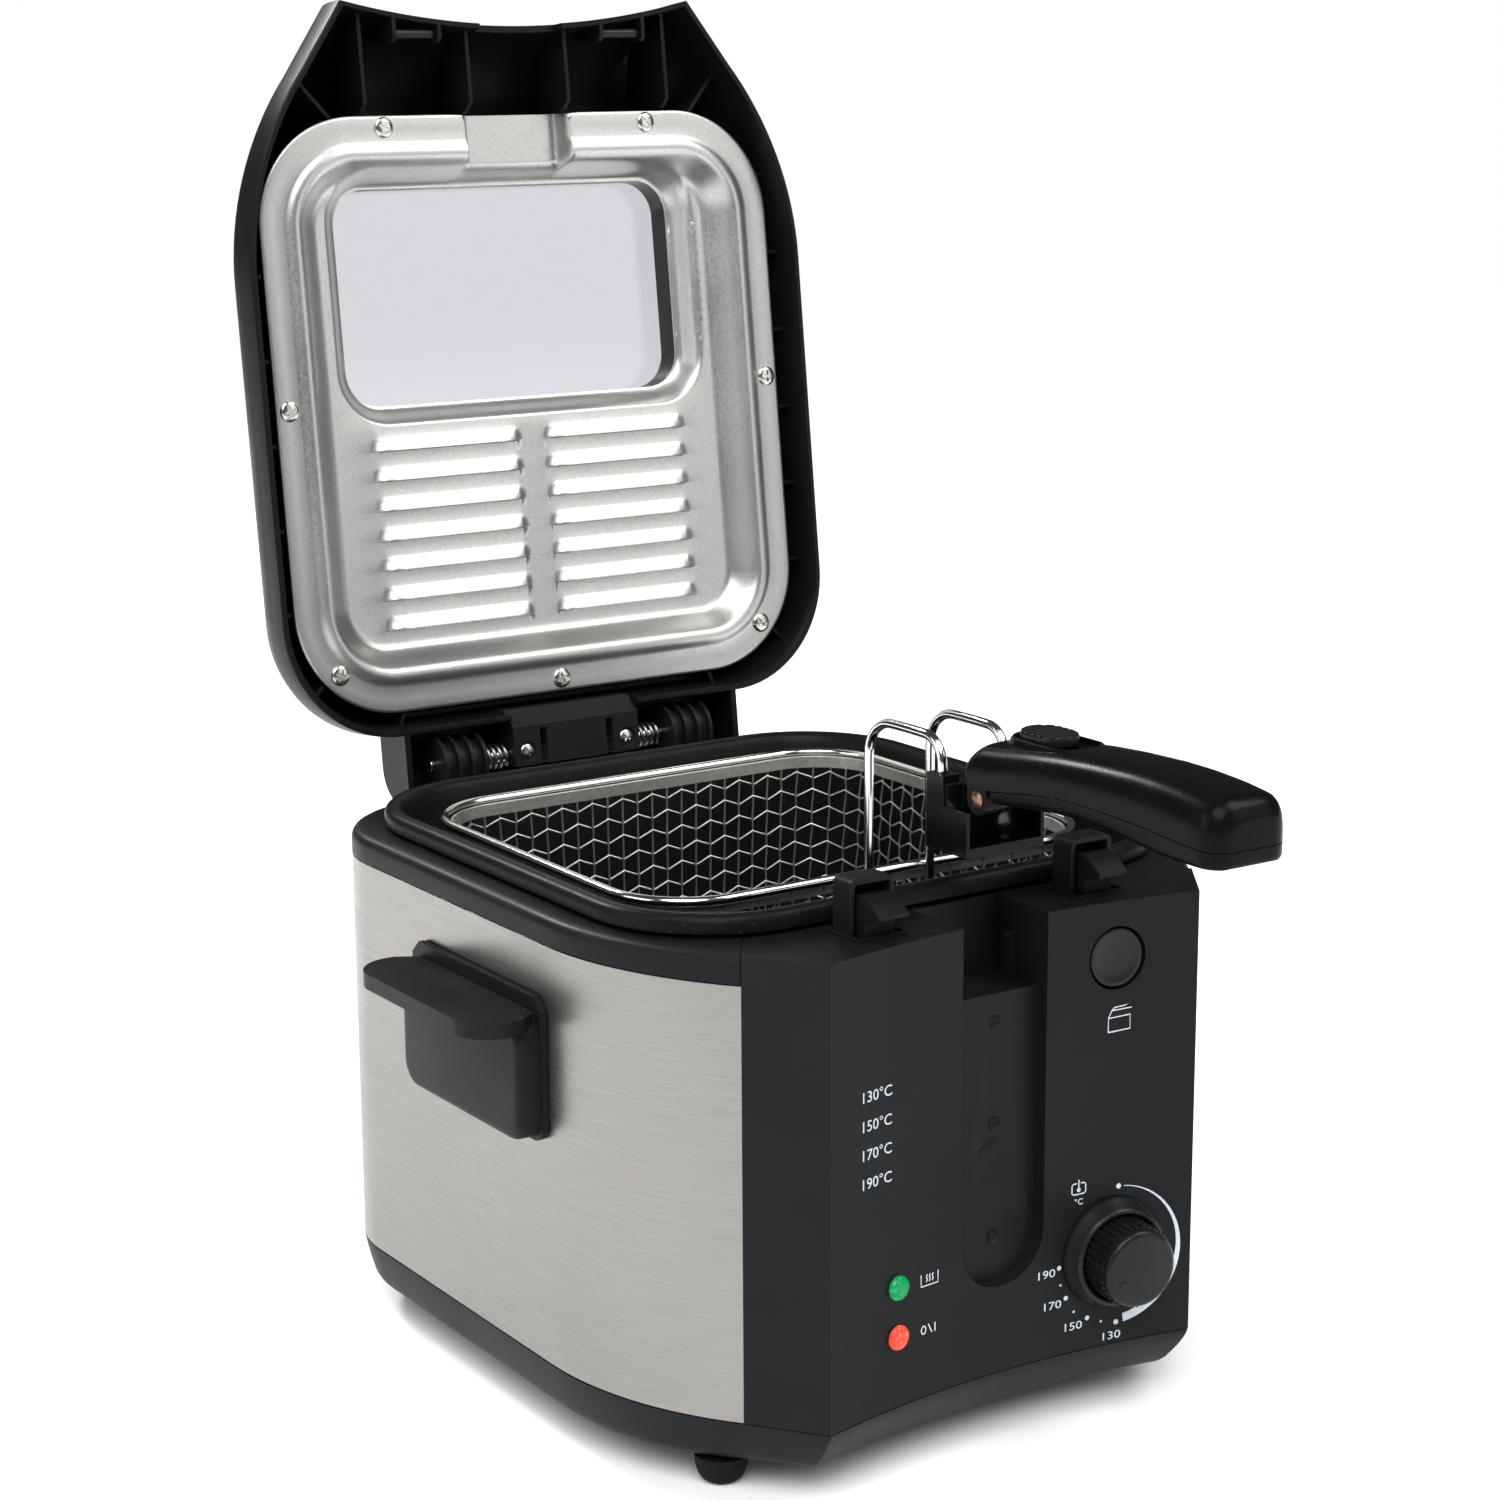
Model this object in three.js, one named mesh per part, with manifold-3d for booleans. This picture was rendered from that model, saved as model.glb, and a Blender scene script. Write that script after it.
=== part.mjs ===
// Compact deep fryer with a swing-up lid, a wire basket that lowers into the pot and a folding
// basket handle. Millimetres, +Z up. The front faces -Y. The lid stands open, the basket hangs in
// its drain position and the handle points forward.
import * as THREE from 'three';
import { mergeVertices } from 'three/addons/utils/BufferGeometryUtils.js';
import Module from 'manifold-3d';

const wasm = await Module();
wasm.setup();

// ---------------------------------------------------------------- driving dimensions
// Margins and set-backs run inwards from what they name; rises and depths run up and down from it.

// housing, seen from above; y = 0 is the middle of the housing
const halfWidth = 123;
const halfDepth = 138;
const frontDip = 9; // how far the middle of the concave front lies behind its corners
const frontCornerInset = 45.8; // from the side to the corner of the front
const panelSeamSetBack = 24; // from the front to the joint between steel wrap and panel
const panelReturn = 21; // how far the panel's ends run on behind that joint
const panelReturnInset = 15;
const sideArcRadius = 120;
const sideArcSetBack = 101; // centre of the bowed side, behind the front
const backCornerRadius = 46;

// heights, one on top of the other
const footHeight = 10;
const baseHeight = 18;
const wrapHeight = 150.4;
const ringHeight = 9.6;

// walls and gaps
const seam = 0.3; // between pieces that touch
const shellWall = 2.5;
const wrapSheet = 0.8;
const runningGap = 0.3;
const ribWall = 1.6;

// base tray
const baseSideInset = 4;
const baseFrontInset = 14;
const footRadius = 9.2;
const footSideInset = 32;
const footFrontInset = 44;
const footBackInset = 38;
const footStemRadius = 3;
const footStemLength = 5;
const ventRows = 7;
const ventPitch = 13;
const ventWidth = 4;
const ventLength = 84;

// cord gland
const glandX = -60;
const glandBelowSeam = 8.5;
const glandRadius = 5;
const glandFlange = 2.5;
const glandLength = 9;
const cordRadius = 3.4;

// top ring
const ringLip = 8; // how far it reaches down inside the steel wrap
const ringShoulder = 2.6;
const hingeSeatHeight = 5.2;
const hingeSeatOverhang = 8.5; // behind the housing
const hingeSeatMargin = 5; // beyond the knuckles
const hingeSeatDepth = 12; // inside the housing

// pot
const potSideMargin = 9; // from the housing's side to the pot's rim
const potFrontMargin = 37;
const potBackMargin = 8;
const potCornerRadius = 48;
const potRimRise = 8; // above the housing
const potRimLip = 7; // height of the rolled rim
const potRimWidth = 7.5; // from the outer edge of the rim to the wall
const potFloorRise = 24; // above the base tray
const potFloorBend = 12;
const potTaper = 6;
const potSheet = 1.6;

// heating element under the pot
const elementInset = 52; // from the pot's rim to the middle of the tube
const elementRadius = 4;
const elementGap = 1;
const elementLeadX = 22;
const elementLeadDrop = 14;
const elementLeadLength = 16;

// basket, hung high
const basketSideMargin = 18; // from the pot's rim
const basketFrontMargin = 34.7;
const basketBackMargin = 26.7;
const basketCornerRadius = 30;
const basketBelowRim = 4;
const basketDepth = 89;
const basketTaper = 4.2;
const basketWall = 1.4;
const basketFloorBend = 8;
const rimWireRadius = 1.8;
const basketDrop = 46; // from the drain position down to the frying position
const cellPitch = 27;
const cellBar = 3.6;

// hoops
const hoopX = 13;
const hoopWireRadius = 1.65;
const hoopAboveBracket = 13;
const hoopBackRadius = 13;
const hoopFrontRadius = 9;
const hoopFootRise = 12; // above the basket's floor
const hoopSocketDepth = 8; // of the legs in the bracket

// bracket
const bracketRecessGap = 5.4; // to the back of the panel's recess
const bracketShelfGap = 3.5; // to the panel's shelf when the basket is down
const bracketDepth = 21.8;
const bracketHeight = 25.5;
const bracketSideGap = 1.6; // to the sides of the channel
const bracketBlockDrop = 10.2; // from the columns to the block in front of them
const hoopLegSetBack = 4.3; // from the bracket's back
const bracketColumnWidth = 6.8;
const bracketWebDepth = 7;
const scoopRadius = 11;
const scoopWall = 4;

// folding handle and its pivot
const pivotReach = 4; // in front of the bracket
const pivotBelowTop = 4.8;
const pivotPinRadius = 2.2;
const pinHeadRadius = 2.9;
const pinHeadHeight = 0.7;
const tongueHalfWidth = 8.6;
const lugRadius = 5;
const lugGap = 0.5;
const handleSideGap = 1.8; // to the sides of the channel
const handleBackReach = 7.5; // behind the pivot
const handleLength = 121;
const handleBelowPivot = 0.7; // underside of the grip at its ends
const handleLowerDepth = 5;
const handleDepth = 18.4;
const handleWall = 2;
const handleEndRadius = 8; // seen from above
const handleEndRounding = 6; // seen from the side
const handleBackEdge = 2.5;
const gripEdge = 1.5;
const gripShoulder = [[0, 0.3], [1.2, 0.58], [4, 0.82], [9, 0.96]]; // inset and share of the height
const handleBackRounding = 11;
const handleBow = 3.5; // how far the middle of the grip rises above its ends
const handleBowExtra = 0.9; // further rise of the crown
const handleBowSetBack = 57; // from the back of the grip to the top of the bow
const handleBowReach = 50;

// slider on the handle
const sliderHalfWidth = 7.5;
const sliderLength = 27;
const sliderSetBack = 4; // from the pivot
const sliderTravel = 9;
const sliderHeight = 4;
const sliderDeckRise = 21; // from the underside of the grip to the deck it runs on
const sliderDeck = 5.5;
const sliderStemHalfWidth = 2;
const sliderSlotGap = 0.6; // on each side of the stem
const sliderSlotInset = 6; // from each end of the slider's travel
const sliderKeeper = 3.2; // how far the keeper under the deck reaches past the stem
const sliderRidges = 7;
const sliderRidgePitch = 3.4;
const trackMargin = 0.8;
const trackEndMargin = 3; // past the slider at each end of its travel
const trackCollar = 1.6;
const trackCollarRise = 1.2;

// control panel and handle channel
const controlX = 46; // knob, button, lamps and latches stand this far from the middle
const channelHalfWidth = 17.8;
const channelDepth = 5; // behind the middle of the front
const shelfBelowTop = 26.5;
const channelFootRise = 31.3; // above the base tray
const guideRibHeight = 2.2;
const guideRibThickness = 4;
const guideRibLength = 16.5;
const guideRibSetOut = 8.7; // from the back of the recess
const guideGrooveGap = 0.6; // between the rib and the groove in the basket's bracket
const guideGrooveEndGap = 1.5; // above the rib with the basket lowered
const dimpleRadius = 7.5;
const dimpleDepth = 1.3;
const dimpleRise = 44.1; // above the foot of the channel

// knob
const knobRise = 34.5; // above the base tray
const knobRadius = 14.7;
const knobFaceRadius = 13.8;
const knobStandOff = 19.5; // face above the panel
const knobSkirtGap = 2.2;
const knobRibs = 26;
const knobRibDepth = 0.7;
const knobPointerAngle = 206; // anticlockwise from 3 o'clock, facing the knob
const knobPointerRadius = 8.6;
const bezelRadius = 20;
const bezelHeight = 6.5;
const bezelGap = 1; // round the knob
const bezelStandOff = 1.1;
const thermostatRadius = 14;
const thermostatDepth = 11;
const thermostatGap = 1.2;
const shaftRadius = 3;
const shaftInset = 7; // into the thermostat

// lamps and release button
const greenLampRise = 42.6; // above the base tray
const redLampRise = 25.1;
const lampRadius = 4.3;
const lampShoulder = 1.1;
const buttonBelowTop = 20;
const buttonRadius = 10.3;
const buttonGap = 0.9;
const buttonTravel = 4; // the cap's skirt is as deep, and the latches move back as far
const buttonSunk = 0.4;
const buttonStemRadius = 2.5;

// latches
const collarHalfWidth = 10.5;
const collarSetBack = 14.1; // from the front
const collarDepth = 18.4;
const collarHeight = 1.2;
const collarWall = 1.5;
const hoodHalfWidth = 8.9;
const hoodSetBack = 6.3; // from the collar's front
const hoodDepth = 10.1;
const hoodRise = 19.3; // above the housing
const hoodRadius = 2.5;
const hoodWall = 2;
const hookHalfWidth = 6;
const hookRise = 14.3;
const hookTipSetBack = 8.6; // from the front
const hookTipRise = 9.2;
const hookPostSetBack = 2.4; // from the collar's front
const hookPostDepth = 5.3;
const linkBelowButton = 18;
const linkHeight = 8;
const latchSpringRadius = 3.6;
const latchSpringLength = 10.6;
const latchSpringWire = 0.6;

// lid, described closed; it is swung open at the end
const lidOpenAngle = 96.8; // degrees; the open lid leans back 6.8 degrees
const lidOverhang = 0.8;
const lidFrontOverhang = 3;
const lidHeight = 40;
const lidRoofInset = 40;
const noseNotchRise = 5.7; // above the lid's rim
const noseNotchGap = 0.6; // beside the channel

// liner
const linerSideMargin = 8.6; // from the housing's side
const linerFrontMargin = 39.5;
const linerBackMargin = 7.7;
const linerCornerRadius = 42;
const linerRise = 9; // flange above the lid's rim
const linerStep = 8; // panel above the flange
const linerSheet = 0.8;
const linerFlangeWidth = 12.5;
const beadDepth = 1.2;
const troughHalfWidth = 22.5;
const troughRun = 13.5; // behind the flange

// window
const windowSideMargin = 38.4; // from the liner's edge
const windowFrontMargin = 26.5;
const windowCornerRadius = 14;
const windowStep = 8.7; // rim above the liner's panel
const windowPocketWidth = 8;
const windowFrameWall = 2.6;
const windowSeatMargin = 3.2;
const glassThickness = 2.5;
const glassLap = 2.8; // over the frame

// louvres
const louvreRows = 7;
const louvreFrontMargin = 14.5; // behind the window
const louvreBackMargin = 34.2; // before the liner's back edge
const louvreInnerX = 4.6;
const louvreSideInset = 3.3; // from the window's side
const louvreHeight = 2.2;
const louvreLength = 5.9;
const louvreSlit = 1.6;

// filter
const filterSideInset = 10; // from the window's side
const filterFrontMargin = 15; // behind the window
const filterBackMargin = 41.3; // before the liner's back edge
const filterLength = 62;
const filterGap = 0.4;
const filterMatGap = 2;
const filterSlots = 6;
const filterSlotPitch = 8;
const filterSlotWidth = 3.2;
const filterSlotInner = 6; // from the middle to the slots on each side
const filterSlotMargin = 8;

// ribs and catch bars inside the lid
const noseRibX = [22, 68];
const ribGap = 0.7; // to the liner's edge
const sideRibPitch = 36;
const sideRibs = 5;
const catchBarHalf = 8.6;
const catchBarRadius = 2;
const catchBarSetBack = 9.4; // from the front
const catchBarRise = 4.3; // above the lid's rim

// hinge
const hingeReach = 14.5; // behind the housing
const hingeRise = 7.7; // above the housing
const hingeHoodRadius = 13.8;
const hingeHoodWall = 2;
const hingeHoodHalfWidth = 77;
const hingePinRadius = 2.5;
const hingePinEnd = 2;
const hingeBlockHalfWidth = 29;
const hingeBlockGap = 4.5; // to the liner
const hingeBlockBack = 4.5; // behind the axis
const hingeBlockHeight = 14.2;
const hingeBlockChamfer = 6.2;
const hingeSlotX = 15.3;
const hingeSlotWidth = 2.8;
const knuckleInnerX = 43;
const knuckleOuterX = 62;
const knuckleRadius = 11.2;
const knuckleRibDepth = 2.6;
const knuckleRibs = 4;
const hingeSpringRadius = 4.4;
const hingeSpringWire = 0.8;
const hingeSpringGap = 2;

// side handles
const sideHandleY = 9;
const sideHandleHalfLength = 45;
const sideHandlePlate = 2.5;
const sideHandleBelowWrap = 18.4;
const sideHandleHeight = 56.5;
const sideShelfDrop = 10; // from the top of the plate
const sideShelfThickness = 7;
const sideShelfSheet = 4.8;
const sideShelfReach = 25.5;
const sideShelfRadius = 13;
const sideGripReach = 11;
const sideGripRadius = 8;

// ---------------------------------------------------------------- places that follow
const housingFront = -halfDepth;
const baseTop = footHeight + baseHeight;
const wrapTop = baseTop + wrapHeight;
const housingTop = wrapTop + ringHeight;
const panelSeamY = housingFront + panelSeamSetBack;
const frontCornerX = halfWidth - frontCornerInset;
const hingeSeatTop = wrapTop + hingeSeatHeight;

const potHalfX = halfWidth - potSideMargin;
const potHalfY = halfDepth - (potFrontMargin + potBackMargin) / 2;
const potCentreY = (potFrontMargin - potBackMargin) / 2;
const potRimTop = housingTop + potRimRise;
const potFloor = baseTop + potFloorRise;

const basketHalfX = potHalfX - basketSideMargin;
const basketHalfY = potHalfY - (basketFrontMargin + basketBackMargin) / 2;
const basketCentreY = potCentreY + (basketFrontMargin - basketBackMargin) / 2;
const basketRimZ = potRimTop - basketBelowRim;

const recessBackY = housingFront + potFrontMargin - seam;
const channelPlateY = housingFront + frontDip + channelDepth;
const channelShelf = housingTop - shelfBelowTop;
const channelBottom = baseTop + channelFootRise;
const guideRibX = channelHalfWidth - guideRibHeight;
const guideRibY = recessBackY - guideRibSetOut;
const guideRibTop = channelShelf + guideRibLength;

const bracketHalfWidth = channelHalfWidth - bracketSideGap;
const bracketBackY = recessBackY - bracketRecessGap;
const bracketFrontY = bracketBackY - bracketDepth;
const bracketBottom = channelShelf + basketDrop + bracketShelfGap;
const bracketTop = bracketBottom + bracketHeight;
const blockTop = bracketTop - bracketBlockDrop;
const hoopFrontY = bracketBackY - hoopLegSetBack;
const hoopTop = bracketTop + hoopAboveBracket;

const pivotY = bracketFrontY - pivotReach;
const pivotZ = bracketTop - pivotBelowTop;
const handleHalfWidth = channelHalfWidth - handleSideGap;
const handleBackY = pivotY + handleBackReach;
const handleEndY = handleBackY - handleLength;
const handleUnder = pivotZ - handleBelowPivot;
const handleParting = handleUnder + handleLowerDepth;
const handleCrown = handleUnder + handleDepth;
const lugStop = pivotY - lugRadius - 3;
const deckTop = handleUnder + sliderDeckRise;
const deckBottom = deckTop - sliderDeck;
const sliderTop = deckTop + sliderHeight;
const sliderBackY = pivotY - sliderSetBack;

const knobZ = baseTop + knobRise;
const greenLampZ = baseTop + greenLampRise;
const redLampZ = baseTop + redLampRise;
const buttonZ = housingTop - buttonBelowTop;
const linkZ = buttonZ - linkBelowButton;

const collarFrontY = housingFront + collarSetBack;
const collarBackY = collarFrontY + collarDepth;
const hoodFrontY = collarFrontY + hoodSetBack;
const hoodBackY = hoodFrontY + hoodDepth;
const hoodTop = housingTop + hoodRise;
const hookTipY = housingFront + hookTipSetBack;
const hookTipZ = housingTop + hookTipRise;
const hookTop = housingTop + hookRise;
const hookPostFrontY = collarFrontY + hookPostSetBack;
const hookPostBackY = hookPostFrontY + hookPostDepth;

const hingeY = halfDepth + hingeReach;
const hingeZ = housingTop + hingeRise;
const lidRim = housingTop + seam;
const lidRoof = lidRim + lidHeight;
const noseNotchTop = lidRim + noseNotchRise;
const catchBarY = housingFront + catchBarSetBack;
const catchBarZ = lidRim + catchBarRise;

const linerHalfX = halfWidth - linerSideMargin;
const linerHalfY = halfDepth - (linerFrontMargin + linerBackMargin) / 2;
const linerCentreY = (linerFrontMargin - linerBackMargin) / 2;
const linerFrontY = linerCentreY - linerHalfY;
const linerBackY = linerCentreY + linerHalfY;
const linerFlange = lidRim + linerRise;
const linerPanel = linerFlange + linerStep;
const filterBackY = linerBackY - filterBackMargin;
const filterFrontY = filterBackY - filterLength;
const windowHalfX = linerHalfX - windowSideMargin;
const windowFrontY = linerFrontY + windowFrontMargin;
const windowBackY = filterFrontY - filterFrontMargin;
const windowHalfY = (windowBackY - windowFrontY) / 2;
const windowCentreY = (windowFrontY + windowBackY) / 2;
const windowRim = linerPanel + windowStep;
const louvreOuterX = windowHalfX - louvreSideInset;
const louvreFirstY = windowBackY + louvreFrontMargin;
const louvrePitch = (linerBackY - louvreBackMargin - louvreFirstY) / (louvreRows - 1);
const filterHalfX = windowHalfX - filterSideInset;
const hingeBlockFront = linerBackY + hingeBlockGap;
const hingeBlockTop = lidRim + seam + hingeBlockHeight;

const sideHandleTop = wrapTop - sideHandleBelowWrap;
const sideHandleBottom = sideHandleTop - sideHandleHeight;
const sideShelfTop = sideHandleTop - sideShelfDrop;

// ---------------------------------------------------------------- materials
const finish = (color, roughness, metalness) =>
  new THREE.MeshStandardMaterial({ color, roughness, metalness });
const blackPlastic = finish(0x1b1c1e, 0.55, 0);
const glossPlastic = finish(0x141517, 0.3, 0);
const rubber = finish(0x101010, 0.9, 0);
const brushedSteel = finish(0xb9b7b3, 0.38, 1);
const satinAluminium = finish(0xc4c4c2, 0.42, 1);
const chrome = finish(0xdadada, 0.12, 1);
const springSteel = finish(0x9a9a9a, 0.3, 1);
const potCoating = finish(0x2c2b2a, 0.5, 0.2);
const clearGlass = finish(0xe8eef0, 0.05, 0);
const greenLens = finish(0x0e9c4a, 0.2, 0);
const redLens = finish(0xe0402c, 0.2, 0);
const ceramic = finish(0x7d7f80, 0.6, 0.2);
const filterFibre = finish(0x3a3a3a, 1, 0);

// ---------------------------------------------------------------- solids
const rad = THREE.MathUtils.degToRad;
const both = (make) => [-1, 1].map(make);
const far = 2 * (halfDepth + halfWidth); // longer than the whole fryer, for cuts that go right through

/** A solid from flat arrays, turned outside out when its volume is negative. */
function fromArrays(positions, indices) {
  let volume = 0;
  const at = (i) => new THREE.Vector3().fromArray(positions, 3 * i);
  for (let i = 0; i < indices.length; i += 3) {
    volume += at(indices[i]).dot(at(indices[i + 1]).cross(at(indices[i + 2])));
  }
  if (volume < 0) indices.reverse();
  return new wasm.Manifold(new wasm.Mesh({
    numProp: 3,
    vertProperties: new Float32Array(positions),
    triVerts: new Uint32Array(indices),
  }));
}

/** A solid from a closed three.js geometry. */
function solid(geometry) {
  const bare = geometry.clone();
  bare.deleteAttribute('normal');
  bare.deleteAttribute('uv');
  const merged = mergeVertices(bare, 1e-4);
  return fromArrays(Array.from(merged.attributes.position.array), Array.from(merged.index.array));
}

const join = (...solids) => solids.reduce((all, next) => all.add(next));
const cut = (whole, ...tools) => tools.reduce((left, tool) => left.subtract(tool), whole);

function box(x0, x1, y0, y1, z0, z1) {
  const geometry = new THREE.BoxGeometry(Math.abs(x1 - x0), Math.abs(y1 - y0), Math.abs(z1 - z0));
  return solid(geometry.translate((x0 + x1) / 2, (y0 + y1) / 2, (z0 + z1) / 2));
}

/** Points of an arc, angles in degrees. */
function arc(cx, cy, radius, from, to, steps) {
  return Array.from({ length: steps + 1 }, (_, i) => {
    const angle = rad(from + ((to - from) * i) / steps);
    return [cx + radius * Math.cos(angle), cy + radius * Math.sin(angle)];
  });
}

function shapeOf(points) {
  return new THREE.Shape(points.map(([x, y]) => new THREE.Vector2(x, y)));
}

/** Outline in XY raised from z0 to z1. */
function prism(points, z0, z1) {
  const geometry = new THREE.ExtrudeGeometry(shapeOf(points), { depth: z1 - z0, bevelEnabled: false });
  return solid(geometry.translate(0, 0, z0));
}

/** Side profile in (y, z) drawn out between two places on X. */
function profileX(points, from, to) {
  const [x0, x1] = [Math.min(from, to), Math.max(from, to)];
  const geometry = new THREE.ExtrudeGeometry(shapeOf(points), { depth: x1 - x0, bevelEnabled: false });
  geometry.applyMatrix4(new THREE.Matrix4().set(0, 0, 1, x0, 1, 0, 0, 0, 0, 1, 0, 0, 0, 0, 0, 1));
  return solid(geometry);
}

/** Front profile in (x, z) drawn out from y0 to y1. */
function profileY(points, y0, y1) {
  const geometry = new THREE.ExtrudeGeometry(shapeOf(points), { depth: y1 - y0, bevelEnabled: false });
  geometry.applyMatrix4(new THREE.Matrix4().set(1, 0, 0, 0, 0, 0, -1, y1, 0, 1, 0, 0, 0, 0, 0, 1));
  return solid(geometry);
}

/** Loops with equal point counts skinned in order; open stacks are capped, closed ones meet. */
function skin(loops, closed = false) {
  const count = loops[0].length;
  const positions = loops.flat(2);
  const indices = [];
  const bands = closed ? loops.length : loops.length - 1;
  for (let k = 0; k < bands; k++) {
    const low = k * count;
    const high = ((k + 1) % loops.length) * count;
    for (let i = 0; i < count; i++) {
      const j = (i + 1) % count;
      indices.push(low + i, low + j, high + i, low + j, high + j, high + i);
    }
  }
  if (!closed) {
    const cap = (start, flip) => {
      const loop = loops[start].map(([x, y]) => new THREE.Vector2(x, y));
      for (const [a, b, c] of THREE.ShapeUtils.triangulateShape(loop, [])) {
        const base = start * count;
        indices.push(...(flip ? [base + a, base + c, base + b] : [base + a, base + b, base + c]));
      }
    };
    cap(0, true);
    cap(loops.length - 1, false);
  }
  return fromArrays(positions, indices);
}

const atHeight = (points, z) => points.map(([x, y]) => [x, y, z]);

/** Rounded rectangle about (0, cy). */
function roundRect(halfX, halfY, radius, cy = 0, steps = 4) {
  const r = Math.max(radius, 0.6);
  return [
    ...arc(halfX - r, cy + halfY - r, r, 0, 90, steps),
    ...arc(-halfX + r, cy + halfY - r, r, 90, 180, steps),
    ...arc(-halfX + r, cy - halfY + r, r, 180, 270, steps),
    ...arc(halfX - r, cy - halfY + r, r, 270, 360, steps),
  ];
}

/** A rounded-rectangle turning: profile points are [inset, z]. */
function rectTurn({ halfX, halfY, radius, cy, steps = 4 }, profile, closed = false) {
  return skin(profile.map(([inset, z]) =>
    atHeight(roundRect(halfX - inset, halfY - inset, radius - inset, cy, steps), z)), closed);
}

/** The same rectangle grown on every side. */
const grown = (rect, by) =>
  ({ ...rect, halfX: rect.halfX + by, halfY: rect.halfY + by, radius: rect.radius + by });
const outlineOf = ({ halfX, halfY, radius, cy }) => roundRect(halfX, halfY, radius, cy);

/** Straight-sided oval along Y about (0, cy). */
function stadium(halfW, halfL, cy) {
  return [
    ...arc(0, cy + halfL - halfW, halfW, 0, 180, 6),
    ...arc(0, cy - halfL + halfW, halfW, 180, 360, 6),
  ];
}

function lathe(profile, segments = 20) {
  const points = profile.map(([r, z]) => new THREE.Vector2(r, z));
  return solid(new THREE.LatheGeometry(points, segments).rotateX(Math.PI / 2));
}

/** A round bar between two places. */
function bar(radius, from, to, segments = 12) {
  const start = new THREE.Vector3(...from);
  const axis = new THREE.Vector3(...to).sub(start);
  const geometry = new THREE.CylinderGeometry(radius, radius, axis.length(), segments);
  geometry.translate(0, axis.length() / 2, 0);
  geometry.applyQuaternion(new THREE.Quaternion().setFromUnitVectors(
    new THREE.Vector3(0, 1, 0), axis.normalize()));
  return solid(geometry.translate(start.x, start.y, start.z));
}

/** A wire of round section along a curve through the points; its section has an even side count. */
function wire(points, radius, steps, sides = 6) {
  const path = new THREE.CatmullRomCurve3(points.map((p) => new THREE.Vector3(...p)), false, 'centripetal');
  const section = new THREE.Shape().absarc(0, 0, radius, 0, 2 * Math.PI, false);
  return solid(new THREE.ExtrudeGeometry(section, { steps, extrudePath: path, curveSegments: sides / 2 }));
}

/** A coil spring along X or Y between two places. */
function coil(axis, start, end, centre, radius, wireRadius, turns) {
  const stepsPerTurn = 6;
  const count = turns * stepsPerTurn;
  const points = Array.from({ length: count + 1 }, (_, i) => {
    const along = start + ((end - start) * i) / count;
    const angle = (2 * Math.PI * i) / stepsPerTurn;
    const a = radius * Math.cos(angle);
    const b = radius * Math.sin(angle);
    return axis === 'x' ? [along, centre[0] + a, centre[1] + b] : [centre[0] + a, along, centre[1] + b];
  });
  return wire(points, wireRadius, count, 4);
}

// ---------------------------------------------------------------- housing outline
const sideArcX = halfWidth - sideArcRadius;
const sideArcY = housingFront + sideArcSetBack;
const seamX = sideArcX + Math.sqrt(sideArcRadius ** 2 - (panelSeamY - sideArcY) ** 2);
const frontArcRadius = (frontCornerX ** 2 + frontDip ** 2) / (2 * frontDip);
const frontArcY = housingFront + frontDip - frontArcRadius;
const mirrored = (points) => points.map(([x, y]) => [-x, y]).reverse();

/** y of the concave front face at x. */
const frontAt = (x) => frontArcY + Math.sqrt(frontArcRadius ** 2 - x ** 2);

/** Left to right along the concave front. */
function frontEdge(steps = 6) {
  const half = THREE.MathUtils.radToDeg(Math.asin(frontCornerX / frontArcRadius));
  return arc(0, frontArcY, frontArcRadius, 90 + half, 90 - half, steps);
}

/** From the right panel seam round the back to the left one, longer by some degrees if asked. */
function wrapEdge(extra = 0) {
  const seamAngle = -extra + THREE.MathUtils.radToDeg(Math.asin((panelSeamY - sideArcY) / sideArcRadius));
  const side = arc(sideArcX, sideArcY, sideArcRadius, seamAngle, 0, 3);
  const r = backCornerRadius;
  const right = [...side, ...arc(halfWidth - r, halfDepth - r, r, 0, 90, 4)];
  return [...right, ...mirrored(right)];
}

const housingOutline = () => [...frontEdge(), ...wrapEdge()];

/** The outline drawn in, more at the front than at the sides when frontInset says so. */
function drawnIn(points, inset, frontInset = inset) {
  const blendStart = panelSeamY + 45;
  return points.map(([x, y]) => {
    const share = THREE.MathUtils.smoothstep(-y, -blendStart, -housingFront);
    const depthInset = y < 0 ? THREE.MathUtils.lerp(inset, frontInset, share) : inset;
    return [x * (1 - inset / halfWidth), y * (1 - depthInset / halfDepth)];
  });
}

/** Every point moved inwards at right angles to its edges. */
function inward(points, distance) {
  return points.map(([x, y], i) => {
    const before = points[Math.max(i - 1, 0)];
    const after = points[Math.min(i + 1, points.length - 1)];
    const length = Math.hypot(after[0] - before[0], after[1] - before[1]);
    return [
      x - (distance * (after[1] - before[1])) / length,
      y + (distance * (after[0] - before[0])) / length,
    ];
  });
}

const potRect = { halfX: potHalfX, halfY: potHalfY, radius: potCornerRadius, cy: potCentreY };
const potWell = () =>
  prism(outlineOf(grown(potRect, runningGap - potRimWidth)), wrapTop - ringLip - 2, housingTop + 1);

// ---------------------------------------------------------------- housing pieces
const feet = both((side) => [
  { name: side < 0 ? 'foot_front_left' : 'foot_front_right', y: housingFront + footFrontInset },
  { name: side < 0 ? 'foot_back_left' : 'foot_back_right', y: halfDepth - footBackInset },
].map((place) => ({ ...place, x: side * (halfWidth - footSideInset) }))).flat();

/** Levels of the base tray: height, inset at the sides and inset at the front. */
const trayLevels = [
  [footHeight, baseSideInset + 3, baseFrontInset + 3],
  [footHeight + 1.5, baseSideInset, baseFrontInset],
  [footHeight + baseHeight / 3, baseSideInset / 2, baseFrontInset * 0.62],
  [baseTop, 0, 0],
];

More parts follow.
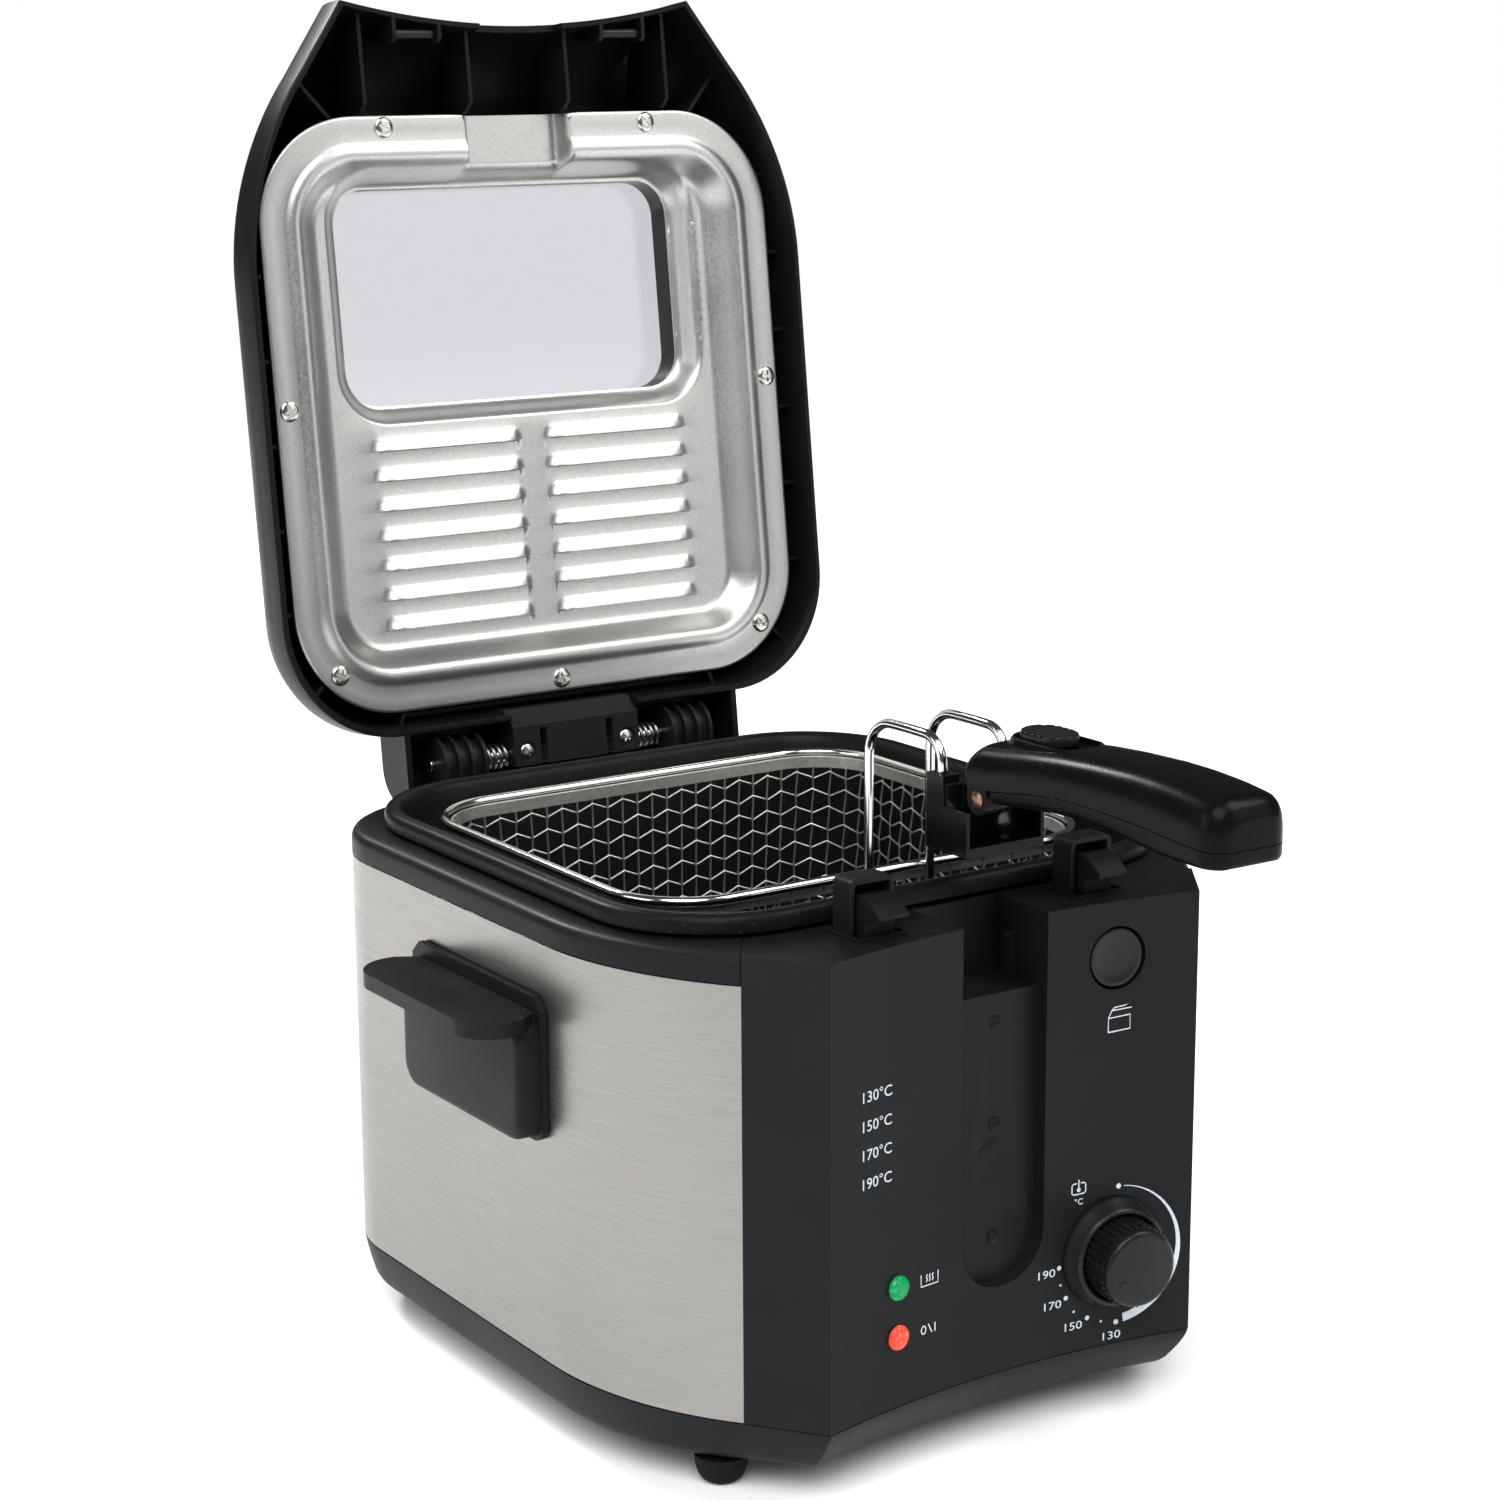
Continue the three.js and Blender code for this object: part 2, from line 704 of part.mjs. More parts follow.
function baseTray() {
  const outline = housingOutline();
  const level = ([z, inset, frontInset]) => atHeight(drawnIn(outline, inset, frontInset), z);
  const floor = footHeight + shellWall;
  const [, low, middle] = trayLevels;
  const inner = skin([
    level([floor, low[1] + shellWall + 1, low[2] + shellWall + 1]),
    level([middle[0] + 1, middle[1] + shellWall, middle[2] + shellWall]),
    level([baseTop + 1, shellWall, shellWall]),
  ]);
  const stems = feet.map(({ x, y }) =>
    bar(footStemRadius + seam, [x, y, 0], [x, y, footHeight + 2 * shellWall]));
  const glandZ = baseTop - glandBelowSeam;
  const inlet = bar(glandRadius + seam, [glandX, halfDepth - 20, glandZ], [glandX, far, glandZ]);
  const vents = Array.from({ length: ventRows }, (_, i) => {
    const y = (i - (ventRows - 1) / 2) * ventPitch;
    return box(-ventLength / 2, ventLength / 2, y - ventWidth / 2, y + ventWidth / 2, 0, floor + 1);
  });
  return cut(skin(trayLevels.map(level)), inner, ...stems, inlet, ...vents);
}

/** The collar that a cord would pass through, clipped into the back of the tray. */
function cordGland() {
  const profile = [[cordRadius, 0], [glandRadius + glandFlange, 0], [glandRadius + glandFlange, 2],
    [glandRadius, 2.5], [glandRadius, glandLength], [cordRadius, glandLength], [cordRadius, 0]];
  return lathe(profile, 16).rotate([90, 0, 0])
    .translate([glandX, halfDepth + 2.2, baseTop - glandBelowSeam]);
}

function foot() {
  return lathe([[0, 0], [footRadius * 0.6, 0], [footRadius * 0.85, 1.8], [footRadius, footHeight * 0.6],
    [footRadius, footHeight - seam], [footStemRadius, footHeight - seam],
    [footStemRadius, footHeight + footStemLength], [0, footHeight + footStemLength]], 14);
}

function steelWrap() {
  const outer = wrapEdge();
  const inner = inward(outer, wrapSheet).reverse();
  return prism([...outer, ...inner], baseTop + seam, wrapTop - seam);
}

/** Footprint of the control panel, or with a gap the room that it needs in its neighbours. */
function panelPlan(gap = 0) {
  const back = panelSeamY + panelReturn + gap;
  const rise = panelReturnInset / panelReturn;
  const edge = seamX + gap;
  const ahead = gap > 0
    ? [[-edge, panelSeamY], [-edge, -far], [edge, -far], [edge, panelSeamY]]
    : [[-seamX, panelSeamY], ...frontEdge(), [seamX, panelSeamY]];
  const reach = seamX - panelReturnInset + gap * (1 + rise);
  return [...ahead, [reach, back], [-reach, back]];
}

function topRing() {
  const outline = housingOutline();
  const ring = skin([
    atHeight(drawnIn(outline, 0), wrapTop),
    atHeight(drawnIn(outline, 0), housingTop - ringShoulder),
    atHeight(drawnIn(outline, ringShoulder * 0.35), housingTop - ringShoulder * 0.3),
    atHeight(drawnIn(outline, ringShoulder), housingTop),
  ]);
  const lipInset = wrapSheet + shellWall / 2;
  const lip = prism(drawnIn(outline, lipInset), wrapTop - ringLip, wrapTop);
  const hollow = prism(drawnIn(outline, lipInset + shellWall), wrapTop - ringLip - 1, wrapTop - 2);
  const seatHalf = knuckleOuterX + hingeSeatMargin;
  const seatFront = halfDepth - hingeSeatDepth;
  const seatBack = halfDepth + hingeSeatOverhang;
  const hingeSeat = box(-seatHalf, seatHalf, seatFront, seatBack, wrapTop + seam, hingeSeatTop);
  return cut(
    join(ring, cut(lip, hollow), hingeSeat),
    potWell(),
    prism(panelPlan(seam), wrapTop - ringLip - 2, housingTop + 1),
  );
}

/** Outline of the handle channel: straight sides and a half-round foot, in (x, z). */
function channelOutline(halfW, top, bottom) {
  return [...arc(0, bottom + halfW, halfW, 180, 360, 8), [halfW, top], [-halfW, top]];
}

const panelAngle = Math.asin(controlX / frontArcRadius);
/** Puts a piece that faces +Z square on the front face, with its base some distance in front. */
function onPanel(piece, side, z, standOff = 0) {
  const x = side * controlX;
  const turned = piece.rotate([90, 0, (-side * panelAngle * 180) / Math.PI]);
  return turned.translate([
    x - side * standOff * Math.sin(panelAngle),
    frontAt(controlX) - standOff * Math.cos(panelAngle),
    z,
  ]);
}

function panelBore(side, z, radius) {
  return onPanel(bar(radius, [0, 0, -14], [0, 0, 12], 24), side, z);
}

function controlPanel() {
  const plan = panelPlan();
  const bottom = baseTop + seam;
  const outer = prism(plan, bottom, housingTop);
  const cavityFront = inward([[-seamX, panelSeamY], ...frontEdge(), [seamX, panelSeamY]], shellWall + 0.5);
  const cavityBack = panelSeamY + panelReturn + 10;
  const cavity = prism([...cavityFront, [seamX, cavityBack], [-seamX, cavityBack]],
    bottom - 1, housingTop - shellWall);
  const casingHalf = channelHalfWidth + shellWall;
  const casing = join(
    profileY(channelOutline(casingHalf, channelShelf, channelBottom - shellWall),
      housingFront, channelPlateY + shellWall),
    box(-casingHalf, casingHalf, housingFront, recessBackY + shellWall, channelShelf - shellWall, housingTop),
  ).intersect(outer);
  const channel = join(
    profileY(channelOutline(channelHalfWidth, channelShelf + 1, channelBottom), -far, channelPlateY),
    box(-channelHalfWidth, channelHalfWidth, -far, recessBackY, channelShelf, housingTop + 5),
  );
  const abutmentY = hookPostBackY + latchSpringLength + 2.2;
  const abutments = both((side) => box(side * controlX - 6, side * controlX + 6,
    abutmentY, abutmentY + 2, linkZ - 6, housingTop - 1));
  const ribHalf = guideRibThickness / 2;
  const rib = join(
    box(guideRibX, channelHalfWidth + 0.5, guideRibY - ribHalf, guideRibY + ribHalf,
      channelShelf - 1, guideRibTop),
    box(guideRibX - guideRibHeight, channelHalfWidth + 0.5, guideRibY - ribHalf, guideRibY,
      guideRibTop - 2, guideRibTop),
  );
  const collarBlock = (side, inset, low, high) => {
    const half = collarHalfWidth - inset;
    return box(side * controlX - half, side * controlX + half, collarFrontY + inset, collarBackY - inset,
      housingTop + low, housingTop + high);
  };
  const collars = both((side) => collarBlock(side, 0, -1, collarHeight));
  const collarBores = both((side) => collarBlock(side, collarWall, -6, 5));
  const bores = [
    panelBore(1, knobZ, shaftRadius + 1),
    panelBore(1, buttonZ, buttonRadius + buttonGap),
    panelBore(-1, greenLampZ, lampRadius - lampShoulder + runningGap),
    panelBore(-1, redLampZ, lampRadius - lampShoulder + runningGap),
  ];
  const wrapGroove = wrapEdge(0.15);
  const wrapRoom = prism([
    ...inward(wrapGroove, -3), ...inward(wrapGroove, wrapSheet + seam).reverse(),
  ], bottom - 1, wrapTop);
  return cut(
    join(cut(join(cut(outer, cavity), casing), channel, wrapRoom), rib, ...abutments, ...collars),
    ...collarBores, ...bores, channelDimple(), potWell(),
  );
}

/** The shallow round hollow in the plate of the channel. */
function channelDimple() {
  const ball = (dimpleRadius ** 2 + dimpleDepth ** 2) / (2 * dimpleDepth);
  const edge = 90 - THREE.MathUtils.radToDeg(Math.asin(dimpleRadius / ball));
  const front = ball - dimpleDepth - 3;
  const dome = arc(0, 0, ball, 90, edge, 3).slice(1);
  const cap = lathe([[0, ball], ...dome, [dimpleRadius, front], [0, front]], 16);
  return cap.rotate([-90, 0, 0])
    .translate([0, channelPlateY + dimpleDepth - ball, channelBottom + dimpleRise]);
}

/** The deep-drawn pot: its wall turns over at the top into a rolled rim. */
function innerPot() {
  const lip = potRimTop - potRimLip;
  const wall = potRimWidth;
  const inside = wall + potSheet + potTaper;
  return rectTurn(potRect, [
    [inside + potFloorBend, potFloor],
    [inside + 3, potFloor + 3],
    [inside, potFloor + potFloorBend],
    [wall + potSheet, lip],
    [wall - 0.2, potRimTop - 1.6],
    [wall - 2.2, potRimTop],
    [wall * 0.35, potRimTop],
    [0.4, potRimTop - 1.6],
    [0, potRimTop - 3.4],
    [1.2, lip],
    [wall, lip],
    [wall + potTaper, potFloor + potFloorBend - 1],
    [wall + potTaper + 3, potFloor + 1.6],
    [wall + potTaper + potFloorBend, potFloor - potSheet],
  ]);
}

/** A tubular element bent to a ring under the pot, with its two ends turned down. */
function heatingElement() {
  const r = potHalfX - elementInset;
  const z = potFloor - potSheet - elementRadius - elementGap;
  const opening = 20; // degrees of the ring left open on each side of its front
  const run = arc(0, potCentreY, r, opening - 90, 270 - opening, 16).map(([x, y]) => [x, y, z]);
  const [, ringFront] = run[0];
  const lead = [
    [elementLeadX, ringFront - elementLeadLength - elementRadius, z - elementLeadDrop],
    [elementLeadX, ringFront - elementLeadLength / 2, z - elementLeadDrop / 2],
  ];
  return wire([...lead, ...run, ...lead.map(([x, y, h]) => [-x, y, h]).reverse()], elementRadius, 26);
}

function thermostat() {
  const depth = thermostatDepth;
  const can = lathe([[0, 0], [thermostatRadius, 0], [thermostatRadius, depth], [0, depth]], 20);
  const boss = bar(shaftRadius + 2, [0, 0, -2], [0, 0, 1]);
  const bore = bar(shaftRadius + runningGap, [0, 0, depth - shaftInset], [0, 0, depth + 4]);
  return onPanel(cut(join(can, boss), bore), 1, knobZ, -thermostatDepth - shellWall - thermostatGap);
}

function knobBezel() {
  const inner = knobRadius + bezelGap;
  const ring = lathe([[inner, 0], [bezelRadius, 0], [bezelRadius - 0.8, 1.2],
    [bezelRadius - 2.4, bezelHeight - 0.6], [bezelRadius - 3.2, bezelHeight], [inner, bezelHeight],
    [inner, 0]], 26);
  return onPanel(ring, 1, knobZ, bezelStandOff);
}

function knob() {
  const ribbed = Array.from({ length: knobRibs * 2 }, (_, i) => {
    const angle = (Math.PI * i) / knobRibs;
    const r = i % 2 ? knobRadius - knobRibDepth : knobRadius;
    return [r * Math.cos(angle), r * Math.sin(angle)];
  });
  const grip = prism(ribbed, knobSkirtGap, knobStandOff - 3);
  const neck = knobRadius - knobRibDepth - 0.2;
  const crown = lathe([[0, knobStandOff - 3.5], [neck, knobStandOff - 3.5], [neck, knobStandOff - 1.6],
    [knobFaceRadius - 0.6, knobStandOff - 0.5], [knobFaceRadius - 1.6, knobStandOff],
    [0, knobStandOff + 0.4]], 26);
  const angle = rad(knobPointerAngle);
  const pointer = lathe([[0, 0], [1.5, 0.1], [1.5, 3], [0, 3]], 10).scale([1.9, 0.6, 1])
    .rotate([0, 0, knobPointerAngle])
    .translate([
      knobPointerRadius * Math.cos(angle), knobPointerRadius * Math.sin(angle), knobStandOff - 0.5,
    ]);
  const shaftEnd = -shellWall - thermostatGap - shaftInset + 1.2;
  const shaft = bar(shaftRadius, [0, 0, shaftEnd], [0, 0, knobSkirtGap + 1]);
  return onPanel(join(cut(join(grip, crown), pointer), shaft), 1, knobZ);
}

function lamp(side, z) {
  const stem = lampRadius - lampShoulder;
  const lens = lathe([[0, -6], [stem, -6], [stem, 0.3], [lampRadius, 0.3],
    [lampRadius, 1], [lampRadius * 0.8, 1.9], [lampRadius * 0.45, 2.4], [0, 2.6]], 18);
  return onPanel(lens, side, z);
}

function releaseButton() {
  const face = -buttonSunk;
  const edge = 0.6;
  const cap = lathe([[0, face - buttonTravel], [buttonRadius, face - buttonTravel], [buttonRadius, face - edge],
    [buttonRadius - edge, face], [buttonRadius - 2, face], [0, face - 0.5]], 22);
  const reach = Math.abs(frontAt(controlX) - hookPostFrontY);
  const stem = bar(buttonStemRadius, [0, 0, -reach + 0.6], [0, 0, face - buttonTravel + 1]);
  const button = onPanel(join(cap, stem), 1, buttonZ);
  return cut(button, box(0, halfWidth, hookPostFrontY - seam, 0, 0, housingTop));
}

function latchHood(side) {
  const corner = (sign, from, to) =>
    arc(sign * (hoodHalfWidth - hoodRadius), hoodTop - hoodRadius, hoodRadius, from, to, 3);
  const arch = profileY([
    ...corner(1, 0, 90), ...corner(-1, 90, 180),
    [-hoodHalfWidth, housingTop - 4], [hoodHalfWidth, housingTop - 4],
  ], hoodFrontY, hoodBackY);
  const inside = box(-hoodHalfWidth + hoodWall, hoodHalfWidth - hoodWall,
    hoodFrontY - 1, hoodBackY - hoodWall * 0.7, housingTop - 5, hoodTop - hoodWall);
  return cut(arch, inside).translate([side * controlX, 0, 0]);
}

function latchHook(side) {
  const x = side * controlX;
  const foot = linkZ + linkHeight / 2 + seam;
  const outline = [
    [hookPostBackY, foot], [hookPostBackY, hookTop - 1], [hookPostBackY - 1, hookTop],
    [hookPostFrontY + 1.2, hookTop], ...hookNose(), [hookPostFrontY, hookTipZ - 3.4],
    [hookPostFrontY, foot],
  ];
  return profileX(outline, x - hookHalfWidth, x + hookHalfWidth);
}

/** The sloped, slightly hollow front of the hook. */
function hookNose() {
  const top = [hookPostFrontY + 0.4, hookTop - 0.4];
  const tip = [hookTipY, hookTipZ];
  const middle = [(top[0] + tip[0]) / 2 + 0.2, (top[1] + tip[1]) / 2 + 0.9];
  return [top, middle, tip, [hookTipY + 0.3, hookTipZ - 1.4]];
}

/** The bar inside the panel that ties the two hooks together. */
function latchLink() {
  const reach = controlX + hookHalfWidth;
  const half = linkHeight / 2;
  return box(-reach, reach, hookPostFrontY + 0.4, hookPostBackY, linkZ - half, linkZ + half);
}

function latchSpring(side) {
  const start = hookPostBackY + latchSpringWire + 0.5;
  return coil('y', start, start + latchSpringLength, [side * controlX, linkZ],
    latchSpringRadius, latchSpringWire, 4);
}

function sideHandle(side) {
  const wallX = halfWidth + seam;
  const y0 = sideHandleY - sideHandleHalfLength;
  const y1 = sideHandleY + sideHandleHalfLength;
  const plateOutline = [
    [y0, sideHandleBottom + 6], [y0 + 2, sideHandleBottom + 2], [y0 + 6, sideHandleBottom],
    [y1 - 6, sideHandleBottom], [y1 - 2, sideHandleBottom + 2], [y1, sideHandleBottom + 6],
    [y1, sideShelfTop + 1], [y1 - 5, sideHandleTop], [y0 + 5, sideHandleTop], [y0, sideShelfTop + 1],
  ];
  const plate = profileX(plateOutline, wallX, wallX + sideHandlePlate);
  const gripFace = wallX + sideGripReach;
  const gripHalfHeight = (sideShelfTop - sideHandleBottom) / 2 + 1;
  const rect = (grow, x) => roundRectYZ(sideHandleY, sideHandleBottom + gripHalfHeight - 3,
    sideHandleHalfLength - grow, gripHalfHeight - grow, sideGripRadius, x);
  const grip = skinX([
    rect(0.6, wallX + 1), rect(0.6, gripFace - 2.2), rect(1.4, gripFace - 0.7), rect(3, gripFace),
  ]);
  const reach = wallX + sideShelfReach;
  const r = sideShelfRadius;
  const shelfPlan = [
    [wallX, y0 + 2], [wallX + 5, y0 + 2], [wallX + 12, y0 + 5],
    ...arc(reach - r, y0 + r + 7, r, -62, 0, 4), ...arc(reach - r, y1 - r - 7, r, 0, 62, 4),
    [wallX + 12, y1 - 5], [wallX + 5, y1 - 2], [wallX, y1 - 2],
  ];
  const shelf = prism(shelfPlan, sideShelfTop - sideShelfThickness, sideShelfTop);
  const sheetZ = sideShelfTop - sideShelfSheet;
  const below = sideShelfTop - sideShelfThickness - 1;
  const underCut = profileY([[wallX - 1, sheetZ], [gripFace + 0.4, sheetZ], [reach - 2, sheetZ + 1.2],
    [reach - 2, below], [wallX - 1, below]], y0 + 3, y1 - 3);
  const whole = join(plate, cut(shelf, underCut), grip);
  return side > 0 ? whole : whole.mirror([1, 0, 0]);
}

/** Rounded rectangle in the YZ plane at x. */
function roundRectYZ(cy, cz, halfY, halfZ, radius, x) {
  return roundRect(halfY, halfZ, radius, 0, 3).map(([y, z]) => [x, cy + y, cz + z]);
}

/** Skin through loops that lie across X. */
function skinX(loops) {
  const turned = loops.map((loop) => loop.map(([x, y, z]) => [y, z, x]));
  return skin(turned).rotate([90, 0, 90]);
}

// ---------------------------------------------------------------- basket pieces
const basketRect = { halfX: basketHalfX, halfY: basketHalfY, radius: basketCornerRadius, cy: basketCentreY };

function basketRim() {
  const section = arc(0, basketRimZ, rimWireRadius, 0, 315, 7);
  return rectTurn(basketRect, section, true);
}

/** The basket's woven wall as an open grid of square cells. */
function basketMesh() {
  const gap = rimWireRadius + seam;
  const top = basketRimZ - 1;
  const low = basketRimZ - basketDepth;
  const bend = basketFloorBend;
  const tub = rectTurn(basketRect, [
    [gap + basketTaper + basketWall + bend, low + basketWall],
    [gap + basketTaper + basketWall, low + basketWall + bend],
    [gap + basketWall, top],
    [gap, top],
    [gap + basketTaper, low + bend],
    [gap + basketTaper + bend, low],
  ]);
  const half = (cellPitch - cellBar) / 2;
  const centres = (length, middle) => {
    const count = Math.floor(length / cellPitch);
    return Array.from({ length: count }, (_, i) => middle + (i - (count - 1) / 2) * cellPitch);
  };
  const wallLow = low + bend + 2;
  const rows = centres(top - 3 - wallLow, (top - 3 + wallLow) / 2);
  const across = centres(2 * (basketHalfX - basketCornerRadius), 0);
  const along = centres(2 * (basketHalfY - basketCornerRadius), basketCentreY);
  const cells = [
    ...rows.flatMap((z) => along.map((y) =>
      box(-halfWidth, halfWidth, y - half, y + half, z - half, z + half))),
    ...rows.flatMap((z) => across.map((x) =>
      box(x - half, x + half, -halfDepth, halfDepth, z - half, z + half))),
    ...across.flatMap((x) => along.map((y) =>
      box(x - half, x + half, y - half, y + half, low - 2, low + basketWall + 1))),
  ];
  return cut(tub, wasm.Manifold.union(cells));
}

/** A wire that climbs outside the basket's front, arches over the pot's rim and drops into the bracket. */
function basketHoop(side) {
  const r = hoopWireRadius;
  const top = hoopTop - r;
  const basketFront = basketCentreY - basketHalfY;
  const legY = basketFront - rimWireRadius - r - seam;
  const wallFoot = basketFront + rimWireRadius + basketTaper - r - seam;
  const low = basketRimZ - basketDepth + hoopFootRise;
  const climb = basketRimZ - low;
  const points = [
    [wallFoot, low], [wallFoot - 1.6, low + climb * 0.4], [wallFoot - 3.2, low + climb * 0.75],
    [legY, basketRimZ - 6], [legY, basketRimZ + 6], [legY, basketRimZ + 24], [legY, top - hoopBackRadius - 4],
    ...arc(legY - hoopBackRadius, top - hoopBackRadius, hoopBackRadius, 0, 90, 4),
    ...arc(hoopFrontY + hoopFrontRadius, top - hoopFrontRadius, hoopFrontRadius, 90, 180, 4),
    [hoopFrontY, top - hoopFrontRadius - 4], [hoopFrontY, bracketTop - hoopSocketDepth],
  ];
  return wire(points.map(([y, z]) => [side * hoopX, y, z]), r, 26);
}

/** The moulded bracket: two columns round the hoops' ends, a scooped block and the tongue of the pivot. */
function basketBracket() {
  const columnFront = hoopFrontY - hoopWireRadius - 3;
  const columns = both((side) => box(side * bracketHalfWidth, side * (bracketHalfWidth - bracketColumnWidth),
    bracketBackY, columnFront, bracketBottom, bracketTop));
  const web = box(-bracketHalfWidth, bracketHalfWidth, columnFront - 1, columnFront - 1 + bracketWebDepth,
    bracketBottom + 1, bracketTop - 3);
  const block = box(-bracketHalfWidth, bracketHalfWidth, bracketFrontY, hoopFrontY, bracketBottom, blockTop);
  const scoopY = bracketFrontY - 1;
  const scoopZ = blockTop + 3;
  const scoop = profileX([...arc(scoopY, scoopZ, scoopRadius, -90, 0, 6), [scoopY, scoopZ]],
    -bracketHalfWidth + scoopWall, bracketHalfWidth - scoopWall);
  const tongueBack = hoopFrontY - 3;
  const tongue = profileX([
    [tongueBack, blockTop - 6], [pivotY + lugRadius, pivotZ - lugRadius + 0.6],
    ...arc(pivotY, pivotZ, lugRadius - seam, -60, -300, 10), [tongueBack, bracketTop - 3],
  ], -tongueHalfWidth, tongueHalfWidth);
  const socketFoot = bracketTop - hoopSocketDepth - seam;
  const sockets = both((side) => bar(hoopWireRadius + seam,
    [side * hoopX, hoopFrontY, socketFoot], [side * hoopX, hoopFrontY, bracketTop + 2], 10));
  const grooveHalf = guideRibThickness / 2 + guideGrooveGap;
  const guideGroove = box(guideRibX - guideRibHeight - guideGrooveGap, bracketHalfWidth + 1,
    guideRibY - grooveHalf, guideRibY + grooveHalf,
    bracketBottom - 1, guideRibTop + basketDrop + guideGrooveEndGap);
  return cut(join(...columns, web, cut(block, scoop), tongue), ...sockets, guideGroove, pivotBore());
}

const pivotBore = () => bar(pivotPinRadius + runningGap, [-far, pivotY, pivotZ], [far, pivotY, pivotZ]);

/** Rise of the bowed grip at y: nothing at its ends, the whole height in between. */
function bow(y, height) {
  const share = THREE.MathUtils.clamp((y - handleBackY + handleBowSetBack) / handleBowReach, -1, 1);
  return height * Math.cos((share * Math.PI) / 2) ** 2;
}

const partingAt = (y) => handleParting + bow(y, handleBow);

/** How much a rounding takes off at a distance from its end. */
function rounded(radius, distance) {
  const inside = Math.min(distance, radius);
  return radius - Math.sqrt(inside * (2 * radius - inside));
}

/** Places along the grip, close together in its rounded ends. */
function gripStations(wall) {
  const [back, end] = [handleBackY - wall, handleEndY + wall];
  const turn = [0, 30, 60, 90].map((angle) => 1 - Math.cos(rad(angle)));
  const middle = Array.from({ length: 4 }, (_, i) =>
    THREE.MathUtils.lerp(back - handleBackRounding, end + handleEndRadius, (i + 1) / 5));
  return [
    ...turn.map((share) => back - share * handleBackRounding), ...middle,
    ...turn.map((share) => end + share * handleEndRadius).reverse(),
  ];
}

/** Half width and crown of the grip at y, inside a wall. */
function gripAt(y, wall) {
  const fromBack = Math.max(handleBackY - wall - y, 0);
  const fromEnd = Math.max(y - handleEndY - wall, 0);
  const half = handleHalfWidth - wall - rounded(handleEndRadius, fromEnd) - rounded(handleBackEdge, fromBack);
  const crown = handleCrown + bow(y, handleBow + handleBowExtra) - wall
    - rounded(handleEndRounding, fromEnd) - rounded(handleBackRounding, fromBack);
  return { half, crown };
}

/** A solid through sections that lie across Y. */
function skinY(sections) {
  return skin(sections.map((section) => section.map(([x, y, z]) => [x, z, -y]))).rotate([90, 0, 0]);
}

/** The grip above a height over its parting, or with a wall the space inside it. */
function gripUpper(lift, wall = 0) {
  return skinY(gripStations(wall).map((y) => {
    const { half, crown } = gripAt(y, wall);
    const low = partingAt(y) + lift;
    const right = gripShoulder.map(([inset, share]) =>
      [Math.max(half - inset, 1), low + (crown - low) * share]);
    const section = [[half, low], ...right, [0, crown], ...mirrored(right), [-half, low]];
    return section.map(([x, z]) => [x, y, z]);
  }));
}

/** The grip below a height over its parting, or with a wall the space inside it. */
function gripLower(lift, wall = 0) {
  return skinY(gripStations(wall).map((y) => {
    const { half } = gripAt(y, wall);
    const high = partingAt(y) + lift;
    const low = handleUnder + bow(y, handleBow) + wall + rounded(gripEdge, Math.max(y - handleEndY, 0));
    const right = [[half - gripEdge, low], [half, low + gripEdge], [half, high]];
    const section = [...mirrored(right), ...right];
    return section.map(([x, z]) => [x, y, z]);
  }));
}

/** Space in front of the pivot, where the grip is hollow. */
const handleRoom = () => box(-far, far, handleEndY + handleWall, lugStop - 3, 0, far);

function handleUpper() {
  const shell = cut(gripUpper(seam / 2), gripUpper(-1, handleWall).intersect(handleRoom()));
  const slotFront = sliderBackY - sliderLength - sliderTravel + sliderSlotInset;
  const slotHalf = sliderStemHalfWidth + sliderSlotGap;
  const slot = box(-slotHalf, slotHalf, slotFront, sliderBackY - sliderSlotInset, handleParting, far);
  const trackHalf = (sliderLength + sliderTravel) / 2 + trackEndMargin;
  const trackY = sliderBackY + trackEndMargin - trackHalf;
  const oval = (margin, low, high) =>
    prism(stadium(sliderHalfWidth + margin, trackHalf + margin, trackY), low, high);
  const collar = oval(trackMargin + trackCollar, deckBottom, deckTop + trackCollarRise);
  const track = oval(trackMargin, deckTop, far);
  const lugs = both((side) => profileX([
    ...arc(pivotY, pivotZ, lugRadius, 180, 360, 8), [pivotY + lugRadius, handleParting + 6],
    [pivotY - lugRadius, handleParting + 6],
  ], side * (tongueHalfWidth + lugGap), side * (handleHalfWidth - 0.6)));
  const roomHalf = tongueHalfWidth + lugGap;
  const roomFront = pivotY - lugRadius - 1.6;
  const tongueRoom = box(-roomHalf, roomHalf, roomFront, handleBackY + 2, 0, pivotZ + lugRadius + 4.2);
  return cut(join(shell, ...lugs, collar), track, slot, tongueRoom, pivotBore());
}

function handleLower() {
  const front = box(-far, far, -far, lugStop, 0, far);
  return cut(gripLower(-seam / 2).intersect(front), gripLower(1, handleWall).intersect(handleRoom()));
}

function handlePin() {
  const reach = handleHalfWidth - 0.4;
  return join(
    bar(pivotPinRadius, [-reach, pivotY, pivotZ], [reach, pivotY, pivotZ]),
    ...both((side) => bar(pinHeadRadius, [side * (reach - 0.05), pivotY, pivotZ],
      [side * (reach + pinHeadHeight), pivotY, pivotZ])),
  );
}

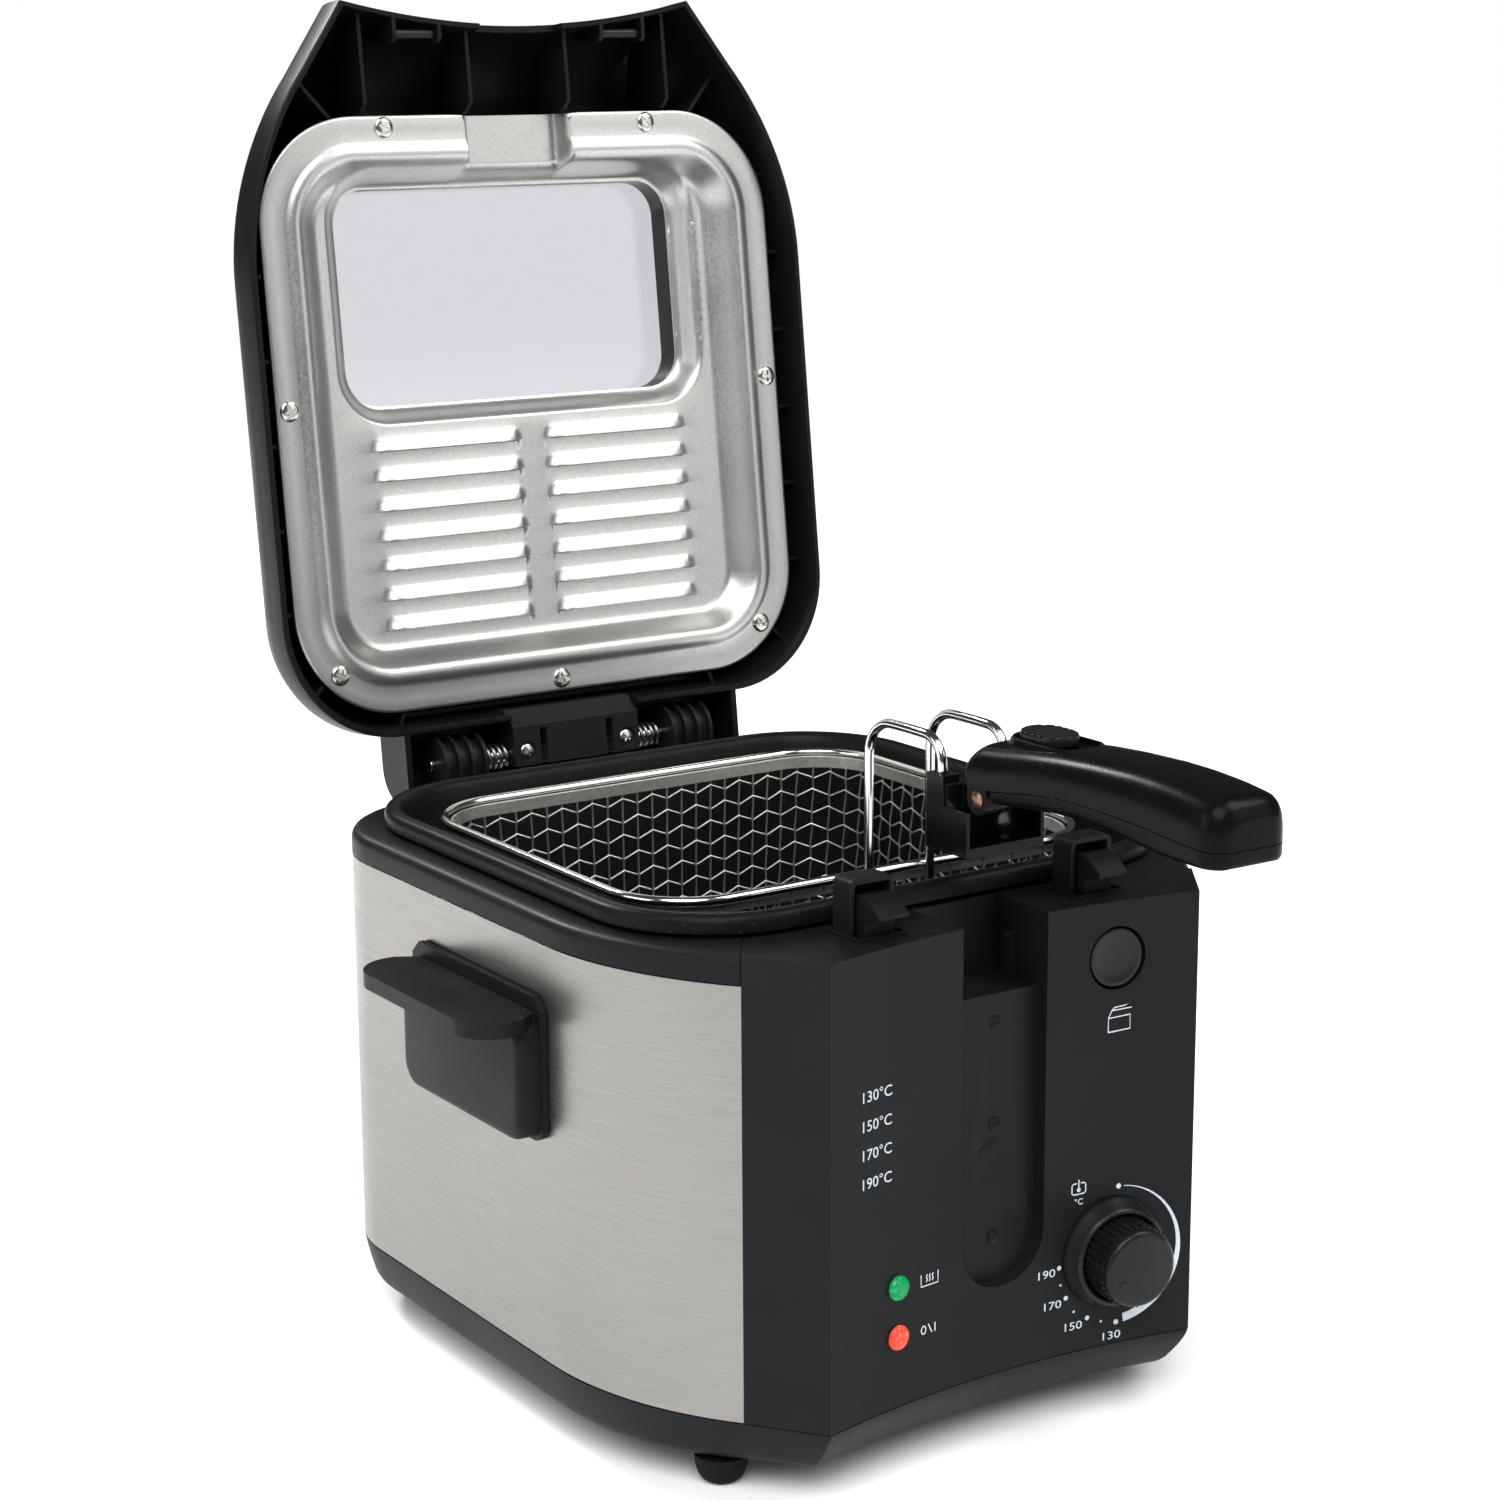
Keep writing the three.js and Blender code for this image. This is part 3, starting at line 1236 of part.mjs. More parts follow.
/** The ribbed button on the grip, with its stem through the deck and the keeper under it. */
function handleSlider() {
  const cy = sliderBackY - sliderLength / 2;
  const cap = prism(stadium(sliderHalfWidth, sliderLength / 2, cy), deckTop + runningGap, sliderTop);
  const grooves = Array.from({ length: sliderRidges }, (_, i) => {
    const y = cy + (i - (sliderRidges - 1) / 2) * sliderRidgePitch;
    return box(-far, far, y - 0.8, y + 0.8, sliderTop - 0.7, sliderTop + 1);
  });
  const w = sliderStemHalfWidth;
  const stem = box(-w, w, cy - 6, cy + 4, deckBottom - 1, deckTop + 1);
  const keeperHalf = w + sliderKeeper;
  const keeper = box(-keeperHalf, keeperHalf, cy - 7, cy + 5, deckBottom - 2.2, deckBottom - runningGap);
  return cut(join(cap, stem, keeper), ...grooves);
}

// ---------------------------------------------------------------- lid pieces, closed
const linerRect = { halfX: linerHalfX, halfY: linerHalfY, radius: linerCornerRadius, cy: linerCentreY };
const windowRect = { halfX: windowHalfX, halfY: windowHalfY, radius: windowCornerRadius, cy: windowCentreY };

/** The lid's domed shell with its ribs, the cover of the hinge and the openings. */
function lidShell() {
  const outline = drawnIn(housingOutline(), -lidOverhang, -lidFrontOverhang);
  const level = (share, inset) => atHeight(drawnIn(outline, inset), lidRim + share * lidHeight);
  const outer = skin([
    level(0, 0.6), level(0.03, 0), level(0.25, 0.3), level(0.45, lidRoofInset * 0.05),
    level(0.66, lidRoofInset * 0.2), level(0.86, lidRoofInset * 0.5), level(1, lidRoofInset),
  ]);
  const skirt = (inset) => shellWall + inset;
  const inner = skin([
    level(-0.03, skirt(0)), level(0.4, skirt(2)), level(0.64, skirt(10)), level(0.85, skirt(24)),
    level(1 - shellWall / lidHeight, lidRoofInset),
  ]);
  const windowCut = prism(outlineOf(grown(windowRect, windowSeatMargin)), lidRoof - 12, lidRoof + 2);
  const filterCut = box(-filterHalfX, filterHalfX, filterFrontY, filterBackY, lidRoof - 12, lidRoof + 2);
  const shell = cut(outer, inner, windowCut, filterCut);
  const notchHalf = channelHalfWidth + noseNotchGap;
  const notch = box(-notchHalf, notchHalf, -far, housingFront + 16, lidRim - 2, noseNotchTop);
  const blockHalf = hingeBlockHalfWidth + seam;
  const blockRoom = box(-blockHalf, blockHalf, hingeBlockFront - 0.6, hingeY + hingeHoodRadius + 4,
    lidRim - 1, hingeBlockTop + 0.6);
  return cut(join(shell, lidRibs().intersect(outer), hingeHood()), notch, blockRoom);
}

/** Stiffening ribs between the liner's edge and the skirt, and the holders of the catch bars. */
function lidRibs() {
  const half = ribWall / 2;
  const low = linerFlange + linerSheet + 0.4;
  const nose = both((side) => noseRibX.map((x) => box(side * x - half, side * x + half,
    housingFront, linerFrontY - ribGap, low, lidRoof))).flat();
  const holders = both((side) => both((end) => {
    const x = side * controlX + end * (catchBarHalf + half + seam);
    const back = catchBarY + catchBarRadius + 1.4;
    return profileX([
      [housingFront, catchBarZ - 4], [back, catchBarZ - 3.4], [back, catchBarZ + 3.4],
      [catchBarY - 1, catchBarZ + 22], [housingFront, catchBarZ + 22],
    ], x - half, x + half);
  })).flat();
  const sideY = Array.from({ length: sideRibs }, (_, i) => 5 + (i - (sideRibs - 1) / 2) * sideRibPitch);
  const sides = both((side) => sideY.map((y) => box(side * (linerHalfX + ribGap), side * halfWidth,
    y - half, y + half, low, lidRoof - 10))).flat();
  const middle = linerCornerRadius * (1 - Math.SQRT1_2);
  const corners = both((side) => both((end) => box(0, 30, -half, half, low, lidRoof - 10)
    .rotate([0, 0, end * 45])
    .translate([linerHalfX - middle, linerCentreY + end * (linerHalfY - middle), 0])
    .scale([side, 1, 1]))).flat();
  const clear = prism(outlineOf(grown(linerRect, ribGap)), lidRim, lidRoof + 1);
  const bores = both((side) => bar(catchBarRadius + 0.2,
    [side * controlX - 20, catchBarY, catchBarZ], [side * controlX + 20, catchBarY, catchBarZ]));
  return cut(join(...nose, ...sides, ...corners), clear).add(cut(join(...holders), ...bores));
}

/** The bar that a latch hooks over, held between two ribs. */
function catchBar(side) {
  const end = (sign) => [side * controlX + sign * catchBarHalf, catchBarY, catchBarZ];
  return bar(catchBarRadius, end(-1), end(1));
}

/** The curved cover over the hinge, with its side walls. */
function hingeHood() {
  const r = hingeHoodRadius;
  const inner = r - hingeHoodWall;
  const w = hingeHoodHalfWidth;
  const joinY = halfDepth - 6;
  const cover = profileX([
    [joinY, hingeZ + inner], ...arc(hingeY, hingeZ, inner, 90, -8, 6),
    ...arc(hingeY, hingeZ, r, -8, 90, 6), [joinY, hingeZ + r],
  ], -w, w);
  const wallProfile = [
    [joinY + 4, lidRim], [hingeY + 6, lidRim], ...arc(hingeY, hingeZ, r - seam, -30, 90, 7),
    [joinY + 4, hingeZ + r - seam],
  ];
  const walls = both((side) => profileX(wallProfile, side * w, side * (w - shellWall)));
  return join(cover, ...walls);
}

/** The block in the middle of the hinge that turns on the pin, with two slots under it. */
function hingeBlock() {
  const back = hingeY + hingeBlockBack;
  const low = lidRim + seam;
  const block = profileX([
    [back, low], [hingeBlockFront + hingeBlockChamfer, low], [hingeBlockFront, low + hingeBlockChamfer + 0.8],
    [hingeBlockFront, hingeBlockTop], [back, hingeBlockTop],
  ], -hingeBlockHalfWidth, hingeBlockHalfWidth);
  const slotHalf = hingeSlotWidth / 2;
  const slots = both((side) => box(side * hingeSlotX - slotHalf, side * hingeSlotX + slotHalf,
    hingeBlockFront + hingeBlockChamfer + 2, back + 1, low - 1, hingeBlockTop - 1.8));
  const bore = bar(hingePinRadius + runningGap, [-far, hingeY, hingeZ], [far, hingeY, hingeZ], 16);
  return cut(block, ...slots, bore);
}

/** The stamped liner: beaded edge, trough for the hoops, pocket for the window and two columns of louvres. */
function lidLiner() {
  const fold = linerFlangeWidth;
  const under = [[fold + 12.5, linerPanel], [fold + 6.5, linerFlange + beadDepth], [fold + 5, linerFlange],
    [fold + 3.5, linerFlange - beadDepth], [fold + 1.5, linerFlange - beadDepth], [fold, linerFlange],
    [0, linerFlange]];
  const over = under.map(([inset, z]) => [inset, z + linerSheet]).reverse();
  const sheet = rectTurn(linerRect, [...under, ...over]);
  const pocket = grown(windowRect, windowPocketWidth);
  const pocketSides = rectTurn(pocket, [
    [-0.4, linerPanel], [1.2, linerPanel + 1.4], [windowPocketWidth - 1.4, windowRim - 1],
    [windowPocketWidth, windowRim], [windowPocketWidth, windowRim + linerSheet],
    [windowPocketWidth - 2.2, windowRim - 0.2 + linerSheet], [0.2, linerPanel + 1.6 + linerSheet],
    [-1.2, linerPanel + linerSheet],
  ], true);
  const pocketCut = prism(outlineOf(grown(pocket, -0.6)), linerPanel - 1, linerPanel + 3);
  const troughBack = linerFrontY + linerFlangeWidth + troughRun;
  const w = troughHalfWidth;
  const troughCut = box(-w, w, linerFrontY - 1, troughBack - 0.5, linerFlange - 3, linerPanel - 0.01);
  const trough = join(
    box(-w - linerSheet, w + linerSheet, linerFrontY, troughBack, linerPanel, linerPanel + linerSheet),
    ...both((side) => box(side * w, side * (w + linerSheet), linerFrontY, troughBack - 2,
      linerFlange, linerPanel + linerSheet)),
  );
  const rows = Array.from({ length: louvreRows }, (_, i) => louvreFirstY + i * louvrePitch);
  const columns = [[-louvreOuterX, -louvreInnerX], [louvreInnerX, louvreOuterX]];
  const half = louvreLength / 2;
  const louvres = rows.flatMap((y) => columns.map(([x0, x1]) => profileX([
    [y - half, linerPanel + 0.2], [y + half - 0.5, linerPanel - louvreHeight],
    [y + half, linerPanel - louvreHeight + 0.4], [y + half, linerPanel + 0.2],
  ], x0, x1)));
  const slits = rows.flatMap((y) => columns.map(([x0, x1]) => box(x0 + 1.5, x1 - 1.5,
    y + half - 0.75 - louvreSlit, y + half - 0.75, linerPanel - 1.2, linerPanel + 2)));
  return cut(join(cut(sheet, pocketCut, troughCut), pocketSides, trough, ...louvres), ...slits);
}

function windowFrame() {
  const wall = windowFrameWall;
  const low = windowRim + linerSheet + seam;
  const high = lidRoof - glassThickness - seam;
  return rectTurn(grown(windowRect, wall), [[0, low], [wall, low], [wall, high], [0, high]], true);
}

function windowGlass() {
  const low = lidRoof - glassThickness;
  const edge = [[0.4, low], [0, low + 0.4], [0, lidRoof - 0.5], [0.5, lidRoof]];
  return rectTurn(grown(windowRect, glassLap), edge);
}

function filterCover() {
  const g = filterGap;
  const plate = box(-filterHalfX + g, filterHalfX - g, filterFrontY + g, filterBackY - g,
    lidRoof - shellWall, lidRoof);
  const middle = (filterFrontY + filterBackY) / 2;
  const slots = Array.from({ length: filterSlots }, (_, i) => {
    const y = middle + (i - (filterSlots - 1) / 2) * filterSlotPitch;
    const half = filterSlotWidth / 2;
    return both((side) => box(side * filterSlotInner, side * (filterHalfX - filterSlotMargin),
      y - half, y + half, lidRoof - shellWall - 1, lidRoof + 1));
  }).flat();
  return cut(plate, ...slots);
}

function filterMat() {
  const g = filterMatGap;
  return box(-filterHalfX + g, filterHalfX - g, filterFrontY + g, filterBackY - g,
    linerPanel + linerSheet + seam, lidRoof - shellWall - seam);
}

/** A ribbed bearing on the housing that holds one end of the hinge pin. */
function hingeKnuckle(side) {
  const seatTop = hingeSeatTop + seam;
  const back = halfDepth + hingeSeatOverhang - seam;
  const profile = (radius, front) => [
    ...arc(hingeY, hingeZ, radius, -60, 180, 7), [front, hingeZ - 5], [front, seatTop], [back, seatTop],
    [back, hingeZ - 6.5],
  ];
  const coreRadius = knuckleRadius - knuckleRibDepth;
  const core = profileX(profile(coreRadius, hingeY - coreRadius), knuckleInnerX, knuckleOuterX);
  const pitch = (knuckleOuterX - knuckleInnerX - ribWall) / (knuckleRibs - 1);
  const ribProfile = profile(knuckleRadius, Math.max(halfDepth + seam, hingeY - knuckleRadius));
  const ribs = Array.from({ length: knuckleRibs }, (_, i) => {
    const x = knuckleInnerX + i * pitch;
    return profileX(ribProfile, x, x + ribWall);
  });
  const bore = bar(hingePinRadius + runningGap, [0, hingeY, hingeZ], [far, hingeY, hingeZ], 16);
  const whole = cut(join(core, ...ribs), bore);
  return side > 0 ? whole : whole.mirror([1, 0, 0]);
}

function hingePin() {
  const reach = knuckleOuterX + hingePinEnd;
  return bar(hingePinRadius, [-reach, hingeY, hingeZ], [reach, hingeY, hingeZ], 16);
}

function hingeSpring(side) {
  const start = side * (hingeBlockHalfWidth + hingeSpringGap);
  const end = side * (knuckleInnerX - hingeSpringGap);
  return coil('x', start, end, [hingeY, hingeZ], hingeSpringRadius, hingeSpringWire, 4);
}

// ---------------------------------------------------------------- assembly
/** A named mesh from a solid. */
function piece(name, whole, material) {
  const { vertProperties, triVerts } = whole.getMesh();
  const geometry = new THREE.BufferGeometry();
  geometry.setAttribute('position', new THREE.BufferAttribute(Float32Array.from(vertProperties), 3));
  geometry.setIndex(new THREE.BufferAttribute(Uint32Array.from(triVerts), 1));
  geometry.computeVertexNormals();
  const mesh = new THREE.Mesh(geometry, material);
  mesh.name = name;
  return mesh;
}

const sides = [['left', -1], ['right', 1]];

const housing = new THREE.Group();
housing.add(
  piece('base_tray', baseTray(), blackPlastic),
  piece('cord_gland', cordGland(), rubber),
  piece('steel_wrap', steelWrap(), brushedSteel),
  piece('top_ring', topRing(), blackPlastic),
  piece('control_panel', controlPanel(), blackPlastic),
  piece('inner_pot', innerPot(), potCoating),
  piece('heating_element', heatingElement(), springSteel),
  piece('thermostat', thermostat(), ceramic),
  piece('knob_bezel', knobBezel(), glossPlastic),
  piece('lamp_green', lamp(-1, greenLampZ), greenLens),
  piece('lamp_red', lamp(-1, redLampZ), redLens),
  piece('hinge_pin', hingePin(), springSteel),
);
const footShape = foot();
for (const { name, x, y } of feet) housing.add(piece(name, footShape.translate([x, y, 0]), rubber));
for (const [label, side] of sides) {
  housing.add(
    piece(`side_handle_${label}`, sideHandle(side), blackPlastic),
    piece(`latch_hood_${label}`, latchHood(side), blackPlastic),
    piece(`latch_spring_${label}`, latchSpring(side), springSteel),
    piece(`hinge_knuckle_${label}`, hingeKnuckle(side), blackPlastic),
    piece(`hinge_spring_${label}`, hingeSpring(side), springSteel),
  );
}

const controls = new THREE.Group();
controls.add(
  piece('temperature_knob', knob(), blackPlastic),
  piece('release_button', releaseButton(), glossPlastic),
  piece('latch_link', latchLink(), blackPlastic),
  ...sides.map(([label, side]) => piece(`latch_hook_${label}`, latchHook(side), blackPlastic)),
);

const basket = new THREE.Group();
basket.add(
  piece('basket_rim', basketRim(), chrome),
  piece('basket_mesh', basketMesh(), chrome),
  ...sides.map(([label, side]) => piece(`basket_hoop_${label}`, basketHoop(side), chrome)),
  piece('basket_bracket', basketBracket(), blackPlastic),
  piece('handle_upper', handleUpper(), blackPlastic),
  piece('handle_lower', handleLower(), blackPlastic),
  piece('handle_pin', handlePin(), springSteel),
  piece('handle_slider', handleSlider(), blackPlastic),
);

const closedLid = new THREE.Group();
closedLid.add(
  piece('lid_shell', lidShell(), blackPlastic),
  piece('lid_liner', lidLiner(), satinAluminium),
  piece('window_frame', windowFrame(), blackPlastic),
  piece('window_glass', windowGlass(), clearGlass),
  piece('filter_cover', filterCover(), blackPlastic),
  piece('filter_mat', filterMat(), filterFibre),
  piece('hinge_block', hingeBlock(), blackPlastic),
  ...sides.map(([label, side]) => piece(`catch_bar_${label}`, catchBar(side), glossPlastic)),
);
closedLid.position.set(0, -hingeY, -hingeZ);
const lid = new THREE.Group();
lid.add(closedLid);
lid.position.set(0, hingeY, hingeZ);
lid.rotation.x = -rad(lidOpenAngle);

const fryer = new THREE.Group();
fryer.add(housing, controls, basket, lid);

// the origin lies on the floor under the middle of the whole footprint
fryer.updateMatrixWorld(true);
const footprint = new THREE.Box3().setFromObject(fryer, true);
fryer.position.y = -(footprint.min.y + footprint.max.y) / 2;

export default fryer;
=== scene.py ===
"""A compact deep fryer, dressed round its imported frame.

The lid stands open, the wire basket hangs at its drain height and the folding handle points
forward. Sizes are in millimetres from the middle of the housing and become metres in one place.
"""
import logging
from dataclasses import dataclass, field
from enum import Enum
from math import asin, ceil, copysign, cos, degrees, hypot, pi, radians, sin, sqrt
from typing import Any, Optional, Sequence

import bmesh
import bpy
from mathutils import Matrix, Vector
from mathutils.geometry import delaunay_2d_cdt


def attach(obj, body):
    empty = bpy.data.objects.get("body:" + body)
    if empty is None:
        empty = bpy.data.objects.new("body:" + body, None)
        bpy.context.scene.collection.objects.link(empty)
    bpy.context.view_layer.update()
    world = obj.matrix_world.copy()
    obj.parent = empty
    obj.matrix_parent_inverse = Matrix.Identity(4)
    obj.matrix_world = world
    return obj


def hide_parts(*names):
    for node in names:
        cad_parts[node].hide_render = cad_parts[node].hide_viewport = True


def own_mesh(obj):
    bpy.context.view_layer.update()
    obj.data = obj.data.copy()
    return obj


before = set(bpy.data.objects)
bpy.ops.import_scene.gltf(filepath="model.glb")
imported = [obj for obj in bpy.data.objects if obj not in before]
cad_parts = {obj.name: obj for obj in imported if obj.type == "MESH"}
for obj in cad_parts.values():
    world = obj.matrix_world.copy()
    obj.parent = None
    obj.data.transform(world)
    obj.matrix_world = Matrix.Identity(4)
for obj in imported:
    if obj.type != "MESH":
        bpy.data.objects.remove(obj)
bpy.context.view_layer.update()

LOG = logging.getLogger("deep_fryer")
Flat = tuple[float, float]
Place = tuple[float, float, float]
Outline = list[Flat]
Loop = list[Place]
Tree = bpy.types.NodeTree
Sockets = dict[Any, Any]  # socket name or number to a value or an output socket

MM = 0.001
SHIFT_Y = 15.61  # from the middle of the housing to the origin of the frame
SEAM = 0.3  # gap between pieces that touch
SIDES = ((-1, "left"), (1, "right"))


class Body(Enum):
    """The moving bodies of the frame."""

    HOUSING = "housing"
    LID = "lid"
    BASKET = "basket"
    HANDLE = "handle"
    SLIDER = "slider"
    KNOB = "knob"
    BUTTON = "button"
    LATCH = "latch"


def put_at(place: Place, angle: float = 0.0, axis: str = "Z") -> Matrix:
    """The matrix that turns by so many degrees and then moves to a place."""
    return Matrix.Translation(place) @ Matrix.Rotation(radians(angle), 4, axis)


HINGE: Flat = (152.5, 195.7)  # y and z of the hinge axis
OPEN_ANGLE = 96.8
LID_OPEN = put_at((0, *HINGE), -OPEN_ANGLE, "X") @ Matrix.Translation((0, -HINGE[0], -HINGE[1]))


# ----- plane figures
def arc(cx: float, cy: float, radius: float, start: float, end: float, steps: int) -> Outline:
    """Points of an arc.

    Args:
        cx, cy: Centre.
        radius: Radius.
        start, end: Angles in degrees.
        steps: Number of chords.

    Returns:
        The points from start to end.
    """
    turns = [radians(start + (end - start) * i / steps) for i in range(steps + 1)]
    return [(cx + radius * cos(t), cy + radius * sin(t)) for t in turns]


def round_rect(half_x: float, half_y: float, radius: float, cy: float = 0.0, steps: int = 12) -> Outline:
    """A rounded rectangle about (0, cy).

    Args:
        half_x, half_y: Half sizes.
        radius: Corner radius.
        cy: Height of the centre in the plane.
        steps: Chords in each corner.

    Returns:
        The outline, anticlockwise.
    """
    r = max(radius, 0.3)
    x, y = half_x - r, half_y - r
    return (arc(x, cy + y, r, 0, 90, steps) + arc(-x, cy + y, r, 90, 180, steps)
            + arc(-x, cy - y, r, 180, 270, steps) + arc(x, cy - y, r, 270, 360, steps))


def stadium(half_w: float, half_l: float, cy: float, steps: int = 10) -> Outline:
    """A straight-sided oval along Y about (0, cy)."""
    return (arc(0, cy + half_l - half_w, half_w, 0, 180, steps)
            + arc(0, cy - half_l + half_w, half_w, 180, 360, steps))


def at_height(outline: Outline, z: float) -> Loop:
    """The outline laid at height z."""
    return [(x, y, z) for x, y in outline]


def moved_in(points: Outline, distance: float) -> Outline:
    """Every point of an open line moved at right angles to it, to its left.

    Args:
        points: The line.
        distance: How far.

    Returns:
        The moved line.
    """
    moved: Outline = []
    for i, (x, y) in enumerate(points):
        before, after = points[max(i - 1, 0)], points[min(i + 1, len(points) - 1)]
        dx, dy = after[0] - before[0], after[1] - before[1]
        length = hypot(dx, dy)
        moved.append((x - distance * dy / length, y + distance * dx / length))
    return moved


def eased(value: float) -> float:
    """A smooth step from 0 to 1."""
    t = min(max(value, 0.0), 1.0)
    return t * t * (3 - 2 * t)


def smooth_line(points: Sequence[Place], per_span: int) -> Loop:
    """A centripetal curve through the points.

    Args:
        points: Places the curve passes.
        per_span: New points for each span.

    Returns:
        The finer line.
    """
    def mixed(a: Vector, b: Vector, ta: float, tb: float, t: float) -> Vector:
        """The place at t between a at ta and b at tb."""
        return a * ((tb - t) / (tb - ta)) + b * ((t - ta) / (tb - ta))

    ends = [Vector(points[0]) * 2 - Vector(points[1]), Vector(points[-1]) * 2 - Vector(points[-2])]
    line = [ends[0], *(Vector(p) for p in points), ends[1]]
    fine: Loop = []
    for k in range(1, len(line) - 2):
        p0, p1, p2, p3 = line[k - 1:k + 3]
        t1 = sqrt((p1 - p0).length)
        t2 = t1 + sqrt((p2 - p1).length)
        t3 = t2 + sqrt((p3 - p2).length)
        for i in range(per_span):
            t = t1 + (t2 - t1) * i / per_span
            middle = mixed(p1, p2, t1, t2, t)
            early = mixed(mixed(p0, p1, 0, t1, t), middle, 0, t2, t)
            late = mixed(middle, mixed(p2, p3, t2, t3, t), t1, t3, t)
            fine.append(tuple(mixed(early, late, t1, t2, t)))
    fine.append(tuple(line[-2]))
    return fine


# ----- solid forms
class Form:
    """Points and faces in millimetres, gathered before they become a piece."""

    def __init__(self) -> None:
        """An empty form."""
        self.points: Loop = []
        self.faces: list[list[int]] = []

    def loft(self, loops: Sequence[Loop], closed: bool = False, caps: bool = True) -> "Form":
        """Skins loops with equal point counts.

        Args:
            loops: Closed loops in order.
            closed: The last loop joins the first.
            caps: The first and last loops are filled.

        Returns:
            This form.
        """
        start, count = len(self.points), len(loops[0])
        for loop in loops:
            self.points.extend(loop)
        for k in range(len(loops) if closed else len(loops) - 1):
            low, high = start + k * count, start + ((k + 1) % len(loops)) * count
            for i in range(count):
                j = (i + 1) % count
                self.faces.append([low + i, low + j, high + j, high + i])
        if caps and not closed:
            last = start + (len(loops) - 1) * count
            self.faces.append(list(range(start + count - 1, start - 1, -1)))
            self.faces.append(list(range(last, last + count)))
        return self

    def prism(self, outline: Outline, z0: float, z1: float) -> "Form":
        """Raises an XY outline from z0 to z1."""
        return self.loft([at_height(outline, z0), at_height(outline, z1)])

    def bar_x(self, outline: Outline, x0: float, x1: float) -> "Form":
        """Draws a (y, z) profile out from x0 to x1."""
        return self.loft([[(x, y, z) for y, z in outline] for x in sorted((x0, x1))])

    def bar_y(self, outline: Outline, y0: float, y1: float) -> "Form":
        """Draws an (x, z) profile out from y0 to y1."""
        return self.loft([[(x, y, z) for x, z in outline] for y in sorted((y0, y1))])

    def box(self, x: Flat, y: Flat, z: Flat) -> "Form":
        """Adds a block between the given limits."""
        (x0, x1), (y0, y1) = sorted(x), sorted(y)
        return self.prism([(x0, y0), (x1, y0), (x1, y1), (x0, y1)], *sorted(z))

    def turned(self, profile: Sequence[Flat], steps: int = 48) -> "Form":
        """Turns (radius, z) points about Z; the profile closes on itself or on the axis.

        Args:
            profile: Points of the profile.
            steps: Number of sides.

        Returns:
            This form.
        """
        on_axis = profile[0][0] == 0 and profile[-1][0] == 0
        loops = [[(r * cos(2 * pi * i / steps), r * sin(2 * pi * i / steps), z) for i in range(steps)]
                 for r, z in (profile[1:-1] if on_axis else profile)]
        if not on_axis:
            return self.loft(loops, closed=True)
        start = len(self.points)
        self.loft(loops, caps=False)
        for (_, z), ring in ((profile[0], start), (profile[-1], start + (len(loops) - 1) * steps)):
            self.points.append((0.0, 0.0, z))
            centre = len(self.points) - 1
            self.faces.extend([[centre, ring + i, ring + (i + 1) % steps] for i in range(steps)])
        return self

    def tube(self, path: Sequence[Place], radius: float, sides: int = 10, closed: bool = False) -> "Form":
        """Sweeps a round section along a path.

        Args:
            path: Points of the path.
            radius: Radius of the section.
            sides: Number of sides.
            closed: The path joins itself.

        Returns:
            This form.
        """
        spots = [Vector(p) for p in path]
        count = len(spots)
        loops: list[Loop] = []
        across: Optional[Vector] = None
        for i, spot in enumerate(spots):
            before = spots[(i - 1) % count] if closed or i else spot
            after = spots[(i + 1) % count] if closed or i < count - 1 else spot
            along = (after - before).normalized()
            if across is None:
                across = along.orthogonal()
            across = (across - along * across.dot(along)).normalized()
            third = along.cross(across)
            turns = [2 * pi * k / sides for k in range(sides)]
            loops.append([tuple(spot + (across * cos(t) + third * sin(t)) * radius) for t in turns])
        return self.loft(loops, closed=closed)

    def rod(self, start: Place, end: Place, radius: float, sides: int = 24) -> "Form":
        """Adds a round bar between two places."""
        return self.tube([start, end], radius, sides)

    def placed(self, matrix: Matrix) -> "Form":
        """A copy moved by a matrix in millimetres.

        Args:
            matrix: Where it goes, in millimetres.

        Returns:
            The copy.
        """
        made = Form()
        made.points = [tuple(matrix @ Vector(p)) for p in self.points]
        made.faces = [list(f) for f in self.faces]
        return made

    def with_form(self, *others: "Form") -> "Form":
        """Adds the faces of other forms, without joining them as solids.

        Args:
            *others: The other forms.

        Returns:
            This form.
        """
        for other in others:
            start = len(self.points)
            self.points.extend(other.points)
            self.faces.extend([[start + i for i in f] for f in other.faces])
        return self

    def mesh(self, name: str, scale: float = 1.0) -> bpy.types.Mesh:
        """A Blender mesh with its faces turned outwards.

        Args:
            name: Name of the mesh.
            scale: Factor on every coordinate.

        Returns:
            The mesh.
        """
        made = bpy.data.meshes.new(name)
        made.from_pydata([tuple(c * scale for c in p) for p in self.points], [], self.faces)
        work = bmesh.new()
        work.from_mesh(made)
        bmesh.ops.remove_doubles(work, verts=work.verts, dist=1e-4 * scale)
        bmesh.ops.dissolve_degenerate(work, edges=work.edges, dist=1e-4 * scale)
        bmesh.ops.recalc_face_normals(work, faces=work.faces)
        work.to_mesh(made)
        work.free()
        return made

    def cut(self, *tools: "Form") -> "Form":
        """The solid left when the tools are taken away."""
        return self._solved("DIFFERENCE", tools)

    def fused(self, *others: "Form") -> "Form":
        """The solid of this form and the others together."""
        return self._solved("UNION", others)

    def common(self, *others: "Form") -> "Form":
        """The solid that all the forms share."""
        return self._solved("INTERSECT", others)

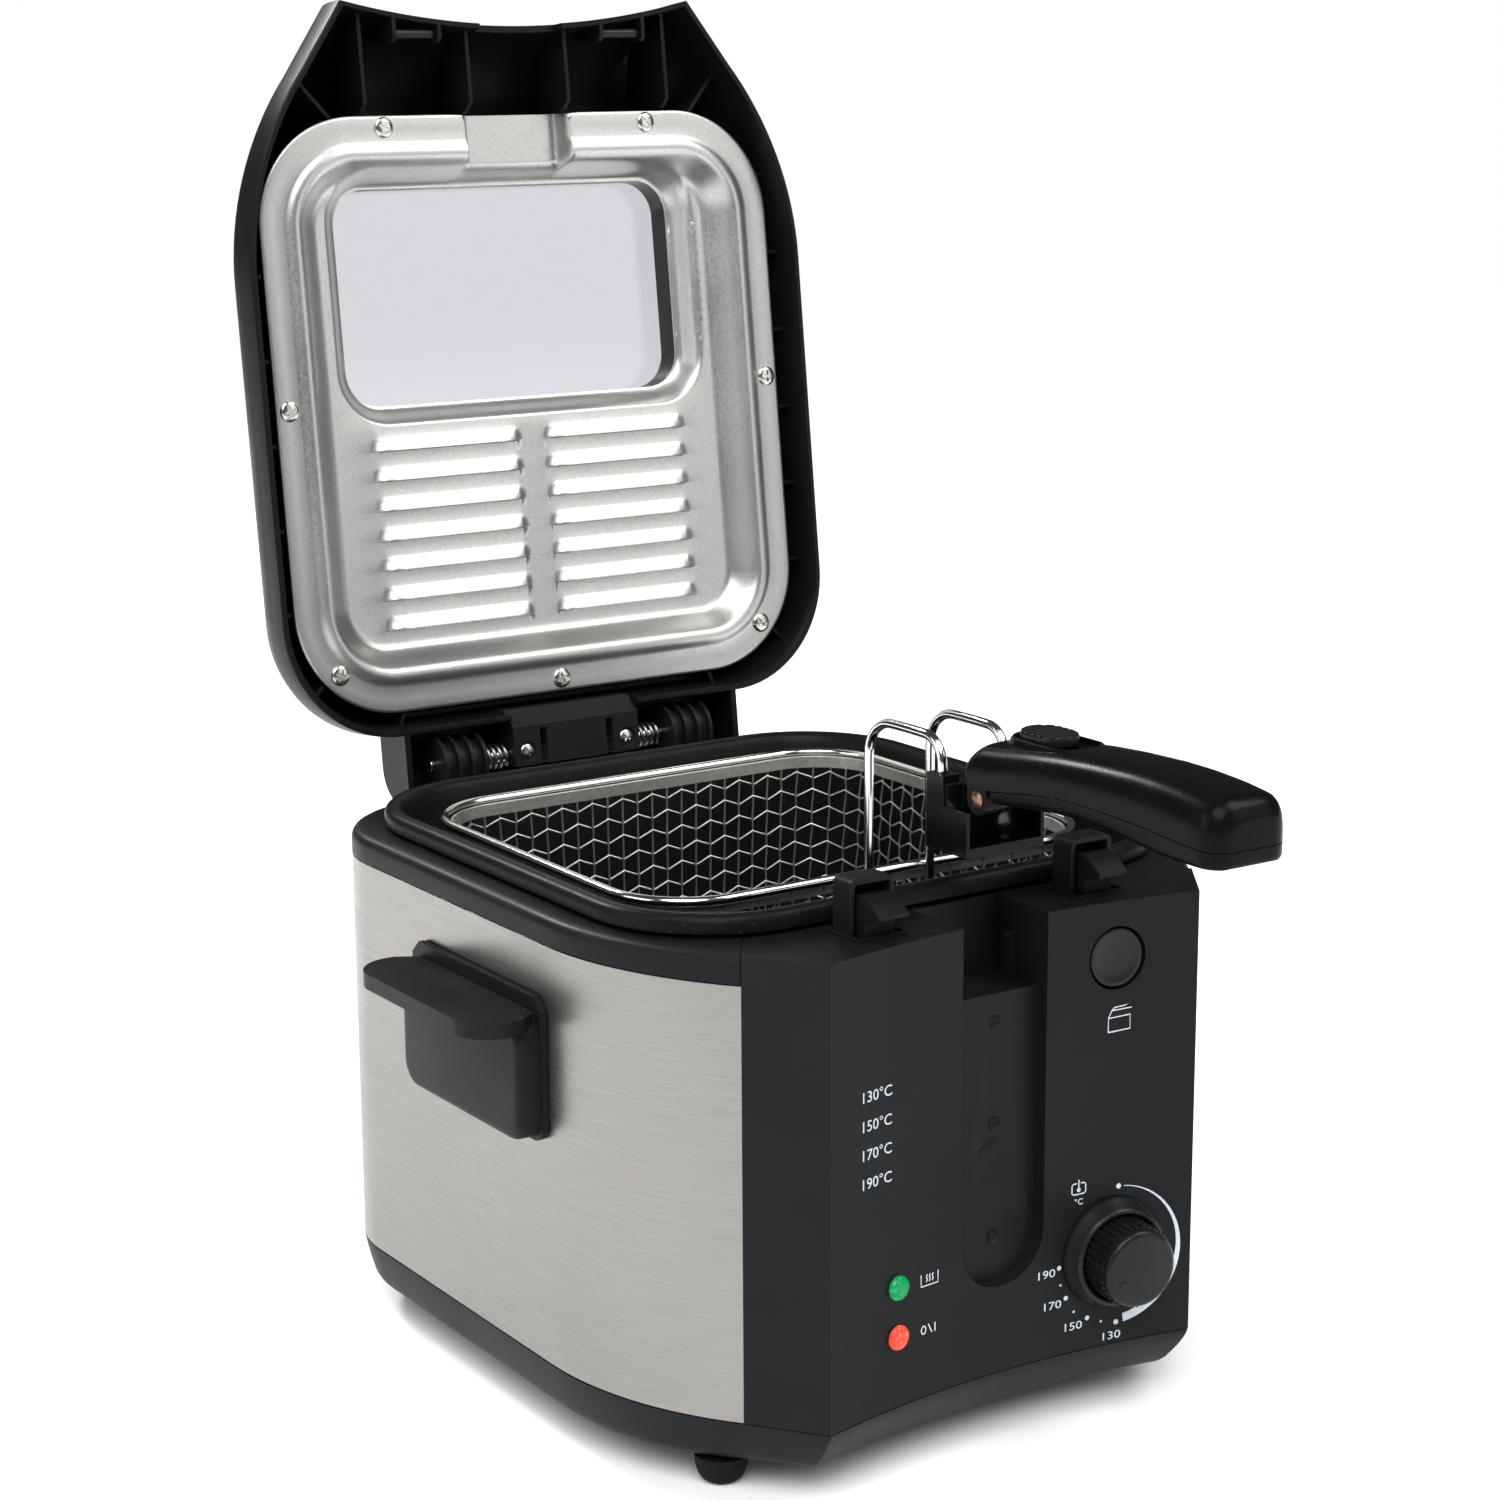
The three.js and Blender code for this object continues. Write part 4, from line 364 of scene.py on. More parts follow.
    def _solved(self, operation: str, others: Sequence["Form"]) -> "Form":
        """Runs exact solid operations one after another.

        Args:
            operation: DIFFERENCE, UNION or INTERSECT.
            others: The other solids.

        Returns:
            A new form.
        """
        objects = [shown("work", form.mesh("work")) for form in (self, *others)]
        for tool in objects[1:]:
            step = objects[0].modifiers.new("step", "BOOLEAN")
            step.operation, step.solver, step.object = operation, "EXACT", tool
        graph = bpy.context.evaluated_depsgraph_get()
        solved = objects[0].evaluated_get(graph).to_mesh()
        made = Form()
        made.points = [tuple(v.co) for v in solved.vertices]
        made.faces = [list(f.vertices) for f in solved.polygons]
        objects[0].evaluated_get(graph).to_mesh_clear()
        for done in objects:
            data = done.data
            bpy.data.objects.remove(done)
            bpy.data.meshes.remove(data)
        return made


def shown(name: str, data: Any) -> bpy.types.Object:
    """A new object in the scene.

    Args:
        name: Its name.
        data: Its mesh, curve, camera or light.

    Returns:
        The object.
    """
    made = bpy.data.objects.new(name, data)
    bpy.context.scene.collection.objects.link(made)
    return made


def srgb(tone: str) -> tuple[float, float, float, float]:
    """A hex colour as linear light.

    Args:
        tone: Six hex digits.

    Returns:
        Red, green, blue and alpha.
    """
    parts = [int(tone[i:i + 2], 16) / 255 for i in (0, 2, 4)]
    return (*(c / 12.92 if c <= 0.04045 else ((c + 0.055) / 1.055) ** 2.4 for c in parts), 1.0)


# ----- finishes
def add(tree: Tree, kind: str, inputs: Optional[Sockets] = None, **settings: Any) -> Any:
    """Adds a node, sets it and links it.

    Args:
        tree: The material's tree.
        kind: Node type without its ShaderNode prefix.
        inputs: What its sockets get.
        **settings: Properties of the node.

    Returns:
        The node.
    """
    made = tree.nodes.new("ShaderNode" + kind)
    for key, value in settings.items():
        setattr(made, key, value)
    for socket, value in (inputs or {}).items():
        if isinstance(value, bpy.types.NodeSocket):
            tree.links.new(value, made.inputs[socket])
        else:
            made.inputs[socket].default_value = value
    return made


@dataclass(frozen=True)
class Finish:
    """What every finish has: a name, its tone and how glossy it is.

    Patterns are sized in millimetres; a noise of scale 1000 / d on coordinates in metres has
    features about d millimetres apart.
    """

    name: str
    tone: str
    roughness: float = 0.5
    metallic: float = 0.0

    def material(self) -> bpy.types.Material:
        """The material, made once.

        Returns:
            The material.
        """
        known = bpy.data.materials.get(self.name)
        if known:
            return known
        made = bpy.data.materials.new(self.name)
        made.use_nodes = True
        tree = made.node_tree
        tree.nodes.clear()
        inputs = {"Base Color": srgb(self.tone), "Roughness": self.roughness, "Metallic": self.metallic}
        shader = add(tree, "BsdfPrincipled", {**inputs, **self.dress(tree)})
        add(tree, "OutputMaterial", {"Surface": shader.outputs[0]})
        return made

    def dress(self, tree: Tree) -> Sockets:
        """What the finish feeds its shader; each kind of finish adds its own."""
        return {}

    @staticmethod
    def grain(tree: Tree, spacing: float, detail: float = 2.0,
              stretch: Place = (1.0, 1.0, 1.0)) -> Any:
        """Noise on the piece's own coordinates.

        Args:
            tree: The material's tree.
            spacing: Distance between features, in millimetres.
            detail: Finer layers of noise.
            stretch: Factor on each axis.

        Returns:
            The noise node's value socket.
        """
        where = add(tree, "TexCoord")
        turned = add(tree, "Mapping", {"Vector": where.outputs["Object"], "Scale": stretch})
        made = add(tree, "TexNoise", {"Vector": turned.outputs[0], "Scale": 1000 / spacing, "Detail": detail})
        return made.outputs[0]

    @staticmethod
    def spread(tree: Tree, value: Any, low: float, high: float,
               from_low: float = 0.3, from_high: float = 0.7) -> Any:
        """A value spread between two limits."""
        return add(tree, "MapRange", {"Value": value, "From Min": from_low, "From Max": from_high,
                                      "To Min": low, "To Max": high}).outputs[0]

    @staticmethod
    def total(tree: Tree, first: Any, second: Any) -> Any:
        """Two values added."""
        return add(tree, "Math", {0: first, 1: second}, operation="ADD").outputs[0]

    @staticmethod
    def blended(tree: Tree, share: Any, first: str, second: str) -> Any:
        """Two hex tones mixed by a share."""
        made = add(tree, "Mix", {"Factor": share, "A": srgb(first), "B": srgb(second)}, data_type="RGBA")
        return made.outputs["Result"]

    @staticmethod
    def raised(tree: Tree, height: Any, depth: float, strength: float = 0.6) -> Any:
        """A bump of so many millimetres."""
        return add(tree, "Bump", {"Height": height, "Distance": depth * MM, "Strength": strength}).outputs[0]


@dataclass(frozen=True)
class MouldedPlastic(Finish):
    """Polypropylene or ABS from a spark-eroded mould: an even pebble that breaks up highlights."""

    pale: str = "1d1e20"
    pebble: float = 0.55  # millimetres; a finer real grain is drawn this coarse so that it shows
    depth: float = 0.02
    sheen: float = 0.13  # a spark-eroded skin scatters part of the reflection into its pits
    mottle: float = 38.0  # millimetres between faint patches

    def dress(self, tree: Tree) -> Sockets:
        """The pebble, faint mottling and uneven gloss.

        Args:
            tree: The material's tree.

        Returns:
            What the shader gets.
        """
        broad, fine = self.grain(tree, self.mottle, 3), self.grain(tree, self.pebble, 1)
        rough = self.spread(tree, broad, self.roughness - 0.04, self.roughness + 0.05)
        return {"Specular IOR Level": self.sheen,
                "Base Color": self.blended(tree, self.spread(tree, broad, 0, 0.5), self.tone, self.pale),
                "Roughness": self.total(tree, rough, self.spread(tree, fine, -0.05, 0.05)),
                "Normal": self.raised(tree, fine, self.depth)}


@dataclass(frozen=True)
class BrushedSteel(Finish):
    """Stainless sheet brushed along its length: fine level lines and a stretched highlight."""

    pale: str = "94928e"
    line: float = 0.26  # millimetres between brush lines, coarser than real ones so that they show
    cloud: float = 70.0  # millimetres between broad patches of gloss
    stretch: Place = (0.012, 0.012, 1.0)  # brush lines run level, over 80 times as long as wide

    def dress(self, tree: Tree) -> Sockets:
        """Brush lines in tone, gloss and height, and broad cloudiness.

        Args:
            tree: The material's tree.

        Returns:
            What the shader gets.
        """
        lines, cloud = self.grain(tree, self.line, 2, self.stretch), self.grain(tree, self.cloud, 2)
        rough = self.spread(tree, lines, self.roughness + 0.05, self.roughness - 0.04)
        around = add(tree, "Tangent", direction_type="RADIAL", axis="Z")
        return {"Base Color": self.blended(tree, self.spread(tree, lines, 0, 1), self.tone, self.pale),
                "Roughness": self.total(tree, rough, self.spread(tree, cloud, -0.02, 0.02)),
                "Normal": self.raised(tree, lines, 0.003, 0.3),
                "Anisotropic": 0.6, "Tangent": around.outputs[0]}


@dataclass(frozen=True)
class StampedAluminium(Finish):
    """Soft aluminium sheet after pressing: a satin skin with a pale fleck from the rolling mill."""

    pale: str = "c8c7c4"
    fleck: float = 0.9
    cloud: float = 45.0

    def dress(self, tree: Tree) -> Sockets:
        """Flecks, cloudiness and a slight orange peel.

        Args:
            tree: The material's tree.

        Returns:
            What the shader gets.
        """
        fleck, cloud = self.grain(tree, self.fleck, 4), self.grain(tree, self.cloud, 3)
        rough = self.spread(tree, fleck, self.roughness + 0.06, self.roughness - 0.06)
        return {"Base Color": self.blended(tree, self.spread(tree, fleck, 0, 1), self.tone, self.pale),
                "Roughness": self.total(tree, rough, self.spread(tree, cloud, -0.04, 0.04)),
                "Normal": self.raised(tree, fleck, 0.006, 0.4)}


@dataclass(frozen=True)
class BareMetal(Finish):
    """Plated or drawn metal: a bright skin with faint draw marks."""

    draw: float = 0.5

    def dress(self, tree: Tree) -> Sockets:
        """Uneven gloss along the draw."""
        marks = self.grain(tree, self.draw, 2, (1.0, 1.0, 0.2))
        return {"Roughness": self.spread(tree, marks, self.roughness - 0.03, self.roughness + 0.06)}


@dataclass(frozen=True)
class NonStickCoating(Finish):
    """Sprayed non-stick coating on a deep-drawn pot: dark, half-gloss, with mineral specks."""

    mineral: str = "242321"
    speck: float = 0.9
    peel: float = 1.8

    def dress(self, tree: Tree) -> Sockets:
        """Specks and the spray's faint orange peel.

        Args:
            tree: The material's tree.

        Returns:
            What the shader gets.
        """
        peel, speck = self.grain(tree, self.peel, 2), self.grain(tree, self.speck, 0)
        share = self.spread(tree, speck, 0, 1, 0.68, 0.78)
        return {"Specular IOR Level": 0.09, "Base Color": self.blended(tree, share, self.tone, self.mineral),
                "Roughness": self.spread(tree, peel, self.roughness - 0.05, self.roughness + 0.05),
                "Normal": self.raised(tree, peel, 0.008, 0.4)}


@dataclass(frozen=True)
class ClearGlass(Finish):
    """Flat tempered glass: clear, with the faint cool tint of its thickness."""

    smear: float = 55.0

    def dress(self, tree: Tree) -> Sockets:
        """Transmission, and a little smear in the gloss."""
        return {"Transmission Weight": 1.0, "IOR": 1.46,
                "Roughness": self.spread(tree, self.grain(tree, self.smear, 3), 0.01, 0.05)}


@dataclass(frozen=True)
class LampLens(Finish):
    """Dyed polycarbonate lens over a small lamp: deep colour, lit from inside, cut with facets."""

    pale: str = "ffffff"
    glow: float = 0.6
    facet: float = 1.9

    def dress(self, tree: Tree) -> Sockets:
        """The facets and a glow that is strongest in the middle of each.

        Args:
            tree: The material's tree.

        Returns:
            What the shader gets.
        """
        where = add(tree, "TexCoord").outputs["Object"]
        facets = add(tree, "TexVoronoi", {"Vector": where, "Scale": 1000 / self.facet}).outputs["Distance"]
        near = self.spread(tree, facets, 1.0, 0.25, 0.0, 0.5)
        return {"Emission Color": self.blended(tree, near, self.tone, self.pale), "Emission Strength": self.glow,
                "Normal": self.raised(tree, facets, 0.3, 0.8), "Specular IOR Level": 0.3}


@dataclass(frozen=True)
class PrintedInk(Finish):
    """Pad-printed ink: pale and matt, a little thin where the pad lifted."""

    thin: str = "9aa2a8"
    patch: float = 0.8

    def dress(self, tree: Tree) -> Sockets:
        """The thin spots."""
        share = self.spread(tree, self.grain(tree, self.patch, 2), 0, 1, 0.55, 0.8)
        return {"Base Color": self.blended(tree, share, self.tone, self.thin)}


@dataclass(frozen=True)
class MattFloor(Finish):
    """Matt seamless paper: no gloss at all, so that its far edge melts into the background."""

    def dress(self, tree: Tree) -> Sockets:
        """Takes the gloss away."""
        return {"Specular IOR Level": 0.0}


class Finishes:
    """The finishes of the fryer, each made from what the real one is."""

    housing = MouldedPlastic("moulded_black_plastic", "131416", 0.42, sheen=0.11)
    base = MouldedPlastic("moulded_base_plastic", "151618", 0.46)
    satin = MouldedPlastic("satin_black_plastic", "141517", 0.32, pebble=0.4, depth=0.01, sheen=0.24)
    grip = MouldedPlastic("handle_plastic", "09090b", 0.25, pale="0e0f10", pebble=0.45, depth=0.006, sheen=0.075)
    hook = MouldedPlastic("glass_filled_nylon", "101011", 0.5, pale="1e1e20", pebble=0.7, depth=0.03)
    lid = MouldedPlastic("lid_plastic", "0c0d0e", 0.36, pale="141516", pebble=0.5, depth=0.01)
    gloss = MouldedPlastic("polished_black_plastic", "070708", 0.16, pale="0d0d0e", pebble=0.9, depth=0.003)
    wrap = BrushedSteel("brushed_stainless_sheet", "8c8a86", 0.3, 1.0)
    liner = StampedAluminium("stamped_aluminium", "bab9b7", 0.36, 1.0)
    wire = BareMetal("plated_wire", "d8d8d6", 0.12, 1.0)
    net = BareMetal("drawn_wire", "c4c2be", 0.34, 1.0)
    hem = StampedAluminium("crimped_hem", "dedbd3", 0.5, 1.0, fleck=1.6)
    rivet = BareMetal("bronze_rivet", "94705a", 0.3, 1.0)
    screw = BareMetal("nickel_plated_screw", "cfcdc8", 0.2, 1.0)
    spring = BareMetal("spring_steel", "8f8e8c", 0.3, 1.0)
    pot = NonStickCoating("non_stick_coating", "121110", 0.4)
    glass = ClearGlass("tempered_glass", "d0d0d5", 0.02)
    green = LampLens("green_lens", "005c2c", 0.15, pale="06e88a", glow=0.66)
    red = LampLens("red_lens", "c4201a", 0.15, pale="ffa880", glow=0.56)
    rubber = MouldedPlastic("foot_rubber", "101011", 0.75, pale="1a1a1a", pebble=0.8, depth=0.03)
    ink = PrintedInk("pad_printed_ink", "c6ced4", 0.5)
    felt = MouldedPlastic("charcoal_felt", "202020", 0.95, pale="3a3a3a", pebble=0.9, depth=0.3)
    case = BareMetal("plated_case", "8a8b8b", 0.35, 1.0)
    floor = MattFloor("pale_floor", "f6f6f7", 0.6)


# ----- making pieces
def make(form: Form, name: str, body: Body, finish: Finish, replaced: Sequence[str] = (),
         edge: float = 0.0, segments: int = 2, crease: float = 32.0,
         place: Matrix = Matrix()) -> bpy.types.Object:
    """Turns a form into a finished piece of the model.

    Args:
        form: The form, in millimetres.
        name: Name of the piece.
        body: The body it moves with.
        finish: Its finish.
        replaced: Frame nodes it stands for.
        edge: Width of the rounding on sharp edges, in millimetres.
        segments: Steps of that rounding.
        crease: Edges sharper than this many degrees stay crisp.
        place: Where the form is put, in millimetres; for the lid's pieces, while it is shut.

    Returns:
        The object.
    """
    spot = LID_OPEN @ place if body is Body.LID else place
    moved = form.placed(spot).placed(put_at((0, SHIFT_Y, 0)))
    made = shown(name, moved.mesh(name, MM))
    made.data.shade_smooth()
    made.data.set_sharp_from_angle(angle=radians(crease))
    made.data.materials.append(finish.material())
    if edge:
        rounding = made.modifiers.new("edges", "BEVEL")
        rounding.width, rounding.segments = edge * MM, segments
        rounding.limit_method, rounding.angle_limit = "ANGLE", radians(crease)
        rounding.harden_normals = True
        rounding.miter_outer = "MITER_ARC"
    if replaced:
        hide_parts(*replaced)
    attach(made, body.value)
    LOG.info("%s: %d faces on %s", name, len(made.data.polygons), body.value)
    return made


def dress_node(node: str, finish: Finish) -> None:
    """Gives a frame node that keeps its own shape a finish.

    Args:
        node: Name of the node.
        finish: Its finish.
    """
    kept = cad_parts[node]
    kept.data.materials.clear()
    kept.data.materials.append(finish.material())
    for face in kept.data.polygons:
        face.material_index = 0
    LOG.info("%s keeps its own shape", node)


# ----- the housing's plan
@dataclass
class Plan:
    """The housing seen from above: steel sides and back, a hollow front face."""

    half_width: float = 123.0
    half_depth: float = 138.0
    front_dip: float = 9.0
    corner_x: float = 77.2
    seam_y: float = -114.0
    side_radius: float = 120.0
    side_y: float = -37.0
    back_radius: float = 46.0
    control_x: float = 46.0
    blend: float = 45.0  # length over which the front's inset runs out along the sides
    panel_x: float = 80.0
    panel_back: float = -93.0

    @property
    def front_radius(self) -> float:
        """Radius of the hollow front face."""
        return (self.corner_x ** 2 + self.front_dip ** 2) / (2 * self.front_dip)

    @property
    def front_centre(self) -> float:
        """y of the centre of the front face's arc."""
        return -self.half_depth + self.front_dip - self.front_radius

    @property
    def seam_x(self) -> float:
        """x of the joint between steel and panel."""
        reach = sqrt(self.side_radius ** 2 - (self.seam_y - self.side_y) ** 2)
        return self.half_width - self.side_radius + reach

    @property
    def tilt(self) -> float:
        """Turn of the face at the controls, in radians."""
        return asin(self.control_x / self.front_radius)

    def front_at(self, x: float) -> float:
        """y of the front face at x."""
        return self.front_centre + sqrt(self.front_radius ** 2 - x * x)

    def front(self, steps: int = 36) -> Outline:
        """The front face from left to right."""
        half = degrees(asin(self.corner_x / self.front_radius))
        return arc(0, self.front_centre, self.front_radius, 90 + half, 90 - half, steps)

    def wrap(self) -> Outline:
        """The steel's line, from the right joint round the back to the left one.

        Returns:
            The line.
        """
        start = degrees(asin((self.seam_y - self.side_y) / self.side_radius))
        r = self.back_radius
        right = (arc(self.half_width - self.side_radius, self.side_y, self.side_radius, start, 0, 16)
                 + arc(self.half_width - r, self.half_depth - r, r, 0, 90, 18))
        return right + [(-x, y) for x, y in reversed(right)]

    def outline(self) -> Outline:
        """The whole outline."""
        return self.front() + self.wrap()

    def drawn_in(self, inset: float, front: Optional[float] = None) -> Outline:
        """The outline drawn towards the middle.

        Args:
            inset: How far at the sides and back.
            front: How far at the front; the same by default.

        Returns:
            The smaller outline.
        """
        ahead = inset if front is None else front
        made: Outline = []
        for x, y in self.outline():
            share = eased((-y + self.seam_y + self.blend) / (self.half_depth + self.seam_y + self.blend))
            depth = inset + (ahead - inset) * share if y < 0 else inset
            made.append((x * (1 - inset / self.half_width), y * (1 - depth / self.half_depth)))
        return made

    def panel(self, gap: float = 0.0) -> Outline:
        """The panel's footprint, or with a gap the room that it needs in its neighbours.

        Args:
            gap: Clearance round the panel.

        Returns:
            The footprint.
        """
        x, y, back = self.seam_x, self.seam_y, self.panel_back + gap
        rise = (x - self.panel_x) / (y - back)
        if gap:
            edge = x + gap
            ahead = [(-edge, y), (-edge, -200), (edge, -200), (edge, y)]
        else:
            ahead = [(-x, y), *self.front(), (x, y)]
        reach = self.panel_x + gap * (1 + rise)
        return [*ahead, (reach, back), (-reach, back)]

    def on_face(self, side: int, z: float, proud: float = 0.0) -> Matrix:
        """Where a part that faces +Z goes so that it stands square on the front face.

        Args:
            side: -1 for the left controls, 1 for the right.
            z: Height.
            proud: Distance in front of the face.

        Returns:
            The placing matrix.
        """
        x = side * self.control_x
        turn = Matrix.Rotation(-side * self.tilt, 4, "Z") @ Matrix.Rotation(radians(90), 4, "X")
        spot = (x - side * proud * sin(self.tilt), self.front_at(x) - proud * cos(self.tilt), z)
        return Matrix.Translation(spot) @ turn


PLAN = Plan()


@dataclass
class Pot:
    """The deep-drawn pot and its rolled rim."""

    cy: float = 14.5
    half_x: float = 114.0
    half_y: float = 115.5
    radius: float = 48.0
    rim_top: float = 196.0
    rim_height: float = 7.0
    rim_width: float = 7.5
    floor: float = 52.0
    sheet: float = 1.6
    taper: float = 6.0

    def _ring(self, inset: float) -> Outline:
        """The pot's outline drawn in."""
        return round_rect(self.half_x - inset, self.half_y - inset, self.radius - inset, self.cy, 18)

    def hole(self) -> Form:
        """The hole that the pot hangs in."""
        return Form().prism(self._ring(self.rim_width - SEAM), 160, 200)

    def build(self) -> None:
        """Builds the pot."""
        wall, low, top = self.rim_width, self.floor, self.rim_top
        lip = top - self.rim_height
        over = [(wall + 0.1, top - 3.2), (wall - 0.6, top - 1.4), (wall - 2, top - 0.3), (wall - 3.4, top),
                (3.0, top), (1.7, top - 0.35), (0.6, top - 1.4), (0.05, top - 3.2), (0.3, lip + 0.8), (1.6, lip)]
        inside = self.taper + wall + self.sheet
        outside = self.taper + wall
        profile = [(inside + 14, low), (inside + 8, low + 0.7), (inside + 3, low + 3.4),
                   (inside + 0.8, low + 7.5), (inside, low + 13), (wall + self.sheet, lip), *over,
                   (wall, lip), (outside, low + 12), (outside + 0.8, low + 6),
                   (outside + 3, low + 1.6), (outside + 8, low - 1), (outside + 14, low - 1.6)]
        loops = [at_height(self._ring(inset), z) for inset, z in profile]
        make(Form().loft(loops), "pot", Body.HOUSING, Finishes.pot, ["inner_pot"], crease=50)


@dataclass
class Housing:
    """The cool-wall housing: base tray, steel wrap, top ring, control panel and feet."""

    foot_height: float = 10.0
    base_top: float = 28.0
    wrap_top: float = 178.4
    top: float = 188.0
    wall: float = 2.5
    sheet: float = 0.8
    side_inset: float = 4.0
    front_inset: float = 14.0
    channel_half: float = 17.8
    channel_y: float = -124.0
    shelf: float = 161.5
    channel_bottom: float = 59.3
    recess_y: float = -101.3
    thumb_dish: Place = (103.4, 7.5, 0.17)  # height, radius and relative depth
    sink_marks: Place = (151.5, 116.0, 75.5)  # heights
    foot_x: float = 91.0
    foot_y: Flat = (-94.0, 100.0)
    pot: Pot = field(default_factory=Pot)

    def build(self) -> None:
        """Builds every fixed part of the housing."""
        self._base()
        self._wrap()
        self._ring()
        self._panel()
        self._feet()
        self.pot.build()
        for node, finish in (("heating_element", Finishes.spring), ("thermostat", Finishes.case),
                             ("cord_gland", Finishes.rubber)):
            dress_node(node, finish)

    def _base(self) -> None:
        """The base tray, drawn in towards the floor, most at the front."""
        low, rise = self.foot_height, self.base_top - self.foot_height
        rounding = [(0.0, 5.5), (0.5, 3.2), (1.4, 1.4), (2.6, 0.5), (4.4, 0.0)]
        steps = rounding + [(4.4 + (rise - 4.4) * (k / 6), 0.0) for k in range(1, 7)]

        def level(share: float, more: float, z: float) -> Loop:
            """The tray's outline at a height, with a share of its inset and some more."""
            return at_height(PLAN.drawn_in(self.side_inset * share + more, self.front_inset * share + more), z)

        outer = [level(max(1 - lift / rise, 0.0) ** 1.3, off, low + lift) for lift, off in steps]
        wall = self.wall + 0.4
        inner = [level(1.0, wall, low + 4), level(0.55, wall, low + 9), level(0.0, wall, self.base_top + 2)]
        tray = Form().loft(outer).cut(Form().loft(inner))
        vents = [Form().prism(stadium(2, 42, 0, 6), -2, low + 8).placed(put_at((0, k * 11, 0), 90))
                 for k in range(-4, 5)]
        make(tray.cut(*vents), "base_tray_shell", Body.HOUSING, Finishes.base, ["base_tray"], edge=0.35, crease=34)

    def _wrap(self) -> None:
        """The steel wrap, one sheet bent round the sides and back."""
        line = PLAN.wrap()
        band = line + moved_in(line, self.sheet)[::-1]
        z0, z1 = self.base_top + SEAM, self.wrap_top - SEAM
        make(Form().prism(band, z0, z1), "steel_sheet", Body.HOUSING, Finishes.wrap, ["steel_wrap"],
             edge=0.25, crease=50)

    def _ring(self) -> None:
        """The top ring, with a stepped shoulder and the pot's seat."""
        levels = [(0.0, self.wrap_top), (0.0, 184.2), (0.35, 185.6), (1.1, 186.8), (2.3, 187.6), (4.2, self.top)]
        ring = Form().loft([at_height(PLAN.drawn_in(i), z) for i, z in levels])
        lip = Form().loft([at_height(PLAN.drawn_in(2.0), z) for z in (self.wrap_top - 8, self.wrap_top + 1)])
        ring = ring.fused(lip).cut(self.pot.hole(), Form().prism(PLAN.panel(SEAM), 160, 200))
        seat = Form().box((-67, 67), (126, 146.5), (self.wrap_top + 0.4, 183.6))
        make(ring.fused(seat.cut(self.pot.hole())), "top_ring_shell", Body.HOUSING, Finishes.housing, ["top_ring"],
             edge=0.4, crease=38)

    def _channel(self, half: float, top: float, bottom: float) -> Outline:
        """The handle channel's outline in (x, z)."""
        return [*arc(0, bottom + half, half, 180, 360, 36), (half, top), (-half, top)]

    def _panel(self) -> None:
        """The control panel: two towers with the handle channel between them."""
        bottom = self.base_top + SEAM
        body = Form().prism(PLAN.panel(), bottom, self.top)
        ahead = moved_in([(-PLAN.seam_x, PLAN.seam_y), *PLAN.front(), (PLAN.seam_x, PLAN.seam_y)], self.wall + 0.5)
        cavity = Form().prism([*ahead, (PLAN.seam_x, -60), (-PLAN.seam_x, -60)], bottom - 1, self.top - self.wall)
        half, wall = self.channel_half, self.wall
        casing = Form().bar_y(self._channel(half + wall, self.shelf, self.channel_bottom - wall), -128,
                              self.channel_y + wall)
        back = Form().box((-half - wall, half + wall), (-128, self.recess_y + wall), (self.shelf - wall, self.top))
        line = PLAN.wrap()
        room = Form().prism([*moved_in(line, -3), *moved_in(line, self.sheet + SEAM)[::-1]], bottom - 1,
                            self.wrap_top)
        shell = body.cut(cavity).fused(casing, back)
        channel = Form().bar_y(self._channel(half, self.shelf + 1, self.channel_bottom), -160, self.channel_y)
        recess = Form().box((-half, half), (-160, self.recess_y), (self.shelf, self.top + 5))
        shell = shell.cut(channel, recess, room, self.pot.hole(), self._dimple(*self.thumb_dish))
        shell = shell.cut(*(self._dimple(z, 2.6, 0.5) for z in self.sink_marks), *self._bores())
        rib = Form().box((15.6, half + 0.5), (-112, -108), (self.shelf - 1, 178))
        cap = Form().box((13.4, half + 0.5), (-112, -110), (176, 178))
        shell = shell.fused(rib, cap, *self._collars())
        make(shell, "control_panel_shell", Body.HOUSING, Finishes.housing, ["control_panel"], edge=0.45, crease=30)

    def _dimple(self, z: float, radius: float, depth: float) -> Form:
        """A round hollow in the channel's plate.

        Args:
            z: Height of its middle.
            radius: Radius at the surface.
            depth: Depth as a share of the radius.

        Returns:
            The tool that cuts it.
        """
        sag = radius * depth
        ball = (radius ** 2 + sag ** 2) / (2 * sag)
        turn = degrees(asin(min(radius / ball, 1.0))) + 12
        cap = [(0.0, -ball), *arc(0, 0, ball, -90 + turn / 10, -90 + turn, 9)]
        tool = Form().turned([*cap, (0.0, cap[-1][1] + 0.01)], 32)
        return tool.placed(put_at((0, self.channel_y + sag - ball, z), 90, "X"))

    def _bores(self) -> list[Form]:
        """Holes for the knob's shaft, the button and the lamps.

        Returns:
            The drills.
        """
        drill = [(1, 62.5, 4.0), (1, 168.0, 11.2), (-1, 70.6, 3.5), (-1, 53.1, 3.5)]
        return [Form().turned([(0, -14), (r, -14), (r, 12), (0, 12)], 48).placed(PLAN.on_face(side, z))
                for side, z, r in drill]

    def _collars(self) -> list[Form]:
        """The raised frames round the latches.

        Returns:
            The frames.
        """
        made = []
        for side, _ in SIDES:
            outer, inner = (Form().prism([(x + side * PLAN.control_x, y) for x, y in round_rect(*sizes, -114.7, 5)],
                                         self.top - low, self.top + high)
                            for sizes, low, high in (((10.5, 9.2, 1.6), 1, 1.2), ((9.2, 7.9, 1.0), 2, 2)))
            made.append(outer.cut(inner))
        return made

